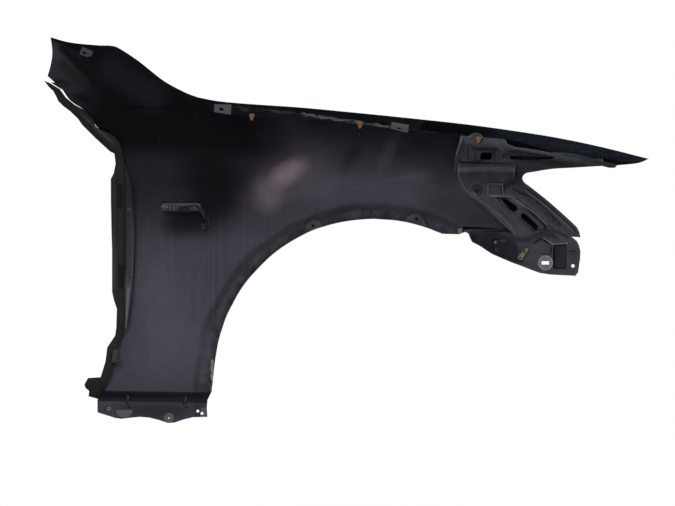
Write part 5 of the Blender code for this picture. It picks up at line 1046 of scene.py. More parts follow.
def fill_slab(bm, outline, inner, outer, step, holes=(), lines=()):
    """Adds one slab to a mesh: its two height maps and the walls between them."""
    flat = bmesh.new()
    add_patch(flat, outline, lambda x, z: (x, 0, z), step, holes, lines)
    bmesh.ops.remove_doubles(flat, verts=flat.verts, dist=MERGE_DISTANCE)
    bmesh.ops.recalc_face_normals(flat, faces=flat.faces)
    flat.faces.ensure_lookup_table()
    if flat.faces[0].normal.y > 0:
        bmesh.ops.reverse_faces(flat, faces=flat.faces)
    near = {}
    far = {}
    for v in flat.verts:
        near[v] = bm.verts.new((v.co.x, inner(v.co.x, v.co.z), v.co.z))
        far[v] = bm.verts.new((v.co.x, outer(v.co.x, v.co.z), v.co.z))
    for face in flat.faces:
        bm.faces.new([near[v] for v in face.verts])
        bm.faces.new([far[v] for v in reversed(face.verts)])
    for edge in flat.edges:
        if edge.is_boundary:
            loop = edge.link_loops[0]
            a = loop.vert
            b = loop.link_loop_next.vert
            bm.faces.new((near[b], near[a], far[a], far[b]))
    flat.free()


# The skin as a height map


def belt_z(x):
    """Height of the line below which the shoulder starts to roll inboard."""
    return HEIGHT * (BELT_SHARE - BELT_FALL_SHARE * max(0.0, x / LENGTH) ** BELT_POWER)


def arch_outline():
    """The wheel arch edge in polar form round its centre, as (angle, radius) rows."""
    centre = spot(ARCH_CENTRE_SHARE)
    rows = []
    for point in curve(ARCH_EDGE_SHARES):
        arm = point - centre
        rows.append((math.atan2(arm.y, arm.x) % math.tau, arm.length))
    return sorted(rows)


ARCH_ROWS = arch_outline()
POCKET_LOOP = rounded_loop(spots(POCKET_SHARES), POCKET_CORNER)


def arch_distance(x, z):
    """Distance outside the wheel arch's edge, measured from its centre."""
    arm = Vector((x, z)) - spot(ARCH_CENTRE_SHARE)
    return arm.length - read_table(ARCH_ROWS, math.atan2(arm.y, arm.x) % math.tau)


def soft_part(value, softness):
    """The value where it is positive and nothing where it is negative, with a soft turn."""
    return 0.5 * (value + math.hypot(value, softness))


def body_line_rise(x, z):
    """The pressed body line, which fades towards the front."""
    start, end = spots(BODY_LINE_SHARES)
    line_z = start.y + (x - start.x) / (end.x - start.x) * (end.y - start.y)
    away = math.hypot((z - line_z) / BODY_LINE_WIDTH, BODY_LINE_SOFT_SHARE)
    fade = smooth((x - start.x + BODY_LINE_WIDTH) / BODY_LINE_WIDTH)
    fade *= 1 - smooth((x - start.x) / BODY_LINE_FADE)
    return BODY_LINE_HEIGHT * math.exp(-away) * fade


def arm_hollow(x, z):
    """The diagonal hollow pressed along the upper arm."""
    start, end = spots(ARM_HOLLOW_SHARES)
    along = (end - start).normalized()
    arm = Vector((x, z)) - start
    across = along.x * arm.y - along.y * arm.x
    reach = arm.dot(along)
    fade = 1 - smooth(reach / (end - start).length - ARM_HOLLOW_FADE_SHARE)
    return ARM_HOLLOW_DEPTH * math.exp(-(across / ARM_HOLLOW_WIDTH) ** 2) * fade


def skin_y(x, z):
    """How far outboard the skin's outer side lies over a point of the side view."""
    below = (belt_z(x) - z) / SHOULDER_REACH
    roll = 1 - 2 * below if below < 0 else max(0.0, 1 - below) ** 2
    nose = max(0.0, (x / LENGTH - NOSE_START_SHARE) / (1 - NOSE_START_SHARE)) ** NOSE_POWER
    sill = max(0.0, 1 - z / ROCKER_TUCK_REACH) ** 2
    rear = max(0.0, 1 - x / REAR_TUCK_REACH) ** 2
    y = -(SHOULDER_INSET * roll + NOSE_INSET * nose + ROCKER_TUCK * sill + REAR_TUCK * rear)
    y += LAND_FLARE / LAND_WIDTH * soft_part(LAND_WIDTH - arch_distance(x, z), LAND_SOFTNESS)
    y += body_line_rise(x, z) + arm_hollow(x, z)
    return y - POCKET_DEPTH * rise_inside(x, z, POCKET_LOOP, POCKET_RAMP)


def skin_point(x, z):
    return Vector((x, skin_y(x, z), z))


def along_line(points, x):
    """Height at x on a line whose points run forward."""
    return float(np.interp(x, [p.x for p in points], [p.y for p in points]))


HOOD_EDGE = curve(HOOD_EDGE_SHARES)


def crest_z(x):
    return along_line(HOOD_EDGE, x)


def wall_foot(x):
    """Lower edge of the hood gap wall, held straight where a bolt tab needs a flat face."""
    for first, last in TAB_SPAN_SHARES:
        start = first * LENGTH
        end = last * LENGTH
        if start < x < end:
            return wall_foot(start).lerp(wall_foot(end), (x - start) / (end - start))
    drop = WALL_DROP * read_table(WALL_DROP_SHARES, x / LENGTH)
    z = crest_z(x)
    return Vector((x, skin_y(x, z) - WALL_LEAN * drop, z - drop))


def ledge_point(x, run):
    """A point of the ledge; run goes from 0 at the wall to LEDGE_DEPTH at its inner edge."""
    drop = LEDGE_DROP * read_table(LEDGE_DROP_SHARES, x / LENGTH)
    return wall_foot(x) - Vector((0, run, drop * run / LEDGE_DEPTH))


def panel_origin():
    """The point of the front bolt tab where the part's own frame has its origin."""
    return ledge_point(ORIGIN_SHARE * LENGTH, LEDGE_DEPTH / 2)


# Fender panel


def hood_line():
    """The hood edge with points added where the ledge and its tabs begin and end."""
    stops = [share * LENGTH for share, _ in LEDGE_SHARES]
    stops += [share * LENGTH for span in TAB_SPAN_SHARES for share in span]
    line = [p for p in HOOD_EDGE if all(abs(p.x - stop) > CHAIN_STEP / 4 for stop in stops)]
    line += [Vector((stop, crest_z(stop))) for stop in sorted(set(stops))]
    return sorted(line, key=lambda p: p.x)


def land_lines(outline):
    """Two lines along the top of the wheel arch land, where the skin changes direction."""
    centre = spot(ARCH_CENTRE_SHARE)
    edge = curve(ARCH_EDGE_SHARES)
    lines = []
    for offset in (LAND_WIDTH - LAND_SOFTNESS, LAND_WIDTH + LAND_SOFTNESS):
        line = []
        for point in edge:
            moved = point + (point - centre).normalized() * offset
            if inset_of(moved, outline) > CHAIN_STEP / 2:
                line.append(moved)
        lines.append(line)
    return lines


def ledge_edge(x):
    """Inner edge of the ledge, in the ledge's own flat layout."""
    return Vector((x, -LEDGE_DEPTH * read_table(LEDGE_SHARES, x / LENGTH)))


def add_hood_wall(bm, row):
    """Hood gap wall along the whole hood edge, and the ledge with its two bolt tabs."""
    feet = fold_row(bm, row, [wall_foot(v.co.x) for v in row])
    first = LEDGE_SHARES[0][0] * LENGTH
    last = LEDGE_SHARES[-1][0] * LENGTH
    base = [v.co.x for v in feet if first - MERGE_DISTANCE < v.co.x < last + MERGE_DISTANCE]
    outline = [Vector((x, 0)) for x in base] + [ledge_edge(x) for x in base[-2:0:-1]]
    middles = [Vector((share * LENGTH, -LEDGE_DEPTH / 2)) for share in TAB_HOLE_SHARES]
    holes = [oval_loop(middle, TAB_HOLE_LENGTH, TAB_HOLE_WIDTH, 0) for middle in middles]
    ends = [share * LENGTH for span in TAB_SPAN_SHARES for share in span]
    lines = [straight_line([Vector((x, 0)), ledge_edge(x)], FINE_STEP) for x in ends]
    add_patch(bm, outline, lambda x, run: ledge_point(x, -run), FINE_STEP, holes, lines)


def flap_point(x, z):
    """The flap folded down from the arm's top edge: a plane that rolls up into that edge."""
    rear, front = spots(FLAP_BASE_SHARES)
    slope = (skin_y(*front) - skin_y(*rear)) / (front.x - rear.x)
    rise = (front.y - rear.y) / (front.x - rear.x)
    drop = rear.y + (x - rear.x) * rise - z
    plane = skin_y(*rear) + (x - rear.x) * slope - FLAP_LEAN * drop
    top = along_line(curve(ARM_TOP_SHARES), x)
    return Vector((x, plane + (skin_y(x, top) - plane) * (1 - smooth((top - z) / FLAP_ROLL)), z))


def add_arm_flap(bm, row):
    top = [side_spot(v) for v in row]
    lower = straight_line(spots(FLAP_EDGE_SHARES), CHAIN_STEP)
    hole = oval_loop(spot(FLAP_HOLE_SHARE), FLAP_HOLE_LENGTH, FLAP_HOLE_WIDTH, FLAP_HOLE_TILT)
    add_patch(bm, top + lower[::-1], flap_point, FINE_STEP, [hole])


def rear_x(z):
    """Place of the skin's rear edge at a height."""
    line = spots(REAR_LOWER_SHARES + REAR_UPPER_SHARES)
    line.sort(key=lambda p: p.y)
    return float(np.interp(z, [p.y for p in line], [p.x for p in line]))


def rear_depth(z):
    """Depth of the rear fold: a hem at both ends and the full seal flange between them."""
    low = spot(REAR_STRIP_SHARES[-1]).y
    high = spot(REAR_STRIP_SHARES[0]).y
    grown = smooth((z - low) / REAR_FOLD_RAMP) * smooth((high - z) / REAR_FOLD_RAMP)
    return REAR_HEM + (REAR_FOLD - REAR_HEM) * grown


def strip_point(x, z):
    """The seal flange, folded forward again behind the skin's rear edge."""
    return Vector((x, skin_y(rear_x(z), z) - rear_depth(z), z))


def add_rear_fold(bm, row):
    """Rear hem of the skin and the flange that carries the seal."""
    hem = fold_row(bm, row, [strip_point(v.co.x, v.co.z) for v in row])
    edge = curve(REAR_STRIP_SHARES)
    base = [side_spot(v) for v in hem if edge[-1].y < v.co.z < edge[0].y]
    holes = [round_loop(spot(share), SEAL_HOLE, HOLE_SIDES) for share in SEAL_HOLE_SHARES]
    inner = [p for p in edge[1:-1] if base[0].y < p.y < base[-1].y]
    add_patch(bm, base + inner, strip_point, FINE_STEP, holes)


def lip_y(x, z):
    """Depth of the wheel arch lip's inner edge, held flat over the two screw ears."""
    for rear, front in EAR_SPAN_SHARES:
        start = spot(rear)
        end = spot(front)
        if start.x < x < end.x:
            share = (x - start.x) / (end.x - start.x)
            return (1 - share) * skin_y(*start) + share * skin_y(*end) - LIP_DEPTH
    return skin_y(x, z) - LIP_DEPTH


def add_arch_lip(bm, row):
    """Lip folded inboard along the wheel arch, with two screw ears turned up from it."""
    centre = spot(ARCH_CENTRE_SHARE)
    places = []
    for v in row:
        edge = side_spot(v)
        risen = edge + (edge - centre).normalized() * LIP_RISE
        places.append(Vector((risen.x, lip_y(*risen), risen.y)))
    lip = fold_row(bm, row, places)
    for span, tops, hole in zip(EAR_SPAN_SHARES, EAR_TOP_SHARES, EAR_HOLE_SHARES):
        start, end = spots(span)
        base = [side_spot(v) for v in lip if start.x < v.co.x < end.x]
        base.sort(key=lambda p: p.x)
        rear_top, front_top = spots(tops)
        top = smooth_line([base[-1], front_top, rear_top, base[0]], FINE_STEP)[1:-1]
        add_patch(bm, base + top, lambda x, z: Vector((x, lip_y(x, z), z)), FINE_STEP,
                  [round_loop(spot(hole), EAR_HOLE, SMALL_HOLE_SIDES)])


def add_edge_hem(bm, row, depth):
    """Short fold inboard along a free edge."""
    fold_row(bm, row, [v.co - Vector((0, depth, 0)) for v in row])


def sill_beads():
    """Outlines of the two stiffening beads of the sill flange."""
    half = Vector((0, (SILL_BEAD_LENGTH - SILL_BEAD_WIDTH) / 2))
    return [slot_loop(spot(share) - half, spot(share) + half, SILL_BEAD_WIDTH / 2)
            for share in SILL_BEAD_SHARES]


def sill_y(x, z):
    """The sill flange: a plane with two beads and a round boss pressed into it."""
    start, end = spots((SILL_EDGE_SHARES[1], SILL_EDGE_SHARES[0]))
    share = (x - start.x) / (end.x - start.x)
    y = (1 - share) * skin_y(*start) + share * skin_y(*end) - SILL_ROLL
    for bead in sill_beads():
        y -= SILL_BEAD_HEIGHT * rise_inside(x, z, bead, SILL_BEAD_WIDTH / 2)
    away = (Vector((x, z)) - spot(SILL_BOSS_SHARE)).length
    return y - SILL_BOSS_HEIGHT * smooth(2 * (1 - away / SILL_BOSS))


def add_sill_flange(bm, row):
    """Skin's lower edge rolled inboard, and the scalloped flange that hangs from it."""
    top_front = spot(SILL_FLANGE_SHARES[0])
    top_rear = spot(SILL_FLANGE_SHARES[-1])
    start = row[-1].co.copy()
    span = row[0].co.x - start.x
    edge = row
    for step in range(1, SILL_ROLL_STEPS + 1):
        t = step / SILL_ROLL_STEPS
        places = []
        for v in row:
            u = (v.co.x - start.x) / span
            flat = side_spot(v).lerp(top_rear.lerp(top_front, u), t)
            y = v.co.y + (sill_y(*flat) - v.co.y) * smooth(t)
            places.append(Vector((flat.x, y, flat.y)))
        edge = fold_row(bm, edge, places)
    top = [side_spot(v) for v in edge]
    lower = straight_line(spots(SILL_FLANGE_SHARES), CHAIN_STEP)[1:-1]
    holes = [round_loop(spot(share), radius, HOLE_SIDES)
             for share, radius in zip(SILL_HOLE_SHARES, SILL_HOLES)]
    holes.append(box_corners(spot(SILL_SQUARE_SHARE), SILL_SQUARE, SILL_SQUARE))
    bosses = [round_loop(spot(SILL_BOSS_SHARE), radius) for radius in (SILL_BOSS, SILL_BOSS / 2)]
    lines = [ring(loop) for loop in sill_beads() + bosses]
    add_patch(bm, top[::-1] + lower, lambda x, z: Vector((x, sill_y(x, z), z)), FINE_STEP, holes,
              lines)


def add_front_folds(bm, rows):
    """Flanges round the spear, the notch and the lamp edge, which meet the inner stamping."""
    row = rows["spear"][1:] + rows["notch"][1:] + rows["lamp"][1:]
    places = []
    for v in row:
        depth = v.co.y - stamping_y(v.co.x, v.co.z) - LAP_GAP
        places.append(v.co - Vector((0, max(depth, EDGE_HEM / 4), 0)))
    fold_row(bm, row, places)
    add_edge_hem(bm, rows["bumper"][1:-1], EDGE_HEM)


def make_fender_panel(materials):
    """Outer skin with every flange that is folded from the same sheet."""
    chains = {
        "arm_top": curve(ARM_TOP_SHARES),
        "arm_slope": curve(ARM_SLOPE_SHARES),
        "hood": hood_line(),
        "spear": curve(SPEAR_EDGE_SHARES),
        "notch": curve(NOTCH_SHARES, FINE_STEP / 2),
        "lamp": curve(LAMP_EDGE_SHARES),
        "bumper": straight_line(spots(BUMPER_EDGE_SHARES), CHAIN_STEP),
        "arch": curve(ARCH_EDGE_SHARES),
        "sill": straight_line(spots(SILL_EDGE_SHARES), CHAIN_STEP),
        "rear": curve(REAR_LOWER_SHARES),
        "ear": curve(REAR_EAR_SHARES),
        "rear_upper": curve(REAR_UPPER_SHARES),
        "arm_end": curve(ARM_END_SHARES),
    }
    outline = []
    starts = {}
    for name, chain in chains.items():
        starts[name] = len(outline)
        outline += chain[:-1]
    bm = bmesh.new()
    hole = oval_loop(spot(REAR_EAR_HOLE_SHARE), REAR_EAR_HOLE * 2, REAR_EAR_HOLE,
                     REAR_EAR_HOLE_TILT, SMALL_HOLE_SIDES)
    lamp = slot_loop(*spots(LAMP_HOLE_SHARES), LAMP_HOLE_RADIUS)
    floor = inner_loop(POCKET_LOOP, POCKET_RAMP)
    lines = land_lines(outline) + [ring(POCKET_LOOP), ring(floor)]
    edge = add_patch(bm, outline, skin_point, GRID_STEP, [hole, lamp], lines)
    rows = {name: [edge[(starts[name] + i) % len(edge)] for i in range(len(chain))]
            for name, chain in chains.items()}
    skin_faces = len(bm.faces)
    add_hood_wall(bm, rows["hood"][:-1])
    add_arm_flap(bm, rows["arm_top"])
    add_edge_hem(bm, rows["rear_upper"], REAR_HEM)
    add_front_folds(bm, rows)
    gap_faces = len(bm.faces)
    add_rear_fold(bm, rows["rear"])
    add_arch_lip(bm, rows["arch"])
    add_sill_flange(bm, rows["sill"])
    for i, face in enumerate(bm.faces):
        face.material_index = 0 if i < skin_faces else GAP_SLOT if i < gap_faces else FOLD_SLOT
    add_sheet("fender_panel", bm, materials, SKIN_THICKNESS)


# Front stampings


def front_spot(share):
    """A point of the side view from its shares of the front stampings' box."""
    inside = (share[0] * FRONT_SIZE_SHARE[0], share[1] * FRONT_SIZE_SHARE[1])
    return spot(FRONT_CORNER_SHARE) + spot(inside)


def front_spots(shares):
    return [front_spot(share) for share in shares]


def crease_z(x):
    """Level of the crease between the bracket's arm and the flat plate under it."""
    return read_table([(p.x, p.y) for p in front_spots(BRACKET_CREASE_SHARES)], x)


def free_y(x, z):
    """Level of the front stampings where they stand behind the open skin."""
    box = BOX_DEPTH * math.exp(-((crest_z(x) - z - BOX_MIDDLE) / BOX_REACH) ** 2)
    return skin_y(x, z) - SKIN_THICKNESS - STAMPING_STANDOFF - box


def stamping_y(x, z):
    """Outboard side of the reinforcement: behind the hood gap wall, then along the skin.

    Below the bracket's crease it turns into the flat plane of the bumper plate.
    """
    rear, front = front_spots(PLATE_LINE_SHARES)
    crease = crease_z(x)
    slope = (free_y(*front) - free_y(*rear)) / (front.x - rear.x)
    flat = smooth((crease - z) / PLATE_BLEND) * smooth(1 + (x - rear.x) / PLATE_BLEND)
    free = (1 - flat) * free_y(x, z) + flat * (free_y(*rear) + slope * (x - rear.x))
    drop = crest_z(x) - z
    crest = skin_y(x, crest_z(x)) - WALL_LEAN * drop
    behind = crest + SKIN_THICKNESS + LAP_GAP + STAMPING_THICKNESS
    wall = WALL_DROP * read_table(WALL_DROP_SHARES, x / LENGTH)
    return behind + (free - behind) * smooth((drop - wall) / WALL_BLEND)


def read_stamps(outlines, depths, ramps=None):
    """Loops of the pressed fields, with the depth of each and the width of its sloping rim."""
    if ramps is None:
        ramps = [STAMP_RAMP] * len(depths)
    return [(rounded_loop(front_spots(shares), STAMP_CORNER), depth, ramp)
            for shares, depth, ramp in zip(outlines, depths, ramps)]


def stamp_lines(fields):
    """Rim and floor line of each pressed field, where the sheet changes direction."""
    lines = []
    for loop, _, ramp in fields:
        lines += [ring(loop), ring(inner_loop(loop, ramp))]
    return lines


def pressed(x, z, fields):
    """How far outboard the pressed fields push the sheet at a point."""
    return sum(depth * rise_inside(x, z, loop, ramp) for loop, depth, ramp in fields)


def right_of(line, distance):
    """The line moved to its right by a distance."""
    moved = []
    for i, point in enumerate(line):
        along = (line[min(i + 1, len(line) - 1)] - line[max(i - 1, 0)]).normalized()
        moved.append(point + Vector((along.y, -along.x)) * distance)
    return moved


def add_stamping(name, outline, fields, material, step, holes):
    """A stamping whose outboard side follows the common level and its own pressed fields."""
    def outer(x, z):
        return stamping_y(x, z) + pressed(x, z, fields)

    add_slab(name, outline, lambda x, z: outer(x, z) - STAMPING_THICKNESS, outer, material, step,
             holes, stamp_lines(fields))


def reinforcement_outline():
    """Reinforcement seen from the side; its front edge follows the folds of the skin."""
    line = curve(SPEAR_EDGE_SHARES)[:-1] + curve(NOTCH_SHARES, FINE_STEP / 2)[:-1]
    line = right_of(line + curve(LAMP_EDGE_SHARES), EDGE_INSET)
    tip = STAMPING_TIP_SHARE * LENGTH
    foot = STAMPING_FOOT_SHARE * HEIGHT
    front = [p for p in line if p.x < tip and p.y > foot]
    return front + straight_line(front_spots(REINFORCEMENT_SHARES), FINE_STEP)


def make_front_reinforcement(material):
    """Inner stamping along the spear and down the lamp edge, with its wedge-shaped window."""
    fields = read_stamps(REINFORCEMENT_STAMP_SHARES, REINFORCEMENT_STAMP_DEPTHS)
    holes = [rounded_loop(front_spots(REINFORCEMENT_WINDOW_SHARES), WINDOW_CORNER),
             rounded_loop(front_spots(REINFORCEMENT_HOLE_SHARES), HOLE_CORNER)]
    add_stamping("front_reinforcement", reinforcement_outline(), fields, material, STAMPING_STEP,
                 holes)


BRACKET_SIDE = front_spots(BRACKET_SIDE_SHARES)
BRACKET_FIELDS = read_stamps(BRACKET_STAMP_SHARES, BRACKET_STAMP_DEPTHS, BRACKET_STAMP_RAMPS)
BRACKET_FIELDS.append((round_loop(front_spot(BOSS_SHARE), BOSS_RADIUS), BOSS_DEPTH, STAMP_RAMP))


def bracket_y(x, z):
    """Outboard side of the headlamp bracket: its arm stands proud between its welded edges."""
    point = Vector((x, z))
    lap = front_spot(BRACKET_SHARES[0]).y - BRACKET_LAP
    bulge = smooth((lap - z) / BRACKET_RAMP)
    bulge *= smooth((line_distance(point, BRACKET_SIDE) - BRACKET_FLAT) / BRACKET_RAMP)
    bulge *= smooth(1 - (crease_z(x) - z) / CREASE_RAMP)
    level = stamping_y(x, z) - STAMPING_THICKNESS - LAP_GAP - BRACKET_BULGE * bulge
    return level + pressed(x, z, BRACKET_FIELDS)


def make_headlamp_bracket(material):
    """Diagonal stamping with lightening slots; its lower end is the bumper plate."""
    boss = round_loop(front_spot(BOSS_SHARE), BOSS_HOLE)
    drop_slot = rounded_loop(front_spots(BRACKET_DROP_SLOT_SHARES), HOLE_CORNER)
    slot = slot_loop(*front_spots(BRACKET_SLOT_SHARES), BRACKET_SLOT_RADIUS)
    nut_slot = slot_loop(*front_spots(NUT_SLOT_SHARES), NUT_SLOT_RADIUS)
    grommet = box_loop(front_spot(GROMMET_SHARE), GROMMET_HOLE_LENGTH + 2 * GROMMET_HOLE_MARGIN,
                       GROMMET_HOLE_HEIGHT + 2 * GROMMET_HOLE_MARGIN, GROMMET_HOLE_MARGIN)
    screw = box_loop(front_spot(SCREW_GROMMET_SHARE), SCREW_HOLE_SIDE, SCREW_HOLE_SIDE, CLIP_CORNER)
    hole = round_loop(front_spot(PLATE_HOLE_SHARE), PLATE_HOLE, HOLE_SIDES)
    outline = closed(straight_line, front_spots(BRACKET_SHARES), FINE_STEP)
    add_slab("headlamp_bracket", outline, lambda x, z: bracket_y(x, z) - STAMPING_THICKNESS,
             bracket_y, material, FINE_STEP,
             [boss, drop_slot, slot, nut_slot, grommet, screw, hole], stamp_lines(BRACKET_FIELDS))


def make_bumper_side_bracket(material):
    """Plate under the skin's front lower corner, lapped behind the bumper plate."""
    outline = closed(straight_line, front_spots(SIDE_BRACKET_SHARES), FINE_STEP)
    boss = round_loop(front_spot(SIDE_HOLE_SHARE), SIDE_HOLE_BOSS)
    pad = slot_loop(*front_spots(SIDE_PAD_SHARES), SIDE_PAD_RADIUS)
    fields = [(boss, SIDE_BOSS_DEPTH, STAMP_RAMP), (pad, -SIDE_PAD_HEIGHT, SIDE_PAD_RADIUS / 2)]
    hole = round_loop(front_spot(SIDE_HOLE_SHARE), SIDE_HOLE, HOLE_SIDES)
    add_stamping("bumper_side_bracket", outline, fields, material, FINE_STEP, [hole])


# Small pieces of the front


def plate_face(x, z):
    """Inboard face of the bumper plate."""
    return bracket_y(x, z) - STAMPING_THICKNESS


def seated_slab(name, outline, face, thickness, material, holes=(), round_over=0.0, dents=(),
                step=FINE_STEP):
    """A slab seated on a face with the seat gap, its inboard side rounded over at the rim."""
    def inner(x, z):
        rim = min(inset_of(Vector((x, z)), loop) * (1 if loop is outline else -1)
                  for loop in [outline, *holes])
        soft = thickness * ROUND_OVER_SHARE * (1 - smooth(rim / round_over)) if round_over else 0
        return face(x, z) - SEAT_GAP - thickness + soft + pressed(x, z, dents)

    lines = stamp_lines(dents)
    if round_over:
        lines.append(ring(inner_loop(outline, round_over)))
    add_slab(name, outline, inner, lambda x, z: face(x, z) - SEAT_GAP, material, step, holes,
             lines)


def make_bumper_grommet(material):
    """Round white grommet with a rectangular hole, over the hole of the bumper plate."""
    centre = front_spot(GROMMET_SHARE)
    hole = box_loop(centre, GROMMET_HOLE_LENGTH, GROMMET_HOLE_HEIGHT, GROMMET_HOLE_MARGIN)
    seated_slab("bumper_grommet", round_loop(centre, GROMMET_RADIUS, GROMMET_SIDES), plate_face,
                GROMMET_THICKNESS, material, [hole], GROMMET_THICKNESS)


def make_screw_grommet(material):
    centre = front_spot(SCREW_GROMMET_SHARE)
    half = Vector((SCREW_GROMMET_SLOT_LENGTH / 2, 0))
    slot = slot_loop(centre - half, centre + half, SCREW_GROMMET_SLOT_RADIUS)
    outline = box_loop(centre, SCREW_GROMMET_LENGTH, SCREW_GROMMET_HEIGHT, 2 * CLIP_CORNER)
    dent = (slot, SCREW_GROMMET_SLOT_DEPTH, SCREW_GROMMET_SLOT_RADIUS / 2)
    seated_slab("screw_grommet", outline, plate_face, SCREW_GROMMET_THICKNESS, material,
                (), CLIP_CORNER, [dent])


def make_spring_nut(material):
    """Clip pushed into the slot of the bumper plate, with its screw eye at the lower end."""
    lower, upper = front_spots(SPRING_NUT_SHARES)
    outline = slot_loop(lower, upper, SPRING_NUT_RADIUS)
    seated_slab("spring_nut", outline, plate_face, SPRING_NUT_THICKNESS, material,
                [round_loop(lower, SPRING_NUT_HOLE, HOLE_SIDES)], CLIP_CORNER)


def make_hood_clips(material):
    """Three small clips: two hang on the inner edge of the ledge, one on the front clip seat."""
    for name, share, lift in zip(HOOD_CLIP_NAMES, HOOD_CLIP_SHARES, HOOD_CLIP_LIFT_SHARES):
        x = share * LENGTH
        has_ledge = x < LEDGE_SHARES[-1][0] * LENGTH
        seat = ledge_point(x, LEDGE_DEPTH) if has_ledge else wall_foot(x)
        top = seat.z + HOOD_CLIP_HEIGHT * lift
        outline = [Vector((x + across * HOOD_CLIP_WIDTH, top - down * HOOD_CLIP_HEIGHT))
                   for across, down in HOOD_CLIP_OUTLINE_SHARES]
        lean = skin_y(x + HOOD_CLIP_WIDTH, crest_z(x + HOOD_CLIP_WIDTH)) - skin_y(x, crest_z(x))
        slope = lean / HOOD_CLIP_WIDTH

        def ledge_face(px, pz):
            return seat.y + (px - x) * slope

        seated_slab("hood_clip_" + name, outline, ledge_face if has_ledge else clip_seat_face,
                    HOOD_CLIP_THICKNESS, material, (), CLIP_CORNER)


def clip_seat_face(x, z):
    """Inboard face of the front clip's seat, which stands on the hood gap wall."""
    return wall_plane(x, z) - SEAT_GAP - CLIP_SEAT_THICKNESS


def make_hood_clip_seat(material):
    """Half-round tab over the foot of the hood gap wall, which carries the front clip."""
    outline = closed(smooth_line, spots(CLIP_SEAT_SHARES), FINE_STEP / 2)
    seated_slab("hood_clip_seat", outline, wall_plane, CLIP_SEAT_THICKNESS, material)


def make_lip_clip(material):
    """Clip on the hem of the skin's bumper edge, next to the wheel arch."""
    outline = box_loop(spot(LIP_CLIP_SHARE), LIP_CLIP_LENGTH, LIP_CLIP_HEIGHT, CLIP_CORNER)
    seated_slab("lip_clip", outline, lambda x, z: skin_y(x, z) - EDGE_HEM, LIP_CLIP_THICKNESS,
                material, (), CLIP_CORNER)


def wall_plane(x, z):
    """The plane of the hood gap wall, also past its foot."""
    return skin_y(x, crest_z(x)) - WALL_LEAN * (crest_z(x) - z)


def make_spear_film(material):
    """Torn strip of protective film that still sticks to the spear and curls off at its end."""
    start = FILM_CURL_START_SHARE * LENGTH

    def outer(x, z):
        curl = FILM_CURL * smooth((x - start) / (LENGTH - start) * 2)
        return wall_plane(x, z) - SEAT_GAP - curl

    outline = closed(straight_line, spots(FILM_SHARES), FINE_STEP)
    add_slab("spear_film", outline, lambda x, z: outer(x, z) - FILM_THICKNESS, outer, material,
             FINE_STEP)


# Seal along the rear edge


def seal_back(x, z):
    """Where the seal rests: on the rear flange and on the hem that continues it."""
    return skin_y(rear_x(z), z) - rear_depth(z) - LAP_GAP


def seal_outline():
    return straight_line(spots(SEAL_OUTER_SHARES + SEAL_INNER_SHARES[::-1]), CHAIN_STEP)


def make_rear_seal(material):
    """Rubber strip with a soft ridge along its middle, which widens to a foot at the sill."""
    outline = seal_outline()

    def inner(x, z):
        ridge = SEAL_RIDGE * rise_inside(x, z, outline, SEAL_RIDGE_REACH)
        return seal_back(x, z) - SEAL_EDGE - ridge

    add_slab("rear_seal", outline, inner, seal_back, material, FINE_STEP)
    pad = closed(straight_line, spots(SEAL_PAD_SHARES), FINE_STEP)
    seated_slab("seal_end_pad", pad, seal_back, SEAL_PAD_THICKNESS, material)


def make_seal_clips(material):
    """Two push-in clips through the rear flange and one clip block on the seal itself."""
    for name, share in zip(("upper", "middle"), SEAL_HOLE_SHARES):
        centre = spot(share)
        face = strip_point(*centre).y - SEAT_GAP
        profile = ((0, -SEAL_CLIP_HEAD_THICKNESS),
                   (SEAL_CLIP_HEAD * SEAL_CLIP_TOP_SHARE, -SEAL_CLIP_HEAD_THICKNESS),
                   (SEAL_CLIP_HEAD, -SEAL_CLIP_HEAD_THICKNESS / 2), (SEAL_CLIP_HEAD, 0),
                   (SEAL_CLIP_STEM, 0), (SEAL_CLIP_STEM, SEAL_CLIP_LENGTH - SEAL_CLIP_STEM),
                   (SEAL_CLIP_TIP, SEAL_CLIP_LENGTH), (0, SEAL_CLIP_LENGTH))
        bm = bmesh.new()
        verts = [bm.verts.new((centre.x + r, face + y, centre.y)) for r, y in profile]
        edges = [bm.edges.new(pair) for pair in zip(verts, verts[1:])]
        bmesh.ops.spin(bm, geom=verts + edges, cent=(centre.x, face, centre.y), axis=(0, 1, 0),
                       angle=math.tau, steps=KNOB_SIDES)
        bmesh.ops.remove_doubles(bm, verts=bm.verts, dist=MERGE_DISTANCE)
        bmesh.ops.recalc_face_normals(bm, faces=bm.faces)
        add_object("seal_clip_" + name, bm, [material])
    block = spots(SEAL_BLOCK_SHARES)

    def face(x, z):
        return seal_back(x, z) - SEAL_EDGE - SEAL_RIDGE

    seated_slab("seal_clip_lower", block, face, SEAL_BLOCK_THICKNESS, material, (), CLIP_CORNER)


# Side lamp

LAMP_BODY_FACE = 2 * SEAT_GAP + LAMP_BODY_DEPTH


def lamp_level(depth):
    """Height map of a level inboard of the skin's inner side."""
    return lambda x, z: skin_y(x, z) - SKIN_THICKNESS - depth


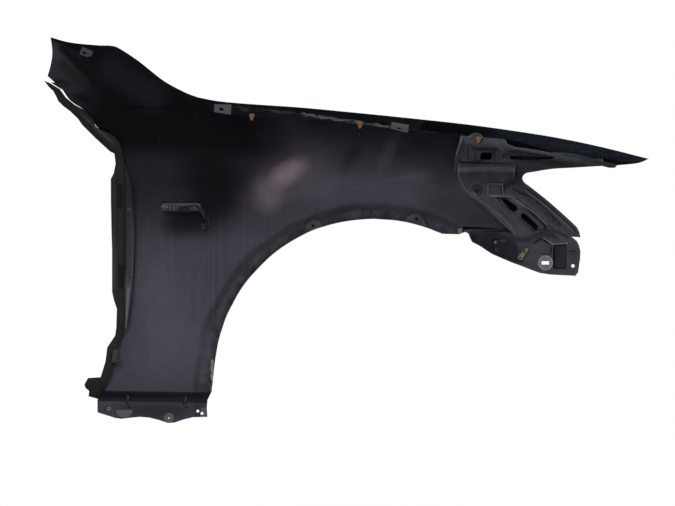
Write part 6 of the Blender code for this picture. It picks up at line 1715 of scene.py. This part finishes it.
def make_side_lamp(materials):
    """Lamp body over the opening in the skin, its socket and lever inside, its lens outside."""
    ends = spots(LAMP_HOLE_SHARES)
    body = slot_loop(*ends, LAMP_BODY_RADIUS, LAMP_END_CUTS)
    seated_slab("side_lamp_housing", body, lamp_level(SEAT_GAP), LAMP_BODY_DEPTH,
                materials["lamp housing"], (), LAMP_ROUND)
    socket = rounded_loop(spots(SOCKET_SHARES), SOCKET_CORNER)
    seated_slab("side_lamp_socket", socket, lamp_level(LAMP_BODY_FACE), SOCKET_DEPTH,
                materials["lamp socket"], (), CLIP_CORNER)
    start, end = spots(LEVER_SLOPE_SHARES)

    def lever_face(x, z):
        level = LAMP_BODY_FACE * (1 - smooth((x - start.x) / (end.x - start.x)))
        return skin_y(x, z) - SKIN_THICKNESS - level

    lever = closed(smooth_line, spots(LEVER_SHARES), FINE_STEP / 2)
    seated_slab("side_lamp_lever", lever, lever_face, LEVER_THICKNESS, materials["lamp lever"],
                step=FINE_STEP / 2)
    lens = slot_loop(*ends, LAMP_LENS_RADIUS, LAMP_END_CUTS)

    def lens_outer(x, z):
        rise = rise_inside(x, z, lens, LAMP_ROUND)
        height = LAMP_LENS_RIM_SHARE + (1 - LAMP_LENS_RIM_SHARE) * rise
        return skin_y(x, z) + SEAT_GAP + LAMP_LENS_HEIGHT * height

    add_slab("side_lamp_lens", lens, lambda x, z: skin_y(x, z) + SEAT_GAP, lens_outer,
             materials["lamp lens"], FINE_STEP, (), [ring(inner_loop(lens, LAMP_ROUND))])


# Small trim that only the looks have


def add_detail(name, outline, face, thickness, material, holes=()):
    """A small raised piece on the inboard side of a face."""
    bm = bmesh.new()
    soft = thickness * ROUND_OVER_SHARE

    def inner(x, z):
        return face(x, z) - thickness + soft * (1 - rise_inside(x, z, outline, DETAIL_ROUND))

    fill_slab(bm, outline, inner, face, DETAIL_STEP, holes,
              [ring(inner_loop(outline, DETAIL_ROUND))])
    piece = add_piece(name, bm, [material])


def sill_face(x, z):
    return sill_y(x, z) - SKIN_THICKNESS


def make_sill_details(finish):
    """Bare landing pad, ring clip, boss plug and ridges on the sill flange."""
    centre = spot(SILL_HOLE_SHARES[1])
    pad = rounded_loop(spots(SILL_PAD_SHARES), SILL_PAD_CORNER)
    clip = oval_loop(centre, RING_CLIP_SIZE, RING_CLIP_SIZE, 0, RING_SIDES)
    plug = round_loop(spot(SILL_BOSS_SHARE), BOSS_PLUG_RADIUS, KNOB_SIDES)
    for name, outline, holes in (("sill_pad", pad, ()),
                                 ("ring_clip", clip, [round_loop(centre, RING_CLIP_HOLE)]),
                                 ("boss_plug", plug, ())):
        add_detail(name + "_piece", outline, sill_face, SILL_PAD_HEIGHT, finish["bare pad"],
                   holes)
    for i, (start, end) in enumerate(SILL_RIDGE_SHARES):
        ridge = slot_loop(spot(start), spot(end), SILL_RIDGE_WIDTH / 2)
        add_detail("sill_ridge_%d_piece" % (i + 1), ridge, sill_face, SILL_RIDGE_HEIGHT,
                   finish["stamping"])


def make_lamp_details(finish):
    """Ribs over the lamp body, and the round end of its lever."""
    face = lamp_level(LAMP_BODY_FACE)
    for i, (start, end, width) in enumerate(LAMP_RIB_SHARES):
        rib = slot_loop(spot(start), spot(end), width * LENGTH)
        add_detail("lamp_rib_%d_piece" % (i + 1), rib, face, LAMP_RIB_HEIGHT, finish["lamp rib"])
    knob = round_loop(spot(LEVER_END_SHARE), LEVER_END_RADIUS, KNOB_SIDES)
    add_detail("lever_end_piece", knob, lamp_level(LEVER_THICKNESS), LEVER_THICKNESS,
               finish["lamp rib"])


def make_small_trim(finish):
    """Washer of the side bracket, ring of the rear ear, and the lips that close the seal's gaps."""
    centre = front_spot(SIDE_HOLE_SHARE)
    washer = round_loop(centre, WING_WASHER_RADIUS, KNOB_SIDES)
    hole = round_loop(centre, WING_WASHER_HOLE, SMALL_HOLE_SIDES)
    add_detail("wing_washer_piece", washer,
               lambda x, z: stamping_y(x, z) + SIDE_BOSS_DEPTH - STAMPING_THICKNESS,
               WING_WASHER_HEIGHT, finish["dark clip"], [hole])
    rim, hole = [round_loop(spot(REAR_EAR_HOLE_SHARE), radius, RING_SIDES)
                 for radius in (EAR_RING_RADIUS, EAR_RING_HOLE)]
    add_detail("ear_ring_piece", rim, lambda x, z: skin_y(x, z) + SEAL_LIP_GAP, EAR_RING_HEIGHT,
               finish["bare pad"], [hole])
    lip = closed(smooth_line, spots(SEAL_LIP_SHARES), FINE_STEP)
    add_detail("seal_lip_piece", lip, lambda x, z: skin_y(x, z) + SEAL_LIP_GAP
               + SEAL_LIP_THICKNESS, SEAL_LIP_THICKNESS, finish["rubber"])
    foot = closed(straight_line, spots(SEAL_FOOT_LIP_SHARES), FINE_STEP)
    add_detail("seal_foot_lip_piece", foot, seal_back, SEAL_LIP_THICKNESS, finish["rubber"])


# Shader helpers


def give(tree, socket, value):
    """Sets a socket's own value, or links another node's output to it."""
    if isinstance(value, bpy.types.NodeSocket):
        tree.links.new(value, socket)
    else:
        socket.default_value = value


def add_node(tree, kind, sockets=None, **settings):
    """Adds a shader node; sockets gives its inputs a value each, or another node's output."""
    node = tree.nodes.new("ShaderNode" + kind)
    for name, value in settings.items():
        setattr(node, name, value)
    for key, value in (sockets or {}).items():
        give(tree, node.inputs[key], value)
    return node


def calculate(tree, operation, *values):
    return add_node(tree, "Math", dict(enumerate(values)), operation=operation).outputs[0]


def vector(tree, operation, *values):
    """A calculation with vectors; only a length comes back as a number."""
    node = add_node(tree, "VectorMath", dict(enumerate(values)), operation=operation)
    return node.outputs["Value" if operation == "LENGTH" else "Vector"]


def noise(tree, place, scale, detail, output="Fac", **more):
    sockets = {"Vector": place, "Scale": scale, "Detail": detail, **more}
    return add_node(tree, "TexNoise", sockets).outputs[output]


def ramp(tree, value, low, high, start=0.0, end=1.0):
    """A soft step of a value from start to end between low and high."""
    sockets = {"Value": value, "From Min": low, "From Max": high, "To Min": start, "To Max": end}
    node = add_node(tree, "MapRange", sockets, interpolation_type="SMOOTHSTEP")
    return node.outputs["Result"]


def mix(tree, share, first, second):
    """Colour that goes from the first to the second with the share."""
    node = add_node(tree, "Mix", {"Factor": share}, data_type="RGBA")
    for socket, value in zip([s for s in node.inputs if s.type == "RGBA"], (first, second)):
        give(tree, socket, (*value, 1) if isinstance(value, tuple) else value)
    return [s for s in node.outputs if s.type == "RGBA"][0]


def seen_directly(tree):
    """One for the rays of the camera, of mirrors and of glass, and nothing for the rest."""
    path = add_node(tree, "LightPath").outputs
    seen = calculate(tree, "MAXIMUM", path["Is Camera Ray"], path["Is Glossy Ray"])
    return calculate(tree, "MAXIMUM", seen, path["Is Transmission Ray"])


def new_group(name, inputs, outputs=("Mask",)):
    """An empty shader group with its inputs and outputs; vectors are named in VECTOR_SOCKETS."""
    tree = bpy.data.node_groups.new(name, "ShaderNodeTree")
    for side, sockets in (("INPUT", inputs), ("OUTPUT", outputs)):
        for socket in sockets:
            kind = "NodeSocketVector" if socket in VECTOR_SOCKETS else "NodeSocketFloat"
            tree.interface.new_socket(socket, in_out=side, socket_type=kind)
    return tree, tree.nodes.new("NodeGroupInput").outputs, tree.nodes.new("NodeGroupOutput").inputs


def turned_place(tree, given):
    """The position seen from the middle of a mark and turned with it."""
    away = vector(tree, "SUBTRACT", given["Position"], given["Centre"])
    return add_node(tree, "VectorRotate", {"Vector": away, "Angle": given["Turn"]},
                    rotation_type="Y_AXIS").outputs[0]


def make_soft_patch():
    """A soft oval in the side view round a centre, turned and stretched."""
    tree, given, made = new_group("soft patch", ("Position", "Centre", "Reach", "Turn", "Edge"))
    flat = vector(tree, "MULTIPLY", turned_place(tree, given), (1, 0, 1))
    length = vector(tree, "LENGTH", vector(tree, "DIVIDE", flat, given["Reach"]))
    inner = calculate(tree, "SUBTRACT", 1.0, given["Edge"])
    tree.links.new(ramp(tree, length, 1.0, inner), made["Mask"])
    return tree


def make_line_mask():
    """A band along a straight line of the side view, and the whole side above the line."""
    names = ("Position", "Centre", "Turn", "Length", "Width", "Edge", "Fade")
    tree, given, made = new_group("line mask", names, ("Above", "Band"))
    parts = add_node(tree, "SeparateXYZ", {0: turned_place(tree, given)}).outputs
    along = calculate(tree, "ABSOLUTE", parts["X"])
    fade_start = calculate(tree, "MULTIPLY", given["Length"], given["Fade"])
    fade = ramp(tree, along, given["Length"], fade_start)
    below = calculate(tree, "MULTIPLY", given["Width"], -1.0)
    above = ramp(tree, parts["Z"], below, given["Width"])
    firm = calculate(tree, "SUBTRACT", 1.0, given["Edge"])
    inner = calculate(tree, "MULTIPLY", given["Width"], firm)
    band = ramp(tree, calculate(tree, "ABSOLUTE", parts["Z"]), given["Width"], inner)
    for name, side in (("Above", above), ("Band", band)):
        tree.links.new(calculate(tree, "MULTIPLY", side, fade), made[name])
    return tree


def make_soft_box():
    """A rectangle in the side view round a centre, turned, with a soft or a sharp edge."""
    tree, given, made = new_group("soft box", ("Position", "Centre", "Reach", "Turn", "Edge"))
    size = vector(tree, "ABSOLUTE", turned_place(tree, given))
    left = vector(tree, "SUBTRACT", given["Reach"], size)
    parts = add_node(tree, "SeparateXYZ", {0: left}).outputs
    nearest = calculate(tree, "MINIMUM", parts["X"], parts["Z"])
    tree.links.new(ramp(tree, nearest, 0.0, given["Edge"]), made["Mask"])
    return tree


def make_clouds():
    """Soft uneven tone, as dust or overspray leaves it."""
    tree, given, made = new_group("uneven tone", ("Position", "Stretch", "Scale", "Contrast"))
    stretched = vector(tree, "MULTIPLY", given["Position"], given["Stretch"])
    tone = noise(tree, stretched, given["Scale"], 6.0, Roughness=0.6)
    half = calculate(tree, "DIVIDE", 0.5, given["Contrast"])
    low = calculate(tree, "SUBTRACT", 0.5, half)
    high = calculate(tree, "ADD", 0.5, half)
    tree.links.new(ramp(tree, tone, low, high), made["Mask"])
    return tree


def make_specks():
    """Scattered small specks of dust or paint."""
    tree, given, made = new_group("specks", ("Position", "Scale", "Share", "Size"))
    cells = add_node(tree, "TexVoronoi", {"Vector": given["Position"], "Scale": given["Scale"]})
    parts = add_node(tree, "SeparateColor", {0: cells.outputs["Color"]}).outputs
    chosen = calculate(tree, "LESS_THAN", parts["Red"], given["Share"])
    size = calculate(tree, "MULTIPLY", given["Size"], parts["Green"])
    near = ramp(tree, cells.outputs["Distance"], size, 0.0)
    tree.links.new(calculate(tree, "MULTIPLY", chosen, near), made["Mask"])
    return tree


def make_scratches():
    """Fine hair scratches that run mostly along the stretch direction, in broken patches."""
    tree, given, made = new_group("scratches", ("Position", "Stretch", "Scale", "Width"))
    stretched = vector(tree, "MULTIPLY", given["Position"], given["Stretch"])
    bend = noise(tree, given["Position"], *SCRATCH_BEND, output="Color")
    lines = noise(tree, vector(tree, "ADD", bend, stretched), given["Scale"], 1.0)
    away = calculate(tree, "ABSOLUTE", calculate(tree, "SUBTRACT", lines, 0.5))
    hair = ramp(tree, away, given["Width"], 0.0)
    kept = ramp(tree, noise(tree, given["Position"], *SCRATCH_GAPS), *SCRATCH_GAP_EDGE)
    tree.links.new(calculate(tree, "MULTIPLY", hair, kept), made["Mask"])
    return tree


def make_facing_shade():
    """How squarely a surface faces inboard, for a lit colour there and painted shade where tilted."""
    tree, given, made = new_group("facing inboard", ("Low", "High"))
    parts = add_node(tree, "SeparateXYZ", {0: add_node(tree, "NewGeometry").outputs["Normal"]})
    inboard = calculate(tree, "ABSOLUTE", parts.outputs["Y"])
    tree.links.new(ramp(tree, inboard, given["Low"], given["High"]), made["Mask"])
    return tree


class Finish:
    """A material under way: its tree, its surface position, its shader and its colour so far."""

    def __init__(self, name, base, roughness, specular):
        self.material = bpy.data.materials.new(name)
        self.material.use_nodes = True
        self.tree = self.material.node_tree
        self.shader = self.tree.nodes["Principled BSDF"]
        self.shader.inputs["Roughness"].default_value = roughness
        self.shader.inputs["Specular IOR Level"].default_value = specular
        self.place = add_node(self.tree, "TexCoord").outputs["Object"]
        self.position = self.place
        self.colour = base

    def tear(self, scale, amount):
        """Makes the edges of the marks laid from here on ragged."""
        ragged = noise(self.tree, self.place, scale, TEAR_DETAIL, "Color")
        away = vector(self.tree, "SUBTRACT", ragged, (0.5, 0.5, 0.5))
        self.position = vector(self.tree, "MULTIPLY_ADD", away, (amount,) * 3, self.place)

    def mend(self):
        """Makes the edges of the marks laid from here on clean again."""
        self.position = self.place

    def mask(self, group, output="Mask", **sockets):
        """A mask from one of the shader groups, read at the present surface position."""
        node = add_node(self.tree, "Group", sockets, node_tree=GROUPS[group])
        if "Position" in node.inputs:
            self.tree.links.new(self.position, node.inputs["Position"])
        return node.outputs[output]

    def shade_by_facing(self, low, high):
        return self.mask("shade_by_facing", Low=low, High=high)

    def clouds(self, scale, contrast, stretch=(1, 1, 1)):
        """Uneven tone: its scale per metre, its contrast, and how it is drawn out."""
        return self.mask("clouds", Scale=scale, Contrast=contrast, Stretch=stretch)

    def specks(self, scale, share, size):
        """Specks: how many cells to the metre, the share of them with a speck, and its size."""
        return self.mask("specks", Scale=scale, Share=share, Size=size)

    def scratches(self, scale, width, stretch):
        """Hair lines: their scale per metre, their width, and how they are drawn out."""
        return self.mask("scratches", Scale=scale, Width=width, Stretch=stretch)

    def shape(self, kind, centre, reach, turn=0.0, edge=0.9):
        """A patch, whose edge is a share of its reach, or a box, whose edge is a width."""
        place = spot(centre)
        return self.mask(kind, Centre=(place.x, 0, place.y), Turn=turn,
                         Reach=(reach[0] * LENGTH, 1, reach[1] * LENGTH),
                         Edge=edge * LENGTH if kind == "box" else edge)

    def line(self, kind, start, end, width, edge, fade):
        """The band along a line, or what lies above the line."""
        first, last = spots((start, end))
        middle = (first + last) / 2
        arm = last - first
        return self.mask("line", kind, Centre=(middle.x, 0, middle.y),
                         Turn=math.atan2(arm.y, arm.x), Length=arm.length / 2,
                         Width=width * LENGTH, Edge=edge, Fade=fade)

    def both(self, first, second):
        return calculate(self.tree, "MULTIPLY", first, second)

    def paint(self, mask, colour, strength=None):
        """Lays a colour over what is there, where the mask is, and as strongly as given."""
        if strength is not None:
            mask = self.both(mask, strength)
        self.colour = mix(self.tree, mask, self.colour, colour)

    def lay(self, rows, within=None):
        """Paints every row of a table of marks, kept to a mask if one is given."""
        for kind, places, shape, strength, colour in rows:
            if kind in ("patch", "box"):
                masks = [self.shape(kind, *places, *shape)]
            else:
                masks = [self.line(kind, *ends, *shape) for ends in zip(places, places[1:])]
            for mask in masks:
                self.paint(mask if within is None else self.both(mask, within), colour, strength)

    def pointed(self, low, high):
        """Where the surface is pointed, as at a rubbed edge, or hollow if high lies below low."""
        return ramp(self.tree, add_node(self.tree, "NewGeometry").outputs["Pointiness"], low, high)

    def rough(self, mask, smooth_value, rough_value):
        value = ramp(self.tree, mask, 0.0, 1.0, smooth_value, rough_value)
        self.tree.links.new(value, self.shader.inputs["Roughness"])

    def bump(self, height, strength, distance):
        """Gives the shader's normal the relief of a height mask."""
        node = add_node(self.tree, "Bump", {"Height": height, "Strength": strength,
                                            "Distance": distance})
        self.tree.links.new(node.outputs["Normal"], self.shader.inputs["Normal"])

    def done(self):
        self.tree.links.new(self.colour, self.shader.inputs["Base Color"])
        return self.material


# Finishes

GROUPS = {
    "patch": make_soft_patch(),
    "line": make_line_mask(),
    "box": make_soft_box(),
    "clouds": make_clouds(),
    "specks": make_specks(),
    "scratches": make_scratches(),
    "shade_by_facing": make_facing_shade(),
}


def make_primer():
    """Inside of the skin: satin dark primer with dust and road dirt, painted shade and highlights."""
    finish = Finish("inside_primer", PRIMER_SHADE_AND_DIRT, 0.5, PRIMER_SPECULAR)
    # Painted shade: tilted faces keep the dark colour, square ones get the lit primer colour
    finish.paint(finish.shade_by_facing(*PRIMER_LIT_FACING), PRIMER_LIT)
    reach = finish.shape("patch", STREAK_CENTRE_SHARE, STREAK_REACH_SHARES)
    for clouds, strength, colour in PRIMER_STREAKS:
        finish.paint(finish.both(finish.clouds(*clouds), reach), colour, strength)
    finish.tear(*PRIMER_SOFT_TEAR)
    finish.lay(PRIMER_SHADE_SHARES)
    uneven = finish.clouds(6.0, 2.4)
    finish.paint(uneven, PRIMER_SHADE_AND_DIRT, 0.26)
    finish.lay(PRIMER_DIRT_SHARES, finish.clouds(45.0, 3.2))
    finish.lay(PRIMER_PAINTED_LIGHT_SHARES)
    mottle = finish.clouds(60.0, 2.0)
    finish.paint(mottle, PRIMER_SHADE_AND_DIRT, 0.12)
    finish.paint(finish.clouds(420.0, 2.4), PRIMER_SHADE_AND_DIRT, 0.16)
    finish.mend()
    finish.lay(PRIMER_LIGHT_AND_SHADE_LINE_SHARES + PRIMER_HIDDEN_SHADE_AND_LIGHT_SHARES)
    finish.tear(*PRIMER_TORN_TEAR)
    finish.lay(PRIMER_TORN_SHARES)
    finish.paint(finish.specks(90.0, 0.05, 0.25), DUST_PALE, 0.4)
    finish.paint(finish.scratches(7.0, 0.006, (9, 2, 3)), DUST_PALE, 0.1)
    finish.rough(uneven, *PRIMER_ROUGHNESS)
    finish.bump(mottle, 0.25, MOTTLE_HEIGHT)
    return finish.done()


def make_body_colour():
    """Painted outside: near-black blue under clear coat, with fine flakes and light dust."""
    finish = Finish("body_colour", BODY_COLOUR, 0.16, 0.2)
    finish.paint(finish.specks(1500.0, 0.25, 0.5), BODY_FLAKE, 0.35)
    dust = finish.clouds(9.0, 2.2)
    finish.paint(dust, DUST_PALE, 0.03)
    finish.paint(finish.scratches(3.0, 0.004, (3, 3, 30)), DUST_PALE, 0.05)
    finish.rough(dust, *BODY_ROUGHNESS)
    finish.bump(finish.clouds(380.0, 0.8), 0.05, FINE_GRAIN_HEIGHT)
    finish.shader.inputs["Coat Weight"].default_value = BODY_COAT
    finish.shader.inputs["Coat Roughness"].default_value = BODY_COAT_ROUGHNESS
    return finish.done()


def make_gap_paint():
    """Body colour on the hood gap wall, the ledge and the folds: dull, dusty and scuffed."""
    finish = Finish("gap_paint", GAP_COLOUR, 0.4, GAP_SPECULAR)
    finish.tear(*GAP_TEAR)
    finish.lay(GAP_SHADE_SHARES)
    finish.lay(GAP_DUST_SHARES, finish.clouds(55.0, 3.5, (1, 1, 3)))
    finish.mend()
    scuffed = finish.shape("patch", GAP_SCUFF_SHARE, GAP_SCUFF_REACH_SHARES)
    finish.paint(finish.both(finish.scratches(5.0, 0.006, (2, 2, 16)), scuffed), GAP_SCRATCH, 0.55)
    finish.lay(GAP_TAB_SHARES)
    finish.paint(finish.specks(160.0, 0.1, 0.3), DUST_PALE, 0.3)
    finish.rough(finish.clouds(20.0, 2.0), *GAP_ROUGHNESS)
    return finish.done()


def make_stamping_paint(name, marks=()):
    """Dip coat on the front stampings: satin, dusty, streaked, worn, with painted shade and highlights.
    """
    finish = Finish(name, STAMPING_SHADE, 0.45, STAMPING_SPECULAR)
    # Painted shade: tilted faces keep the shade colour, square ones get the lit dip coat
    finish.paint(finish.shade_by_facing(*STAMPING_LIT_FACING), STAMPING_LIT)
    finish.tear(*STAMPING_TEAR)
    finish.lay(STAMPING_SHADE_SHARES)
    dust = finish.clouds(22.0, 2.4)
    finish.paint(dust, STAMPING_DUST, 0.24)
    grime = finish.clouds(60.0, 2.4)
    finish.paint(grime, STAMPING_SHADE, 0.26)
    finish.mend()
    finish.lay(STAMPING_LIGHT_AND_SHADE_LINE_SHARES + marks)
    finish.paint(finish.specks(260.0, 0.12, 0.35), STAMPING_PALE, 0.4)
    finish.paint(finish.scratches(9.0, 0.01, (8, 2, 2)), STAMPING_PALE, 0.25)
    # Pale pointed edges are rubbed wear and a painted highlight; the hollows get painted shade
    finish.paint(finish.pointed(*STAMPING_WORN_LIT_EDGES), STAMPING_PALE, 0.45)
    finish.paint(finish.pointed(*STAMPING_HOLLOW_SHADE), STAMPING_SHADE, 0.6)
    finish.rough(dust, *STAMPING_ROUGHNESS)
    finish.bump(grime, 0.3, GRAIN_HEIGHT)
    return finish.done()


def make_rubber():
    """Weathered seal rubber: grey bloom over black, painted shade along its folds, painted highlights.
    """
    finish = Finish("seal_rubber_finish", RUBBER_DARK, 0.75, 0.12)
    # Bloom on the faces that look inboard; tilted faces stay dark as painted shade
    finish.paint(finish.shade_by_facing(*RUBBER_LIT_FACING), RUBBER_BLOOM, 0.75)
    finish.paint(finish.clouds(18.0, 2.4, (1, 1, 0.5)), RUBBER_DARK, 0.35)
    finish.lay(RUBBER_MARK_SHARES)
    grain = finish.clouds(240.0, 2.0)
    finish.paint(grain, RUBBER_DARK, 0.18)
    finish.paint(finish.specks(300.0, 0.12, 0.3), RUBBER_PALE, 0.4)
    finish.bump(grain, 0.35, GRAIN_HEIGHT)
    return finish.done()


def make_plastic(name, base, shade, pale, roughness, specular=0.4, wear=0.5, marks=()):
    """Moulded plastic with uneven darker dirt, pale specks, rubbed edges and a fine grain."""
    finish = Finish(name, base, roughness, specular)
    finish.paint(finish.clouds(120.0, 1.8), shade, 0.45)
    finish.lay(marks)
    finish.paint(finish.specks(700.0, 0.15, 0.4), pale, wear)
    finish.paint(finish.pointed(*PLASTIC_EDGES), pale, wear)
    finish.rough(finish.clouds(200.0, 1.8), roughness - PLASTIC_SMOOTHER,
                 roughness + PLASTIC_ROUGHER)
    finish.bump(finish.clouds(900.0, 0.5), 0.2, FINE_GRAIN_HEIGHT)
    return finish.done()


def make_floor_finish():
    """Pale floor that keeps the shadow near the part and melts into the white further out."""
    finish = Finish("studio_floor", FLOOR_COLOUR, 0.9, 0.2)
    finish.paint(finish.clouds(3.0, 0.5), FLOOR_TINT, 0.3)
    tree = finish.tree
    far = ramp(tree, vector(tree, "LENGTH", finish.place), FLOOR_FADE_START, FLOOR_FADE_END)
    share = calculate(tree, "MULTIPLY", far, seen_directly(tree))
    glow = add_node(tree, "Emission").outputs[0]
    blend = add_node(tree, "MixShader", {0: share, 1: finish.shader.outputs[0], 2: glow})
    output = next(n for n in tree.nodes if n.type == "OUTPUT_MATERIAL")
    tree.links.new(blend.outputs[0], output.inputs["Surface"])
    return finish.done()


def make_finishes():
    finish = {
        "body colour": make_body_colour(),
        "primer": make_primer(),
        "gap paint": make_gap_paint(),
        "stamping": make_stamping_paint("stamping_dip_coat"),
        "side stamping": make_stamping_paint("side_bracket_dip_coat", SIDE_MARK_SHARES),
        "rubber": make_rubber(),
    }
    for name, settings in PLASTICS.items():
        finish[name] = make_plastic(name.replace(" ", "_") + "_finish", *settings)
    finish["floor"] = make_floor_finish()
    return finish


# Floor, light and camera


def add_floor(material):
    bm = bmesh.new()
    bmesh.ops.create_circle(bm, cap_ends=True, radius=FLOOR_RADIUS, segments=FLOOR_SIDES)
    mesh = bpy.data.meshes.new("studio_floor")
    bm.to_mesh(mesh)
    bm.free()
    mesh.materials.append(material)
    floor = new_object("studio_floor", mesh)
    floor.location = (VIEW_CENTRE[0], 0, FLOOR_LEVEL)


def add_lamp(name, place, aim, size, power):
    light = bpy.data.lights.new(name, "AREA")
    light.shape = "RECTANGLE"
    light.size, light.size_y = size
    light.energy = power
    lamp = new_object(name, light)
    lamp.location = place
    lamp.rotation_euler = (Vector(aim) - Vector(place)).to_track_quat("-Z", "Y").to_euler()
    lamp.visible_camera = False


def make_world():
    """White for the rays that see the background, and a dim even light for the rest."""
    world = bpy.data.worlds.new("studio")
    bpy.context.scene.world = world
    world.use_nodes = True
    tree = world.node_tree
    sky = tree.nodes["Background"].inputs
    tree.links.new(ramp(tree, seen_directly(tree), 0.0, 1.0, WORLD_FILL, 1.0), sky["Strength"])
    sky["Color"].default_value = (1, 1, 1, 1)


def add_camera():
    """A long lens from far inboard, level with the panel, as the photograph shows it."""
    lens = bpy.data.cameras.new("camera")
    lens.sensor_width = SENSOR_WIDTH
    lens.sensor_fit = "HORIZONTAL"
    lens.lens = SENSOR_WIDTH * CAMERA_DISTANCE / VIEW_WIDTH
    lens.clip_end = 3 * CAMERA_DISTANCE
    camera = new_object("camera", lens)
    camera.location = (VIEW_CENTRE[0], VIEW_PLANE - CAMERA_DISTANCE, VIEW_CENTRE[1])
    camera.rotation_euler = (math.pi / 2, 0, 0)
    bpy.context.scene.camera = camera


def make_studio(finish):
    add_floor(finish["floor"])
    make_world()
    for lamp in LAMPS:
        add_lamp(*lamp)
    add_camera()
    bpy.context.scene.view_settings.view_transform = "Standard"


# Assembly


def build():
    finish = make_finishes()
    primer = finish["primer"]
    make_fender_panel([finish["body colour"], primer, finish["gap paint"], primer, primer])
    make_front_reinforcement(finish["stamping"])
    make_headlamp_bracket(finish["stamping"])
    make_bumper_side_bracket(finish["side stamping"])
    make_bumper_grommet(finish["white grommet"])
    make_screw_grommet(finish["dark clip"])
    make_spring_nut(finish["yellow clip"])
    make_hood_clip_seat(finish["stamping"])
    make_hood_clips(finish["orange clip"])
    make_lip_clip(finish["beige clip"])
    make_spear_film(finish["film"])
    make_rear_seal(finish["rubber"])
    make_seal_clips(finish["dark clip"])
    make_side_lamp(finish)
    make_lamp_details(finish)
    make_sill_details(finish)
    make_small_trim(finish)
    make_studio(finish)


build()
